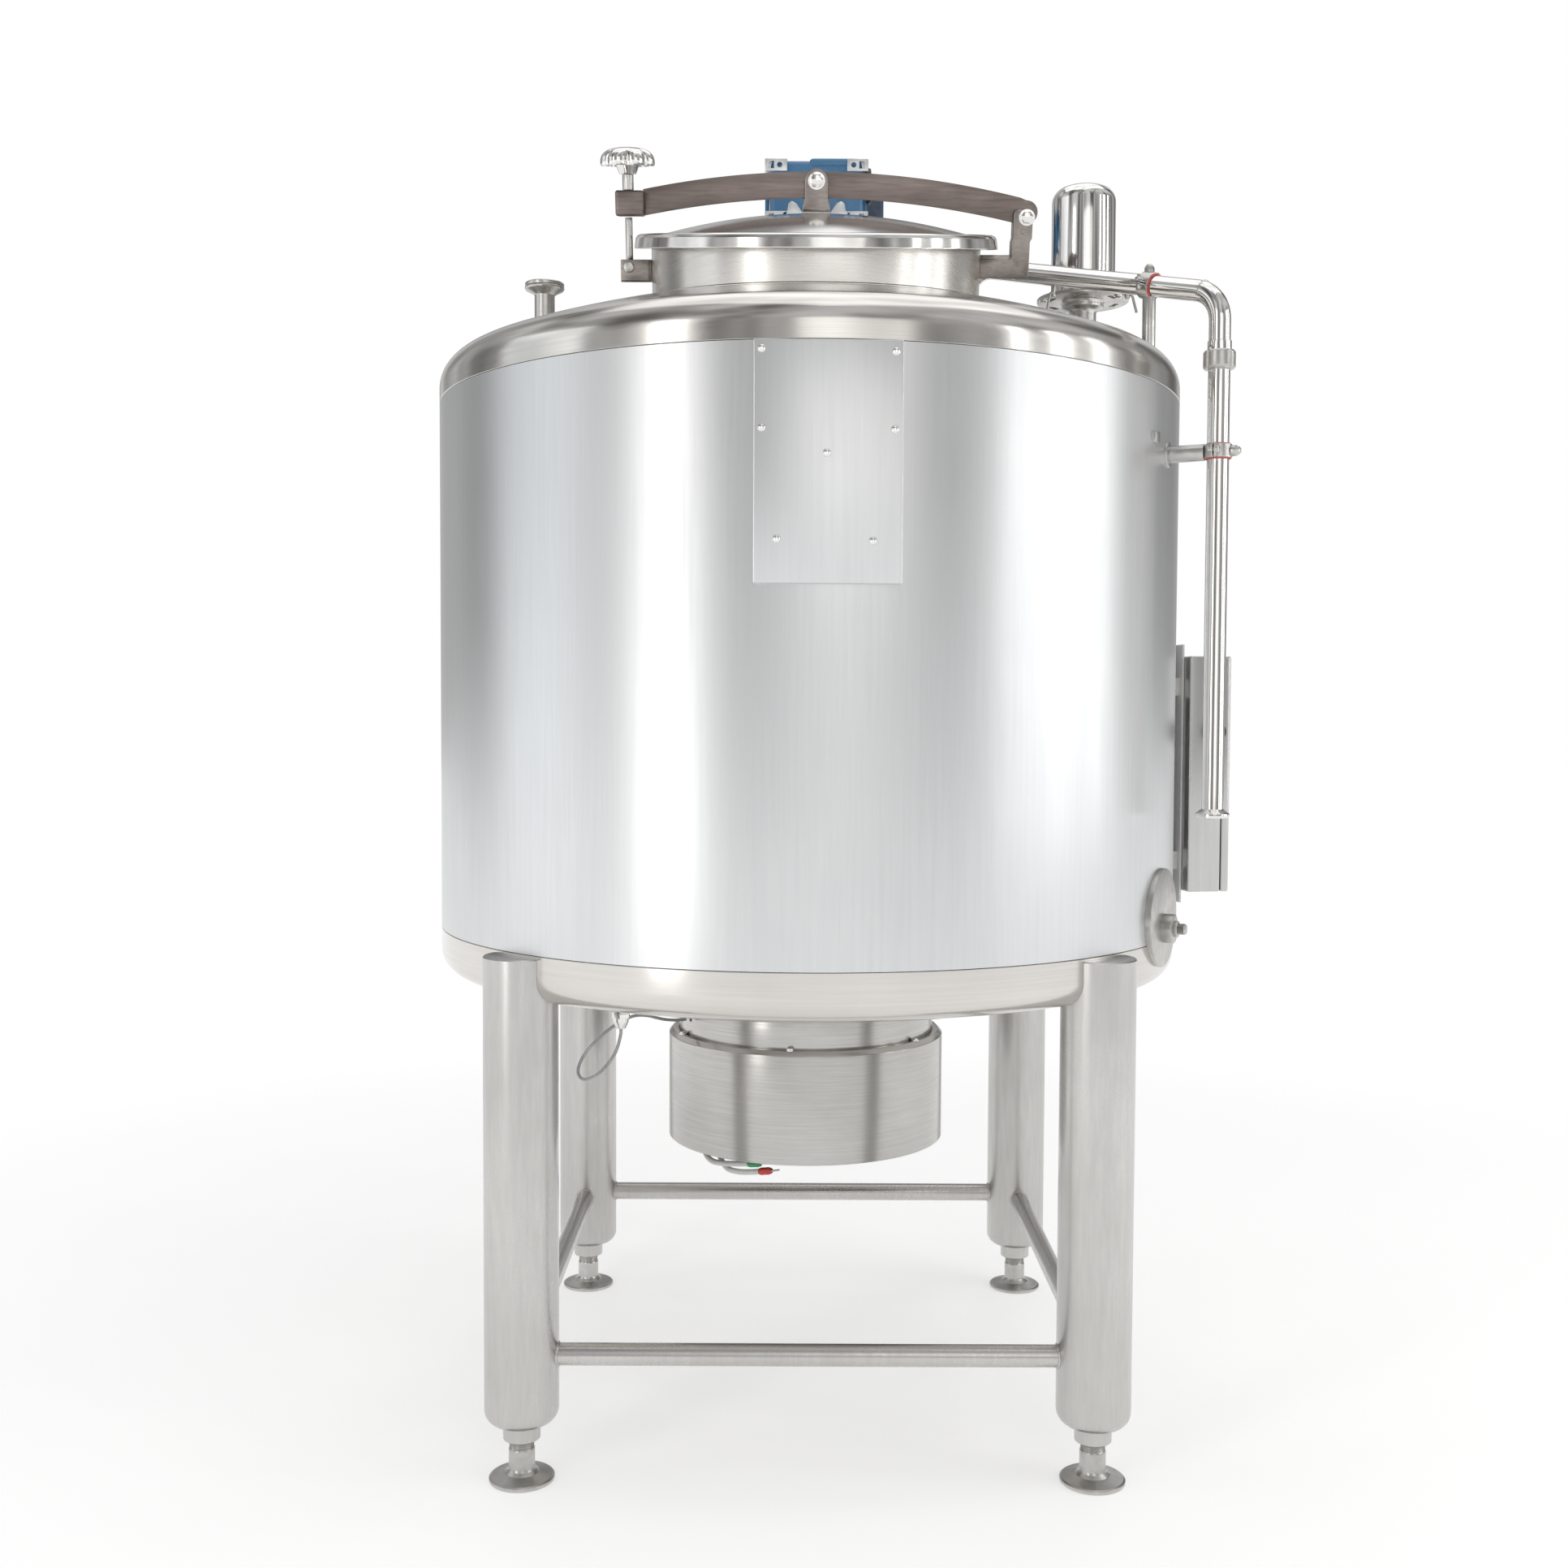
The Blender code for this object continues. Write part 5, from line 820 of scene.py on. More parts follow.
def makeLid():
    radius, rim, apex, crown = lidSetup["radius"], lidSetup["rim"], lidSetup["apex"], lidSetup["crown"]

    def crownHeight(r):
        return rim + (apex - rim) * (1 - (r / crown) ** 2)

    steps = [crown * i / 24 for i in range(25)]
    out = [(r, crownHeight(r)) for r in steps] + [(crown + 0.010, rim - 0.0012)]
    edge = [(radius - 0.014, rim + 0.0002), (radius - 0.009, rim + 0.0010), (radius - 0.0045, rim - 0.0010),
            (radius - 0.0020, rim - 0.0050), (radius - 0.0013, 0.010), (radius - 0.0002, 0.0030),
            (radius, 0.0012),
            (radius - 0.0008, 0.0), (radius - 0.0024, 0.0004), (radius - 0.0036, 0.010),
            (radius - 0.0060, 0.0160),
            (radius - 0.0110, lidSetup["flat"])]
    inside = [(r, max(lidSetup["flat"], crownHeight(r) - lidSetup["skin"])) for r in steps]
    makePiece("manway_lid_dome", [lathe(out + edge + inside[::-1], manwayPlace, 200, soften=0.0006)],
              lidSteel, "lid",
              ("manway_lid",), 50)


barSetup = {"height": 0.038, "thick": 0.009, "left": 0.0665, "middle": 0.0925, "right": 0.0545,
            "hingeX": 0.318,
            "hingeH": 0.047, "endRadius": 0.0175, "forkOut": -0.303, "forkIn": -0.262, "forkDeep": 0.036,
            "forkLow": 0.0465, "forkHigh": 0.0835, "boltX": -0.2845, "boltRadius": 0.0055}
lugSizes = {"height": 0.098, "wide": 0.035, "base": 0.042, "deep": 0.027, "slot": 0.006}


def barHeight(x):
    left, right = barSetup["forkIn"], barSetup["hingeX"]
    return (barSetup["left"] * (x * (x - right)) / (left * (left - right))
            + barSetup["middle"] * ((x - left) * (x - right)) / (left * right)
            + barSetup["right"] * ((x - left) * x) / ((right - left) * right))


def makeBar():
    half, thick, end = barSetup["height"] / 2, barSetup["thick"] / 2, barSetup["endRadius"]
    start, stop = barSetup["forkIn"], barSetup["hingeX"]
    xs = [start + (stop - start) * i / 60 for i in range(61)]
    under = [(x, barHeight(x) - half + (half - end) * (i == 60)) for i, x in enumerate(xs)]
    over = [(x, barHeight(x) + half - (half - end) * (i == 60)) for i, x in enumerate(xs)]
    cap = [(stop + end * math.cos(math.radians(a)), barHeight(stop) + end * math.sin(math.radians(a)))
           for a in range(-80, 81, 10)]
    bar = plateShape(under + cap + over[::-1], -thick, thick, manwayPlace, 0.0009)
    deep, low, high = barSetup["forkDeep"] / 2, barSetup["forkLow"], barSetup["forkHigh"]
    slot = barSetup["boltRadius"] + 0.0013
    block = boxShape((barSetup["forkOut"], -deep, low), (barSetup["forkIn"] + 0.002, deep, high), manwayPlace,
                     0.0035, 3)
    way = boxShape((barSetup["forkOut"] - 0.02, -slot, 0), (barSetup["boltX"] + slot, slot, 0.2), manwayPlace,
                   0)
    makePiece("pressure_bar_arch", [bar, cutShape(block, way)], barSteel, "bar_arm", ("pressure_bar",))
    bolt = barSetup["boltX"]
    threads = threadProfile(low + 0.0018, 0.131, 0.00175, 0.0053, 0.0046, 0.0009)
    stud = lathe([(0, 0.1325), (0.0045, 0.1325)] + threads + [(0, low + 0.0010)],
                 manwayPlace @ Matrix.Translation((bolt, 0, 0)), 24, soften=0)
    makePiece("clamp_thread", [stud], plainSteel, "bar_arm", ("clamp_stud",), 60)


def roundedEar(half, base, low, centre):
    outline = [(base, low), (base, low + 0.007), (base - 0.0005, low + 0.011), (half + 0.0008, low + 0.018),
               (half, low + 0.022)]
    outline += [(half * math.cos(math.radians(a)), centre + half * math.sin(math.radians(a)))
                for a in range(0, 181, 9)]
    return outline + [(-half, low + 0.022), (-half - 0.0008, low + 0.018), (-base + 0.0005, low + 0.011),
                      (-base, low + 0.007), (-base, low)]


def threadProfile(low, high, pitch, crest, root, rise):
    # the zigzag of a thread, from the top down
    points, height = [], low
    while height < high:
        points += [(crest, height), (root, height + rise)]
        height += pitch
    return points[::-1]


def crossHead(x, h, y, radius, height, outward):
    # a hexagon head on a bolt that lies across the bar
    turn = Matrix.Rotation(math.radians(90 if outward < 0 else -90), 4, "X")
    return hexHead(manwayPlace @ Matrix.Translation((x, y, h)) @ turn, radius, height)


def makeLidLug():
    half, base, low = lugSizes["wide"] / 2, lugSizes["base"] / 2, lidSetup["apex"] + 0.0002
    deep, slot = lugSizes["deep"] / 2, lugSizes["slot"]
    outline = roundedEar(half, base, low, lugSizes["height"])
    ears = [plateShape(outline, -deep, -slot, manwayPlace, 0.0012), plateShape(outline, slot, deep,
                                                                               manwayPlace, 0.0012)]
    foot = boxShape((-base, -deep, low), (base, deep, low + 0.006), manwayPlace, 0.001)
    makePiece("lid_lug_ears", ears + [foot], bracketSteel, "lid", ("lid_lug",))
    makePiece("lid_lug_weld", [tubeShape([Vector((x, y, low + 0.0005)) for x, y in
                                          [(-base, -deep), (base, -deep), (base, deep), (-base, deep)]],
                                         0.0014, 8, True,
                                         manwayPlace)], plainSteel, "lid")
    grip = deep + 0.0008
    rod = rodShape((0, -grip, lugSizes["height"]), (0, grip + 0.010, lugSizes["height"]), 0.0058, manwayPlace,
                   24, 0.0006)
    makePiece("lug_bolt_hex", [rod, crossHead(0, lugSizes["height"], -grip, 0.0104, 0.0068, -1),
                               crossHead(0, lugSizes["height"], grip, 0.0104, 0.0085, 1)], mirrorSteel,
              "bar_arm", ("lug_bolt",))


def makeHingeBracket():
    inner, slot, deep = 0.2502, lugSizes["slot"], lugSizes["deep"] / 2
    outline = [(inner, -0.041), (0.3215, -0.041), (0.3245, -0.038), (0.3245, 0.012), (0.3275, 0.017),
               (0.3275, 0.0520),
               (0.3255, 0.0570), (0.3205, 0.059), (0.3055, 0.059), (0.3005, 0.0570), (0.2985, 0.0520),
               (0.2985, 0.017),
               (0.297, 0.012), (0.297, -0.010), (0.294, -0.013), (inner, -0.013)]
    cheeks = [plateShape(outline, -deep, -slot, manwayPlace, 0.001), plateShape(outline, slot, deep,
                                                                                manwayPlace, 0.001)]
    web = boxShape((inner, -slot - 0.001, -0.041), (0.3235, slot + 0.001, -0.007), manwayPlace, 0.001)
    makePiece("hinge_bracket_cheeks", cheeks + [web], bracketSteel, "root", ("hinge_bracket",))
    grip = deep + 0.0008
    rod = rodShape((barSetup["hingeX"], -grip, barSetup["hingeH"]), (barSetup["hingeX"], grip + 0.009,
                                                                     barSetup["hingeH"]), 0.0058,
                   manwayPlace, 24, 0.0006)
    heads = [crossHead(barSetup["hingeX"], barSetup["hingeH"], -grip, 0.0098, 0.0064, -1),
             crossHead(barSetup["hingeX"], barSetup["hingeH"], grip, 0.0098, 0.0080, 1)]
    makePiece("hinge_bolt_hex", [rod] + heads, mirrorSteel, "root", ("hinge_bolt",))
    spot = rodShape((0.313, -deep - 0.0007, 0.027), (0.313, -deep + 0.001, 0.027), 0.0042, manwayPlace, 20,
                    0.0004)
    makePiece("hinge_plug_weld", [spot], bracketSteel)


clampSetup = {"pinH": -0.027, "eye": 0.011, "part": 0.045, "half": 0.016, "low": -0.049, "high": -0.016,
              "cheek": 0.004}
knobSetup = {"low": 0.107, "high": 0.145, "radius": 0.0412, "lobes": 6, "valley": 0.26, "rings": [
    (0.160, 0.00, 0), (0.30, 0.00, 0), (0.33, 0.06, 0), (0.42, 0.30, 0), (0.50, 0.46, 0.2), (0.62, 0.50, 0.5),
                                                                                                  (0.78, 0.42, 0.8),
    (0.90, 0.31, 1.0), (0.965, 0.30, 1.0), (0.995, 0.36, 1.0), (1.0, 0.46, 1.0), (0.985, 0.58, 1.0),
                                                                                                  (0.94, 0.70, 0.95),
    (0.86, 0.80, 0.85), (0.74, 0.885, 0.65), (0.58, 0.945, 0.40), (0.40, 0.98, 0.18), (0.22, 0.997, 0.05),
                                                                                                  (0.10, 1.0, 0)]}


def makeClamp():
    boltX, half = barSetup["boltX"], clampSetup["half"]
    low, high, cheek = clampSetup["low"], clampSetup["high"], clampSetup["cheek"]
    outer, inner = boltX - 0.0125, -0.2504
    sides = [boxShape((outer, y, low), (inner, y + cheek, high), manwayPlace, 0.0012)
             for y in (-half, half - cheek)]
    floor = boxShape((outer, -half, low), (inner, half, low + cheek), manwayPlace, 0.0012)
    back = boxShape((inner - 0.006, -half, low), (inner, half, high), manwayPlace, 0.001)
    pin = rodShape((boltX, -half, clampSetup["pinH"]), (boltX, half + 0.004, clampSetup["pinH"]), 0.0058,
                   manwayPlace, 24, 0.0008)
    head = rodShape((boltX, -half - 0.0046, clampSetup["pinH"]), (boltX, -half + 0.0005, clampSetup["pinH"]),
                    0.008, manwayPlace, 28, 0.0018)
    makePiece("bolt_bracket_cheeks", sides + [floor, back], bracketSteel, "root", ("bolt_bracket",))
    makePiece("bolt_bracket_pin", [pin, head], plainSteel)

    eye = cutShape(rodShape((boltX, -0.005, clampSetup["pinH"]), (boltX, 0.005, clampSetup["pinH"]),
                            clampSetup["eye"],
                            manwayPlace, 40, 0.001),
                   rodShape((boltX, -0.02, clampSetup["pinH"]), (boltX, 0.02, clampSetup["pinH"]), 0.0064,
                            manwayPlace, 32, 0))
    rod = rodShape((boltX, 0, clampSetup["pinH"] + clampSetup["eye"] * 0.8), (boltX, 0, clampSetup["part"]),
                   0.0055, manwayPlace,
                   28, 0.0005)
    makePiece("swing_bolt_rod", [eye, rod], plainSteel, "clamp_bolt", ("swing_bolt",))

    top = manwayPlace @ Matrix.Translation((boltX, 0, 0))
    sleeve = [(0.0061, 0.1065), (0.0085, 0.1065), (0.0085, 0.0842), (0.0061, 0.0842)]
    makePiece("clamp_sleeve_tube", [lathe(sleeve, top, 32, True, 0.0006)], plainSteel, "knob_carrier",
              ("clamp_sleeve",))

    knobLow, tall, radius = knobSetup["low"], knobSetup["high"] - knobSetup["low"], knobSetup["radius"]
    bm = bmesh.new()
    rows = []
    for size, share, depth in knobSetup["rings"]:
        ring = []
        for a in [math.tau * i / 120 for i in range(120)]:
            valley = 1 - abs(math.cos(knobSetup["lobes"] / 2 * a)) ** 0.8
            r = radius * size * (1 - knobSetup["valley"] * depth * valley)
            ring.append(bm.verts.new((r * math.cos(a), r * math.sin(a), knobLow + tall * share)))
        rows.append(ring)
    for a, b in zip(rows, rows[1:]):
        for i in range(120):
            j = (i + 1) % 120
            bm.faces.new((a[i], a[j], b[j], b[i]))
    bore = [bm.verts.new((v.co.x, v.co.y, knobLow + 0.026)) for v in rows[0]]
    for i in range(120):
        j = (i + 1) % 120
        bm.faces.new((bore[i], bore[j], rows[0][j], rows[0][i]))
    bm.faces.new(bore)
    bm.faces.new(rows[-1])
    facesOutward(bm)
    bmesh.ops.transform(bm, matrix=top, verts=bm.verts)
    makePiece("hand_knob_grip", [bm], mirrorSteel, "knob", ("hand_knob",), 60)


makeCollar()
makeLid()
makeBar()
makeLidLug()
makeHingeBracket()
makeClamp()
print("manway made")

# ---------- agitator drive ----------

driveSetup = {"x": 0.013, "y": 0.190, "nozzle": 0.048, "flange": 0.078, "nozzleTop": 1.800,
              "stoolTop": 1.9465}


def makeDrive():
    place = tankPlace @ Matrix.Translation((driveSetup["x"], driveSetup["y"], 0))
    nozzleTop, stoolTop, flange, radius = (driveSetup[k] for k in ("nozzleTop", "stoolTop", "flange",
                                                                   "nozzle"))
    low = domeHeight(driveSetup["y"]) - 0.13
    nozzle = lathe([(radius - 0.003, nozzleTop), (flange, nozzleTop), (flange, nozzleTop - 0.012),
                    (radius + 0.002, nozzleTop - 0.012),
                    (radius, nozzleTop - 0.014), (radius, low), (radius - 0.003, low)], place, 96, True,
                   0.001)
    makePiece("agitator_nozzle_neck", [cutShape(nozzle, lathe(vesselRoom(1), tankPlace, 120, soften=0))],
              plainSteel, "root",
              ("agitator_nozzle",))
    base = nozzleTop + 0.0006
    stool = lathe([(0.044, stoolTop), (0.083, stoolTop), (0.083, stoolTop - 0.010), (0.058, stoolTop - 0.010),
                   (0.055, stoolTop - 0.016),
                   (0.055, base + 0.016), (0.058, base + 0.010), (flange, base + 0.010), (flange, base),
                   (0.044, base)], place, 96, True, 0.001)
    makePiece("drive_stool_casting", [stool], castAluminium, "root", ("drive_stool",))
    repeatPiece("stool_bolts", hexUnit(0.0085, 0.0065), ringPoints(6, 0.0665, base + 0.0108), place,
                mirrorSteel, repeatRadial)

    low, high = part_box("gearbox")
    centre = (Vector(low) + Vector(high)) / 2
    size = (Vector(high) - Vector(low)) / 2
    at = Matrix.Translation(centre)
    w, d, h = size
    core = boxShape((-w + 0.008, -d + 0.006, -h + 0.010), (w - 0.008, d - 0.004, h - 0.003), at, 0.010, 4)
    crest = boxShape((-0.012, -d + 0.004, h - 0.016), (w - 0.012, d - 0.03, h), at, 0.006, 3)
    ribs = [boxShape((x - 0.002, -d + 0.003, -h + 0.022), (x + 0.002, -d + 0.012, h - 0.024), at, 0.0008)
            for x in (-0.045, -0.015, 0.015, 0.045)]
    side = [boxShape((s * w - 0.006 * (s > 0), y - 0.003, -h + 0.018), (s * w + 0.006 * (s < 0), y + 0.003,
                                                                        h - 0.018), at, 0.0008)
            for s in (-1, 1) for y in (-0.06, -0.02, 0.02, 0.06)]
    makePiece("gearbox_housing", [core, crest] + ribs + side, bluePaint, "root", ("gearbox",))

    pads = []
    for sx in (-1, 1):
        for top in (0, 1):
            z0, z1 = (h - 0.024, h - 0.003) if top else (-h, -h + 0.021)
            x0, x1 = (w - 0.036, w) if sx > 0 else (-w, -w + 0.038)
            pad = boxShape((x0, -d, z0), (x1, -d + 0.022, z1), at, 0.0012)
            squareX = sx * (w - 0.011)
            pad = cutShape(pad, boxShape((squareX - 0.0045, -d - 0.01, (z0 + z1) / 2 - 0.0062),
                                         (squareX + 0.0045, -d + 0.010, (z0 + z1) / 2 + 0.0062), at, 0))
            roundX = sx * (w - 0.025)
            pad = cutShape(pad, rodShape((roundX, -d - 0.01, (z0 + z1) / 2),
                                         (roundX, -d + 0.012, (z0 + z1) / 2), 0.0045, at, 24, 0))
            pads.append(pad)
            pads.append(boxShape((x0, d - 0.022, z0), (x1, d, z1), at, 0.0012))
    arcs = []
    for sign in (-1, 1):
        outline = [(sign * 0.020, -h + 0.012), (sign * 0.058, -h + 0.012), (sign * 0.058, -h + 0.018),
                   (sign * 0.050, -h + 0.022),
                   (sign * 0.048, -h + 0.034), (sign * 0.042, -h + 0.038), (sign * 0.034, -h + 0.034),
                   (sign * 0.026, -h + 0.022)]
        outline = outline if sign > 0 else outline[::-1]
        arcs.append(plateShape(outline, -d - 0.0, -d + 0.012, at, 0.0012))
    plate = lathe([(0.030, h + 0.0015), (0.066, h + 0.0015), (0.066, h - 0.004), (0.030, h - 0.004)], at, 64,
                  True, 0.001)
    makePiece("gearbox_pads", pads + arcs + [plate], castAluminium)
    plug = rodShape((-0.006, -d + 0.003, 0.030), (-0.006, -d + 0.010, 0.030), 0.0065, at, 6, 0.0008)
    cap = rodShape((w - 0.001, -d + 0.040, 0.018), (w + 0.006, -d + 0.040, 0.018), 0.030, at, 40, 0.002)
    makePiece("gearbox_caps", [plug, cap], blackPlastic)

    low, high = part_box("motor")
    motorAt = Matrix.Translation((tankX + 0.050, low[1], centre.z)) @ Matrix.Rotation(math.radians(-90), 4,
                                                                                      "X")
    length = high[1] - low[1]
    body = lathe([(0, 0), (0.080, 0), (0.080, 0.012), (0.064, 0.018), (0.066, 0.024), (0.066, length - 0.062),
                  (0.073, length - 0.060),
                  (0.073, length - 0.014), (0.060, length), (0, length)], motorAt, 96, soften=0.002)
    bump = boxShape((0.040, -0.090, 0.050), (0.092, -0.002, 0.150), motorAt, 0.006, 3)
    lidPlate = boxShape((0.0905, -0.086, 0.054), (0.0920, -0.006, 0.146), motorAt, 0.0006)
    makePiece("motor_casing", [body, bump, lidPlate], motorPaint, "root", ("motor",))
    fin = boxShape((-0.002, -0.0011, 0.026), (0.0115, 0.0011, length - 0.066), None, 0.0006, 1)
    repeatPiece("motor_fins", fin, [p for p in ringPoints(40, 0.065) if not (p[0] > 0.040 and p[1] < 0.006)],
                motorAt,
                motorPaint, repeatRadial)
    # vent openings drawn as raised black bars on the end cover: the black is painted shade of the openings
    slots = boxShape((-0.009, -0.0016, -0.0004), (0.009, 0.0016, 0.0006), None, 0.0002, 1)
    rings = [p for r, n in ((0.022, 8), (0.040, 14)) for p in ringPoints(n, r, length + 0.0001)]
    repeatPiece("motor_vents", slots, rings, motorAt, blackPlastic, repeatRadial)


makeDrive()
print("drive made")

# ---------- top fittings and pipes ----------

breatherSetup = {"x": 0.453, "y": 0.0, "radius": 0.052, "low": 1.8003, "high": 1.980, "flange": 0.075,
                 "neck": 0.022,
                "dome": 0.024, "skin": 0.0015, "slots": 6, "slotRadius": 0.057, "boltRadius": 0.070}
pipeSetup = {"radius": 0.016, "wall": 0.0015, "dropX": 0.604, "dropY": -0.300, "bendZ": 1.737, "join": 1.652,
             "low": 0.960,
             "sprayX": 0.262, "sprayY": 0.075, "highZ": 1.872, "bend": 0.052, "sprayLow": 1.560}


def makeBreather():
    place = tankPlace @ Matrix.Translation((breatherSetup["x"], breatherSetup["y"], 0))
    radius, low, high, flange, neck = (breatherSetup[k] for k in ("radius", "low", "high", "flange", "neck"))
    dome, skin = breatherSetup["dome"], breatherSetup["skin"]

    def shoulder(size, degrees):
        return [((radius - dome) + size * math.sin(math.radians(a)),
                 high - dome + size * math.cos(math.radians(a))) for a in degrees]

    cap = lathe([(0, high)] + shoulder(dome, range(6, 91, 7)) + [(radius, low + 0.001),
                                                                 (radius - skin, low + 0.001)]
                + shoulder(dome - skin, range(90, 5, -7)) + [(0, high - skin)], place, 96, soften=0.0004)
    makePiece("breather_cap_dome", [cap], mirrorSteel, "root", ("breather_cap",), 50)
    top = low - 0.0006
    base = domeHeight(breatherSetup["x"]) - 0.003
    plate = lathe([(neck - 0.002, top), (flange, top), (flange, top - 0.0055), (0.036, top - 0.006),
                   (0.034, top - 0.010),
                   (0.034, top - 0.016), (neck + 0.002, top - 0.020), (neck, top - 0.024), (neck, base),
                   (neck - 0.002, base)], place, 96, True, 0.0008)
    for i in range(breatherSetup["slots"]):
        angle = math.tau * i / breatherSetup["slots"] + 0.3
        mid = Vector((breatherSetup["slotRadius"] * math.cos(angle),
                      breatherSetup["slotRadius"] * math.sin(angle), top - 0.003))
        turn = Matrix.Translation(mid) @ Matrix.Rotation(angle, 4, "Z")
        plate = cutShape(plate, boxShape((-0.0045, -0.012, -0.02), (0.0045, 0.012, 0.02), place @ turn,
                                         0.0043, 3))
    makePiece("breather_flange_plate", [plate], plainSteel, "root", ("breather_neck",))
    repeatPiece("breather_bolts", hexUnit(0.0055, 0.004), ringPoints(3, breatherSetup["boltRadius"], 0.0,
                                                                     0.8), place @ Matrix.Translation((0, 0,
                                                                                                       top - 0.0062))
                @ Matrix.Rotation(math.pi, 4, "X"), mirrorSteel, repeatRadial)
    seam = [place @ Vector((x, y, domeHeight(math.hypot(x + breatherSetup["x"], y)))) for x, y,
            _ in ringPoints(40, neck)]
    makePiece("breather_weld", [tubeShape(seam, 0.0022, 8, True)], plainSteel)
    # folded clip handles on both sides of the flange
    clips = []
    for angle in (-2.4, -0.55):
        start = Vector((flange * math.cos(angle), flange * math.sin(angle), top - 0.003))
        away = Vector((math.cos(angle), math.sin(angle), 0))
        path = roundedPath([place @ (start - away * 0.006), place @ (start + away * 0.010),
                            place @ (start + away * 0.018 + Vector((0, 0, -0.030)))], 0.006, 5)
        clips.append(tubeShape(path, 0.0022, 12))
        clips.append(rodShape(start + away * 0.002 + Vector((0, 0, -0.006)), start + away * 0.002
                              + Vector((0, 0, 0.012)), 0.004, place, 16, 0.001))
    makePiece("breather_clips", clips, plainSteel)


inletSetup = {"bore": 0.0145, "neck": 0.016, "shoulder": 0.020, "lip": 0.031, "cover": 0.029, "weld": 0.0165}


def makeInlet():
    bore, neck, shoulder, lip, coverRadius = (inletSetup[k] for k in ("bore", "neck", "shoulder", "lip",
                                                                      "cover"))
    low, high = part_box("inlet_nozzle")
    x, y = (low[0] + high[0]) / 2, (low[1] + high[1]) / 2
    place = Matrix.Translation((x, y, 0))
    top = high[2]
    base = domeHeight(math.hypot(x - tankX, y - tankY)) - 0.004
    nozzle = lathe([(bore, top - 0.0072), (lip, top - 0.0072), (lip + 0.0005, top - 0.0090),
                    (lip - 0.001, top - 0.0115),
                    (shoulder, top - 0.0165), (neck, top - 0.0200), (neck, base), (bore, base)], place, 64,
                   True, 0.0004)
    cover = lathe([(0, top), (coverRadius, top), (lip, top - 0.0015), (lip, top - 0.0060),
                   (coverRadius, top - 0.0070),
                   (0, top - 0.0070)], place, 64, soften=0.0004)
    makePiece("inlet_nozzle_ferrule", [nozzle, cover], plainSteel, "root", ("inlet_nozzle",))
    bead = [Vector((x + px, y + py, domeHeight(math.hypot(x + px - tankX, y + py - tankY))))
            for px, py, _ in ringPoints(36, inletSetup["weld"])]
    makePiece("inlet_weld", [tubeShape(bead, 0.002, 8, True)], plainSteel)


def makePipes():
    radius, join = pipeSetup["radius"], pipeSetup["join"]
    lowEnd = Vector(onTank(pipeSetup["dropX"], pipeSetup["dropY"], pipeSetup["bendZ"]))
    highEnd = Vector(onTank(pipeSetup["sprayX"], pipeSetup["sprayY"], pipeSetup["highZ"]))
    path = roundedPath([onTank(pipeSetup["dropX"], pipeSetup["dropY"], join + 0.001), lowEnd, highEnd,
                        onTank(pipeSetup["sprayX"], pipeSetup["sprayY"], pipeSetup["sprayLow"])],
                       pipeSetup["bend"], 14)
    line = tubeShape(path, radius, 40)
    ballAt = Matrix.Translation(onTank(pipeSetup["sprayX"], pipeSetup["sprayY"],
                                       pipeSetup["sprayLow"] - 0.019))
    ball = lathe([(0.032 * math.sin(math.radians(a)), 0.032 * math.cos(math.radians(a)))
                  for a in range(0, 181, 9)], ballAt, 48, soften=0)
    makePiece("wash_pipe_run", [line, ball], mirrorSteel, "root", ("supply_pipe",), 60)
    along = (highEnd - lowEnd).normalized()
    bands = []
    for end, direction, past in ((lowEnd, along, 0.030), (highEnd, -along, 0.062)):
        spot = end + direction * past
        bands.append(rodShape(spot - direction * 0.0012, spot + direction * 0.0012, radius + 0.0006, None, 40,
                              0.0005))
    weldZ = domeHeight(math.hypot(pipeSetup["sprayX"], pipeSetup["sprayY"]))
    bands.append(rodShape(onTank(pipeSetup["sprayX"], pipeSetup["sprayY"], weldZ - 0.004),
                          onTank(pipeSetup["sprayX"], pipeSetup["sprayY"], weldZ + 0.004),
                          radius + 0.003, None, 40, 0.002))
    makePiece("wash_pipe_welds", bands, plainSteel)

    place = Matrix.Translation(onTank(pipeSetup["dropX"], pipeSetup["dropY"], 0))
    low, bore = pipeSetup["low"], radius - pipeSetup["wall"]
    drop = lathe([(bore, join - 0.001), (radius, join - 0.001), (radius, low + 0.013),
                  (radius + 0.004, low + 0.010), (0.0252, low + 0.0062), (0.0252, low),
                  (bore, low)], place, 64, True, 0.0005)
    liner = lathe([(0.0176, join + 0.014), (0.0176, join - 0.0), (radius - 0.0004, join - 0.0),
                   (radius - 0.0004, join + 0.014)][::-1], place, 64, True, 0.0005)
    makePiece("drop_pipe_tube", [drop, liner], mirrorSteel, "root", ("drop_pipe",), 50)
    nutLow = join - 0.027
    nut = lathe([(radius + 0.0004, join), (0.0215, join), (0.0235, join - 0.003), (0.0235, nutLow + 0.003),
                 (0.0215, nutLow), (radius + 0.0004, nutLow)],
                place, 64, True, 0.0006)
    for x, y, z in ringPoints(4, 0.0238, join - 0.0135, 0.5):
        nut = cutShape(nut, rodShape((x, y, z - 0.02), (x, y, z + 0.02), 0.0032, place, 16, 0))
    makePiece("union_ring_nut", [nut], plainSteel)


clampSizes = {"play": 0.0002, "lining": 0.0022, "ring": 0.0045, "half": 0.010, "lip": 0.0015, "screw": 0.0030,
              "post": 0.010, "postAt": 0.131, "wallHeight": 1.504, "stub": 0.0125, "flange": 0.019}


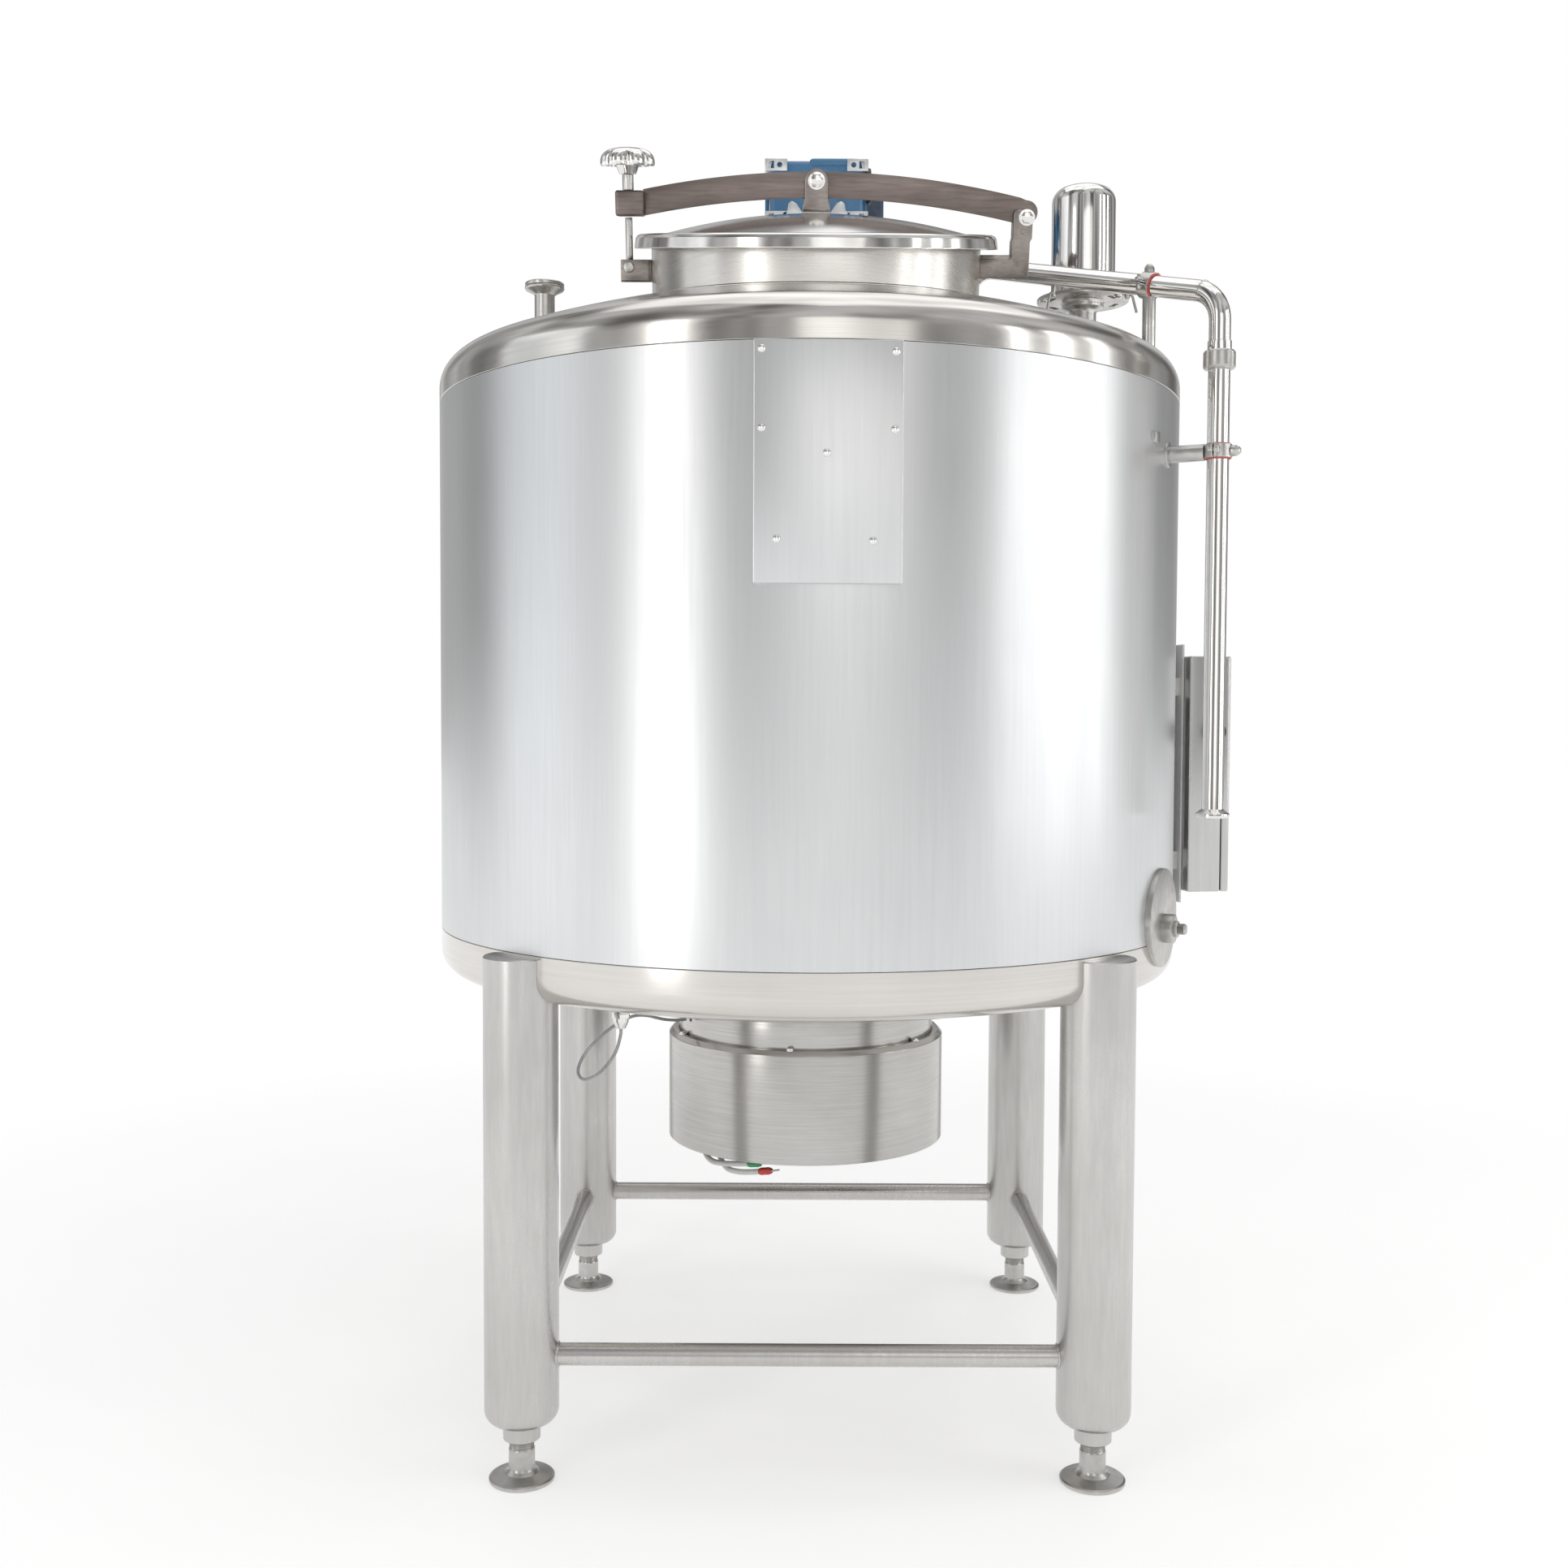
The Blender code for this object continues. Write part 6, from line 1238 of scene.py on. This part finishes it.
def clampRing(centre, axis, name):
    # the round of a split pipe clamp, on its soft lining
    axis = Vector(axis).normalized()
    place = Matrix.Translation(centre) @ turnTo(axis, "X")
    pipe, half, lip = pipeSetup["radius"] + clampSizes["play"], clampSizes["half"], clampSizes["lip"]
    inner, outer = pipeSetup["radius"] + clampSizes["lining"], pipeSetup["radius"] + clampSizes["ring"]
    ring = lathe([(inner, half), (outer, half), (outer, -half), (inner, -half)], place, 48, True, 0.0006)
    lining = lathe([(pipe, half + lip), (inner, half + lip), (inner + 0.0012, half + 0.0004),
                    (inner + 0.0012, half), (inner, half),
                    (inner, -half), (inner + 0.0012, -half), (inner + 0.0012, -half - 0.0004),
                    (inner, -half - lip), (pipe, -half - lip)],
                   place, 48, True, 0.0003)
    makePiece(name + "_lining", [lining], redRubber)
    return ring, outer, half


def sidesOf(first, second):
    # x and y along two directions, z kept upright
    return Matrix(((first.x, second.x, 0, 0), (first.y, second.y, 0, 0), (first.z, second.z, 1, 0),
                   (0, 0, 0, 1)))


def makeSupports():
    lowEnd = Vector(onTank(pipeSetup["dropX"], pipeSetup["dropY"], pipeSetup["bendZ"]))
    highEnd = Vector(onTank(pipeSetup["sprayX"], pipeSetup["sprayY"], pipeSetup["highZ"]))
    along = (highEnd - lowEnd).normalized()
    centre = lowEnd + along * clampSizes["postAt"]
    ring, outer, half = clampRing(centre, along, "post_clamp")
    ground = domeHeight(min(0.56, math.hypot(centre.x - tankX, centre.y - tankY)))
    post = rodShape((centre.x, centre.y, ground - 0.01),
                    (centre.x, centre.y, centre.z - pipeSetup["radius"] - 0.002), clampSizes["post"], None,
                    32, 0.001)
    up = Vector((0, 0, 1))
    across = along.cross(up).normalized()
    ears, screws = [], []
    for side in (-1, 1):
        spot = centre + across * side * (outer + 0.0065)
        earPlace = Matrix.Translation(spot) @ sidesOf(across, along)
        ears += [boxShape((-0.0085, -half, z), (0.0075, half, z + 0.0022), earPlace, 0.0008)
                 for z in (-0.0032, 0.0010)]
        screws.append(rodShape(spot + up * -0.010, spot + up * 0.012, clampSizes["screw"], None, 16, 0.0006))
        screws.append(hexHead(Matrix.Translation(spot + up * 0.0034), 0.0062, 0.005))
    nut = lathe([(0, outer + 0.012), (0.0035, outer + 0.0118), (0.0062, outer + 0.009),
                 (0.0078, outer + 0.006), (0.0078, outer - 0.001), (0, outer - 0.001)],
                Matrix.Translation(centre), 6, soften=0)
    makePiece("post_clamp_metal", [ring, post] + ears + screws + [nut], plainSteel, "root", ("pipe_post",))

    angle = math.atan2(pipeSetup["dropY"], pipeSetup["dropX"])
    out = Vector((math.cos(angle), math.sin(angle), 0))
    centre = Vector(onTank(pipeSetup["dropX"], pipeSetup["dropY"], clampSizes["wallHeight"]))
    ring, outer, half = clampRing(centre, (0, 0, 1), "wall_clamp")
    wall = Vector(onTank(0, 0, clampSizes["wallHeight"])) + out * (tankRadius - 0.003)
    stub = rodShape(wall, centre - out * (outer - 0.001), clampSizes["stub"], None, 40, 0.001)
    flange = rodShape(wall + out * 0.002, wall + out * 0.0055, clampSizes["flange"], None, 40, 0.0012)
    across = Vector((-out.y, out.x, 0))
    ears, screws = [], []
    for side in (-1, 1):
        spot = centre + across * side * (outer + 0.006)
        earPlace = Matrix.Translation(spot) @ sidesOf(out, across)
        ears += [boxShape((x, -0.008, -half), (x + 0.0022, 0.008, half), earPlace, 0.0008)
                 for x in (-0.0034, 0.0012)]
        screws.append(rodShape(spot - out * 0.010, spot + out * 0.010, clampSizes["screw"], None, 16, 0.0006))
        screws.append(hexHead(Matrix.Translation(spot + out * 0.0036) @ turnTo(out), 0.0060, 0.0048))
    acorn = lathe([(0, 0.0135), (0.0035, 0.0128), (0.0060, 0.0105), (0.0070, 0.0075), (0.0082, 0.0065),
                   (0.0082, -0.001), (0, -0.001)],
                  Matrix.Translation(centre + out * outer) @ turnTo(out), 24, soften=0.0006)
    makePiece("wall_clamp_metal", [ring, stub, flange, acorn] + ears + screws, plainSteel, "root",
              ("wall_clamp",))


makeBreather()
makeInlet()
makePipes()
makeSupports()
print("top fittings made")

# ---------- stand ----------

legSetup = {"at": 0.4148, "radius": 0.054, "wall": 0.003, "top": 0.765, "low": 0.085, "boss": 0.027,
            "bossLow": 0.061,
            "stem": 0.019, "rail": 0.016, "railZ": 0.184}
footSetup = {"radius": 0.0475, "thick": 0.007, "stemTop": 0.097}


def makeStand():
    at, radius, top, low = (legSetup[k] for k in ("at", "radius", "top", "low"))
    envelope = headProfile(tankRadius + 0.0002, headShape["bottomKnuckle"], headShape["bottomCrown"],
                           headShape["bottomTangent"], -1, 20, 12)
    solid = [(0, 0.9), (tankRadius + 0.0002, 0.9)] + envelope[::-1]
    sides = {"front_left": (-1, -1), "front_right": (1, -1), "back_left": (-1, 1), "back_right": (1, 1)}
    for side, (sx, sy) in sides.items():
        place = Matrix.Translation(onTank(sx * at, sy * at, 0))
        boss, bossLow, stem = legSetup["boss"], legSetup["bossLow"], legSetup["stem"] + 0.0004
        profile = [(0, top), (radius - 0.0015, top), (radius, top - 0.0015), (radius, low + 0.022)]
        profile += [(radius - 0.022 + 0.022 * math.cos(math.radians(a)),
                     low + 0.022 - 0.022 * math.sin(math.radians(a))) for a in range(10, 91, 10)]
        profile += [(boss + 0.001, low - 0.0004), (boss, low - 0.002), (boss, bossLow + 0.001),
                    (boss - 0.001, bossLow), (stem, bossLow), (stem, low + 0.014), (0, low + 0.014)]
        leg = cutShape(lathe(profile, place, 96, soften=0.0), lathe(solid, tankPlace, 160, soften=0))
        makePiece(f"leg_{side}_tube", [leg], legSteel, "root", (f"leg_{side}",), 40)
        footRadius, thick = footSetup["radius"], footSetup["thick"]
        threads = threadProfile(0.048, footSetup["stemTop"] - 0.003, 0.0025, 0.0180, 0.0166, 0.0012)
        foot = lathe([(0, footSetup["stemTop"]), (0.0160, footSetup["stemTop"])] + threads
                     + [(0.0190, 0.046), (0.0190, 0.019), (0.0205, 0.016), (0.0250, 0.0115), (0.036, 0.0085),
                        (footRadius - 0.003, thick), (footRadius, thick - 0.002),
                        (footRadius, 0.001), (footRadius - 0.001, 0), (0, 0)], place, 72, soften=0.0004)
        makePiece(f"foot_{side}_disc", [foot], plainSteel, f"foot_{side}", (f"foot_{side}",), 40)
    for side, (start, end) in {"front": ((-1, -1), (1, -1)), "back": ((-1, 1), (1, 1)),
                               "left": ((-1, -1), (-1, 1)),
                               "right": ((1, -1), (1, 1))}.items():
        a, b = (Vector(onTank(sx * at, sy * at, legSetup["railZ"])) for sx, sy in (start, end))
        along = (b - a).normalized()
        bar = tubeShape([a + along * (radius - 0.003), b - along * (radius - 0.003)], legSetup["rail"], 48)
        beads = []
        for spot, direction in ((a, along), (b, -along)):
            across = direction.cross(Vector((0, 0, 1)))
            ring = [spot + direction * math.sqrt(radius ** 2 - out ** 2) + across * out + Vector((0, 0, up))
                    for out, up, _ in ringPoints(40, legSetup["rail"])]
            beads.append(tubeShape(ring, 0.0022, 8, True))
        makePiece(f"rail_{side}_tube", [bar] + beads, legSteel, "root", (f"rail_{side}",), 50)


makeStand()
print("stand made")

# ---------- cover plate, cabinet and port ----------

plateSetup = {"wide": 0.196, "low": 1.284, "high": 1.600, "face": 0.607, "turn": 1.7,
              "screws": [(0.0106, 0.0127), (0.186, 0.015), (0.0106, 0.115), (0.185, 0.116), (0.096, 0.147),
                         (0.0306, 0.259), (0.157, 0.261)]}


def makeCoverPlate():
    place = tankPlace @ Matrix.Rotation(math.radians(plateSetup["turn"]), 4, "Z")
    half, face = plateSetup["wide"] / 2, plateSetup["face"]
    sheet = boxShape((-half, -face, plateSetup["low"]), (half, -face + 0.026, plateSetup["high"]), place,
                     0.0016, 3)
    inside = boxShape((-half + 0.0015, -face + 0.0015, plateSetup["low"] + 0.0015),
                      (half - 0.0015, -0.5, plateSetup["high"] - 0.0015), place, 0)
    tankBody = lathe([(0, 1.62), (tankRadius + 0.0001, 1.62), (tankRadius + 0.0001, 1.2), (0, 1.2)],
                     tankPlace, 360, soften=0)
    cover = cutShape(cutShape(sheet, inside), tankBody)
    makePiece("cover_plate_sheet", [cover], shellSteel, "root", ("front_plate",))
    dome = lathe([(0, 0.0030), (0.0018, 0.0029), (0.0036, 0.0022), (0.0050, 0.0010), (0.0055, 0.0),
                  (0.0055, -0.0006), (0, -0.0006)], None, 24, soften=0)
    cross = [boxShape((-0.0021, -0.0005, 0.0021), (0.0021, 0.0005, 0.005), None, 0),
             boxShape((-0.0005, -0.0021, 0.0021), (0.0005, 0.0021, 0.005), None, 0)]
    for cutter in cross:
        dome = cutShape(dome, cutter)
    facing = place @ Matrix.Translation((0, -face, 0)) @ Matrix.Rotation(math.radians(90), 4, "X")
    spots = [(-half + x, plateSetup["high"] - z, 0) for x, z in plateSetup["screws"]]
    repeatPiece("cover_plate_screws", dome, spots, facing, mirrorSteel, repeatUpright, smooth=50)
    # small tab on the wall near the drop pipe
    tabTurn = tankPlace @ Matrix.Rotation(math.radians(-33), 4, "Z")
    tab = boxShape((tankRadius - 0.002, -0.009, 1.513), (tankRadius + 0.006, 0.009, 1.529), tabTurn, 0.001)
    makePiece("wall_tab", [tab], plainSteel)


cabinetSetup = {"turn": 10.0, "wide": 0.300, "low": 0.820, "high": 1.210, "back": 0.6145, "front": 0.686,
                "door": 0.014, "hinge": 0.6523,
                "switchZ": 1.086, "switchOut": 0.655}


def makeCabinet():
    place = tankPlace @ Matrix.Rotation(math.radians(cabinetSetup["turn"]), 4, "Z")
    half, low, high = cabinetSetup["wide"] / 2, cabinetSetup["low"], cabinetSetup["high"]
    back, front, door = cabinetSetup["back"], cabinetSetup["front"], cabinetSetup["door"]
    bodyFront = front - door - 0.0008
    box = cutShape(boxShape((back, -half, low), (bodyFront, half, high), place, 0.003, 3),
                   boxShape((back + 0.002, -half + 0.002, low + 0.002), (bodyFront + 0.05, half - 0.002,
                                                                         high - 0.002), place, 0))
    panel = boxShape((back + 0.004, -half + 0.025, low + 0.025), (back + 0.006, half - 0.025, high - 0.025),
                     place, 0.0005)
    makePiece("cabinet_box", [box, panel], cabinetSteel, "root", ("cabinet_body",))
    gear = [boxShape((back + 0.006, y, z), (back + 0.040, y + 0.034, z + 0.075), place, 0.002)
            for y in (-0.10, -0.06, -0.02, 0.05) for z in (0.88, 1.05)]
    makePiece("cabinet_gear", gear, blackPlastic)
    leaf = boxShape((front - door, -half, low), (front, half, high), place, 0.0035, 3)
    makePiece("cabinet_door_leaf", [leaf], cabinetSteel, "door", ("cabinet_door",))
    lock = [rodShape((front - 0.0005, -half + 0.020, z), (front + 0.0018, -half + 0.020, z), 0.0095, place,
                     32, 0.0006) for z in (low + 0.08, high - 0.08)]
    makePiece("door_locks", lock, mirrorSteel, "door")
    # key slots drawn as raised black bars on the lock faces: the black is painted shade of the slot recesses
    slots = [boxShape((front + 0.0012, -half + 0.0155, z - 0.001), (front + 0.0022, -half + 0.0245,
                                                                    z + 0.001), place, 0.0002)
             for z in (low + 0.08, high - 0.08)]
    makePiece("door_lock_slots", slots, blackPlastic, "door")
    hinge, side = cabinetSetup["hinge"], half + 0.0035
    hinges, straps = [], []
    for z in (low + 0.05, high - 0.095):
        hinges += [rodShape((hinge, side, a), (hinge, side, b), 0.0033, place, 20, 0.0006) for a,
                   b in ((z, z + 0.014), (z + 0.031, z + 0.045))]
        straps.append(rodShape((hinge, side, z + 0.0145), (hinge, side, z + 0.0305), 0.0033, place, 20,
                               0.0006))
        straps.append(boxShape((hinge, side + 0.0010, z + 0.0145), (front - 0.003, side + 0.0028, z + 0.0305),
                               place, 0.0004))
        straps.append(boxShape((front - door + 0.002, half - 0.001, z + 0.0145),
                               (front - 0.003, side + 0.0012, z + 0.0305), place, 0.0004))
    makePiece("door_hinges", hinges, plainSteel)
    makePiece("door_straps", straps, plainSteel, "door")
    mount = [boxShape((back - 0.0043, -half + 0.025, 0.800), (back - 0.0003, half - 0.025, 1.230), place,
                      0.001)]
    reach = math.sqrt(tankRadius ** 2 - (half - 0.035) ** 2) - 0.004
    for z in (low + 0.05, high - 0.05):
        for y in (-half + 0.035, half - 0.065):
            mount.append(boxShape((reach, y, z - 0.015), (back - 0.004, y + 0.030, z + 0.015), place, 0.001))
    makePiece("cabinet_mount_plate", mount, paleZinc, "root", ("cabinet_mount",))
    heads = [(0, y, z) for y in (-half + 0.05, half - 0.05) for z in (0.809, 1.221)]
    repeatPiece("mount_screws", hexUnit(0.0052, 0.004), [(-z, y, 0) for _, y, z in heads],
                place @ Matrix.Translation((back, 0, 0)) @ Matrix.Rotation(math.radians(90), 4, "Y"),
                mirrorSteel, repeatUpright)

    knobPlace = place @ Matrix.Translation((cabinetSetup["switchOut"], -half,
                                            cabinetSetup["switchZ"])) @ Matrix.Rotation(math.radians(90), 4,
                                                                                        "X")
    knob = lathe([(0, 0.018), (0.0145, 0.018), (0.0160, 0.016), (0.0175, 0.004), (0.0185, 0.0008),
                  (0.005, 0.0006), (0.005, -0.009), (0, -0.009)], knobPlace, 48, soften=0.0008)
    grip = boxShape((-0.0035, -0.0145, 0.015), (0.0035, 0.0145, 0.032), knobPlace, 0.0022, 3)
    makePiece("isolator_knob_grip", [knob, grip], blackPlastic, "switch", ("isolator_knob",))


portSetup = {"turn": -27.0, "z": 0.806, "radius": 0.075, "face": 0.606, "hub": 0.022, "hubFace": 0.622,
             "drop": 0.016,
             "well": 0.0118, "pitch": 0.00125, "thread": 0.0085, "root": 0.0076}


def makePort():
    place = tankPlace @ Matrix.Rotation(math.radians(portSetup["turn"]), 4, "Z")
    z, face = portSetup["z"], portSetup["face"]
    skin, foot = tankRadius + 0.0001, headShape["bottomTangent"]
    tankBody = lathe([(0, 1.0), (skin, 1.0), (skin, foot), (0, foot)], tankPlace, 360, soften=0)
    disc = cutShape(rodShape((tankRadius - 0.02, 0, z), (face, 0, z), portSetup["radius"], place, 96, 0.0014),
                    tankBody)
    low = z - portSetup["drop"]
    hub = rodShape((face - 0.002, 0, low), (portSetup["hubFace"], 0, low), portSetup["hub"], place, 48,
                   0.0015)
    collar = rodShape((portSetup["hubFace"] - 0.001, 0, low), (portSetup["hubFace"] + 0.006, 0, low), 0.0125,
                      place, 6, 0.0008)
    turn = place @ Matrix.Translation((portSetup["hubFace"] + 0.005, 0,
                                       low)) @ Matrix.Rotation(math.radians(90), 4, "Y")
    threads = threadProfile(0.0, 0.0105, portSetup["pitch"], portSetup["thread"], portSetup["root"], 0.0006)
    tip = lathe([(0, 0.0125), (0.0070, 0.0125)] + threads + [(0, 0)], turn, 32, soften=0)
    makePiece("sample_port_disc", [disc, hub, collar, tip], plainSteel, "root", ("sample_port",), 40)
    well = rodShape((0.470, 0, z), (0.60, 0, z), portSetup["well"], place, 32, 0.002)
    makePiece("sample_port_well", [well], plainSteel)


makeCoverPlate()
makeCabinet()
makePort()
print("covers and cabinet made")

# ---------- bottom fittings ----------

shroudSetup = {"radius": 0.229, "low": 0.410, "high": 0.588, "chamfer": 0.007, "skirt": 0.212,
               "skirtLow": 0.560, "wall": 0.002}
outletSetup = {"radius": 0.0255, "z": 0.480, "bend": 0.060, "end": 0.300, "valve": 0.052,
               "valveRadius": 0.040}


def makeShroud():
    radius, low, high, chamfer, wall, skirt = (shroudSetup[k] for k in ("radius", "low", "high", "chamfer",
                                                                        "wall", "skirt"))
    cup = lathe([(skirt + 0.0006, high), (radius - chamfer, high), (radius, high - chamfer), (radius, low),
                 (radius - wall, low),
                 (radius - wall, high - chamfer - 0.001), (radius - chamfer - 0.001, high - wall),
                 (skirt + 0.0006, high - wall)], tankPlace, 160, True, 0.001)
    way = rodShape((0, radius - 0.05, outletSetup["z"]), (0, radius + 0.05, outletSetup["z"]),
                   outletSetup["radius"] + 0.003, tankPlace, 48, 0)
    makePiece("shroud_cup", [cutShape(cup, way)], shroudSteel, "root", ("shroud",), 40)
    top = bellyHeight(skirt) + 0.001
    ring = lathe([(skirt - wall, top), (skirt, top), (skirt, shroudSetup["skirtLow"]),
                  (skirt - wall, shroudSetup["skirtLow"])], tankPlace, 160, True, 0.0005)
    last, before = (Vector(onTank(*p)) for p in (sensorCable["route"][-1], sensorCable["route"][-2]))
    entry = rodShape(last + (before - last) * 2, last - (before - last), 0.0052, None, 24, 0)
    makePiece("skirt_ring_band", [cutShape(ring, entry)], shroudSteel, "root", ("skirt_ring",), 40)
    bead = [Vector(onTank(*p)) for p in ringPoints(120, skirt, bellyHeight(skirt))]
    makePiece("skirt_weld", [tubeShape(bead, 0.0018, 8, True)], headSteel)
    repeatPiece("shroud_screws", hexUnit(0.005, 0.0035), ringPoints(6, 0.2185, high + 0.0006, 0.4), tankPlace,
                mirrorSteel, repeatRadial)


def makeOutlet():
    path = roundedPath([onTank(0, 0, bottomApex + 0.060), onTank(0, 0, outletSetup["z"]),
                        onTank(0, outletSetup["end"], outletSetup["z"])],
                       outletSetup["bend"], 14)
    makePiece("outlet_pipe_bend", [tubeShape(path, outletSetup["radius"], 48)], plainSteel, "root",
              ("outlet_pipe",), 50)
    turn = tankPlace @ Matrix.Translation((0, outletSetup["end"] + 0.0003,
                                           outletSetup["z"])) @ Matrix.Rotation(math.radians(-90), 4, "X")
    big, length, bore = outletSetup["valveRadius"], outletSetup["valve"], outletSetup["radius"] - 0.0015
    body = lathe([(bore, length), (big - 0.006, length), (big - 0.006, length - 0.006),
                  (big - 0.012, length - 0.011), (big - 0.010, length / 2 + 0.010),
                  (big, length / 2 + 0.008), (big, length / 2 - 0.008), (big - 0.010, length / 2 - 0.010),
                  (big - 0.012, 0.011), (big - 0.006, 0.006),
                  (big - 0.006, 0), (bore, 0)], turn, 64, True, 0.001)
    makePiece("valve_body_halves", [body], mirrorSteel, "root", ("valve_body",))
    middle = outletSetup["end"] + 0.0003 + length / 2
    place = tankPlace @ Matrix.Translation((0, middle, outletSetup["z"]))
    disc = lathe([(0, 0.0022), (bore - 0.0016, 0.0010), (bore - 0.0016, -0.0010), (0, -0.0022)],
                 place @ Matrix.Rotation(math.radians(90), 4, "X"), 64, soften=0.0006)
    stem = rodShape((0, 0, bore - 0.006), (0, 0, 0.0645), 0.0056, place, 24, 0.0008)
    lever = [boxShape((-0.011, -0.011, 0.0592), (0.030, 0.011, 0.0648), place, 0.002),
             rodShape((0.026, 0, 0.062), (0.118, 0, 0.062), 0.0058, place, 24, 0.002)]
    makePiece("valve_handle", [disc, stem] + lever, plainSteel, "valve", ("valve_spindle",))


def makeGlands():
    low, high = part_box("sensor_gland")
    x, y, z = (low[0] + high[0]) / 2, (low[1] + high[1]) / 2, low[2]
    base = bellyHeight(math.hypot(x - tankX, y - tankY))
    place = Matrix.Translation((x, y, 0))
    nut = lathe([(0, base + 0.02), (0.0118, base + 0.02), (0.0118, base - 0.002), (0.0125, base - 0.002),
                 (0.0125, base - 0.004), (0, base - 0.004)], place, 32, soften=0.0005)
    hexes = rodShape((0, 0, base - 0.004), (0, 0, base - 0.014), 0.0146, place, 6, 0.0008)
    cone = lathe([(0, base - 0.013), (0.0120, base - 0.013), (0.0115, base - 0.020), (0.0085, z + 0.003),
                  (0.0070, z), (0, z)], place, 32, soften=0.0008)
    makePiece("sensor_gland_nut", [nut, hexes, cone], mirrorSteel, "root", ("sensor_gland",))
    low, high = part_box("heater_block")
    x, y = (low[0] + high[0]) / 2, (low[1] + high[1]) / 2
    radius = (high[0] - low[0]) / 2
    place = Matrix.Translation((x, y, 0))
    block = lathe([(0, high[2]), (radius, high[2]), (radius, low[2] + 0.004), (radius - 0.004, low[2]),
                   (0, low[2])], place, 48, soften=0.001)
    makePiece("heater_block_case", [block], blackPlastic, "root", ("heater_block",))


makeShroud()
makeOutlet()
makeGlands()
print("bottom fittings made")

# ---------- pieces kept from the frame ----------

for nodeName, finish in {"insulation": sealRubber, "agitator": plainSteel}.items():
    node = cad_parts[nodeName]
    for slot in node.material_slots:
        slot.material = finish

# ---------- floor and light ----------

lightSetup = {
    "keyLeft": {"at": (-2.45, -3.05, 1.7), "size": (0.60, 3.0), "power": 17, "tint": (1.0, 0.985, 0.96)},
    "frontSoft": {"at": (0.9, -4.4, 2.3), "size": (2.4, 2.0), "power": 12, "tint": (1.0, 0.985, 0.96)},
    "windowA": {"at": (2.9, -1.9, 1.9), "size": (0.20, 2.2), "power": 5, "tint": (1.0, 1.0, 1.0)},
    "windowB": {"at": (3.2, -1.1, 1.9), "size": (0.32, 2.2), "power": 8, "tint": (1.0, 1.0, 1.0)},
    "windowC": {"at": (3.4, -0.2, 1.9), "size": (0.26, 2.2), "power": 7, "tint": (1.0, 1.0, 1.0)},
    "softLeft": {"at": (-3.8, -0.6, 2.0), "size": (2.2, 3.0), "power": 12, "tint": (0.93, 0.97, 1.0)},
    "overhead": {"at": (0.2, 0.2, 4.6), "size": (3.6, 3.6), "power": 34, "tint": (1.0, 1.0, 1.0)},
}


def makeLights():
    for name, setup in lightSetup.items():
        light = bpy.data.lights.new(name, "AREA")
        light.shape = "RECTANGLE"
        light.size, light.size_y = setup["size"]
        light.energy = setup["power"]
        light.color = setup["tint"]
        lamp = bpy.data.objects.new(name, light)
        scene.collection.objects.link(lamp)
        spot = Vector(onTank(*setup["at"]))
        lamp.matrix_world = Matrix.Translation(spot) @ (Vector(onTank(0, 0, 1.1)) - spot).to_track_quat("-Z",
                                                                                                        "Y").to_matrix().to_4x4()


worldSetup = {"stretch": (3.0, 3.0, 0.5), "strength": 0.85,
              "ramp": [(0.36, (0.13, 0.125, 0.12)), (0.62, (0.78, 0.78, 0.78))]}


def makeWorld():
    scene.view_settings.view_transform = "Standard"
    world = bpy.data.worlds.new("studio")
    scene.world = world
    world.use_nodes = True
    tree = world.node_tree
    out, room = tree.nodes["World Output"], tree.nodes["Background"]
    coords = addNode(tree, "ShaderNodeTexCoord")
    stretch = addNode(tree, "ShaderNodeMapping", coords.outputs["Generated"], Scale=worldSetup["stretch"])
    noise = addNode(tree, "ShaderNodeTexNoise", stretch.outputs["Vector"], Scale=1.4, Detail=2)
    ramp = addNode(tree, "ShaderNodeValToRGB", noise.outputs["Fac"])
    for element, (position, colour) in zip(ramp.color_ramp.elements, worldSetup["ramp"]):
        element.position, element.color = position, (*colour, 1)
    tree.links.new(ramp.outputs["Color"], room.inputs["Color"])
    room.inputs["Strength"].default_value = worldSetup["strength"]
    white = addNode(tree, "ShaderNodeBackground", (1, 1, 1, 1), 1.0)
    ray = addNode(tree, "ShaderNodeLightPath")
    mix = addNode(tree, "ShaderNodeMixShader", ray.outputs["Is Camera Ray"], room.outputs[0],
                  white.outputs[0])
    tree.links.new(mix.outputs[0], out.inputs["Surface"])


floorSetup = {"colour": 0.86, "glow": 0.42, "fade": (1.2, 3.6)}


def makeFloor():
    bm = bmesh.new()
    bmesh.ops.create_grid(bm, x_segments=1, y_segments=1, size=30)
    bmesh.ops.translate(bm, vec=(0, 0, -0.0006), verts=bm.verts)
    mesh = bpy.data.meshes.new("floor")
    bm.to_mesh(mesh)
    floor = bpy.data.objects.new("floor", mesh)
    scene.collection.objects.link(floor)
    material = bpy.data.materials.new("floorPale")
    material.use_nodes = True
    shader = material.node_tree.nodes["Principled BSDF"]
    # further out, the floor fades into the white room
    tree = material.node_tree
    coords = addNode(tree, "ShaderNodeTexCoord")
    distance = addNode(tree, "ShaderNodeVectorMath", coords.outputs["Object"], operation="LENGTH")
    for socket, near, far in (("Base Color", floorSetup["colour"], 0.04),
                              ("Emission Strength", floorSetup["glow"], 0.99)):
        fade = addNode(tree, "ShaderNodeMapRange", distance.outputs["Value"], *floorSetup["fade"], near, far)
        fade.interpolation_type = "SMOOTHSTEP"
        tree.links.new(fade.outputs["Result"], shader.inputs[socket])
    shader.inputs["Roughness"].default_value = 0.9
    shader.inputs["Emission Color"].default_value = (1, 1, 1, 1)
    mesh.materials.append(material)


makeLights()
makeWorld()
makeFloor()
print("light and floor made")
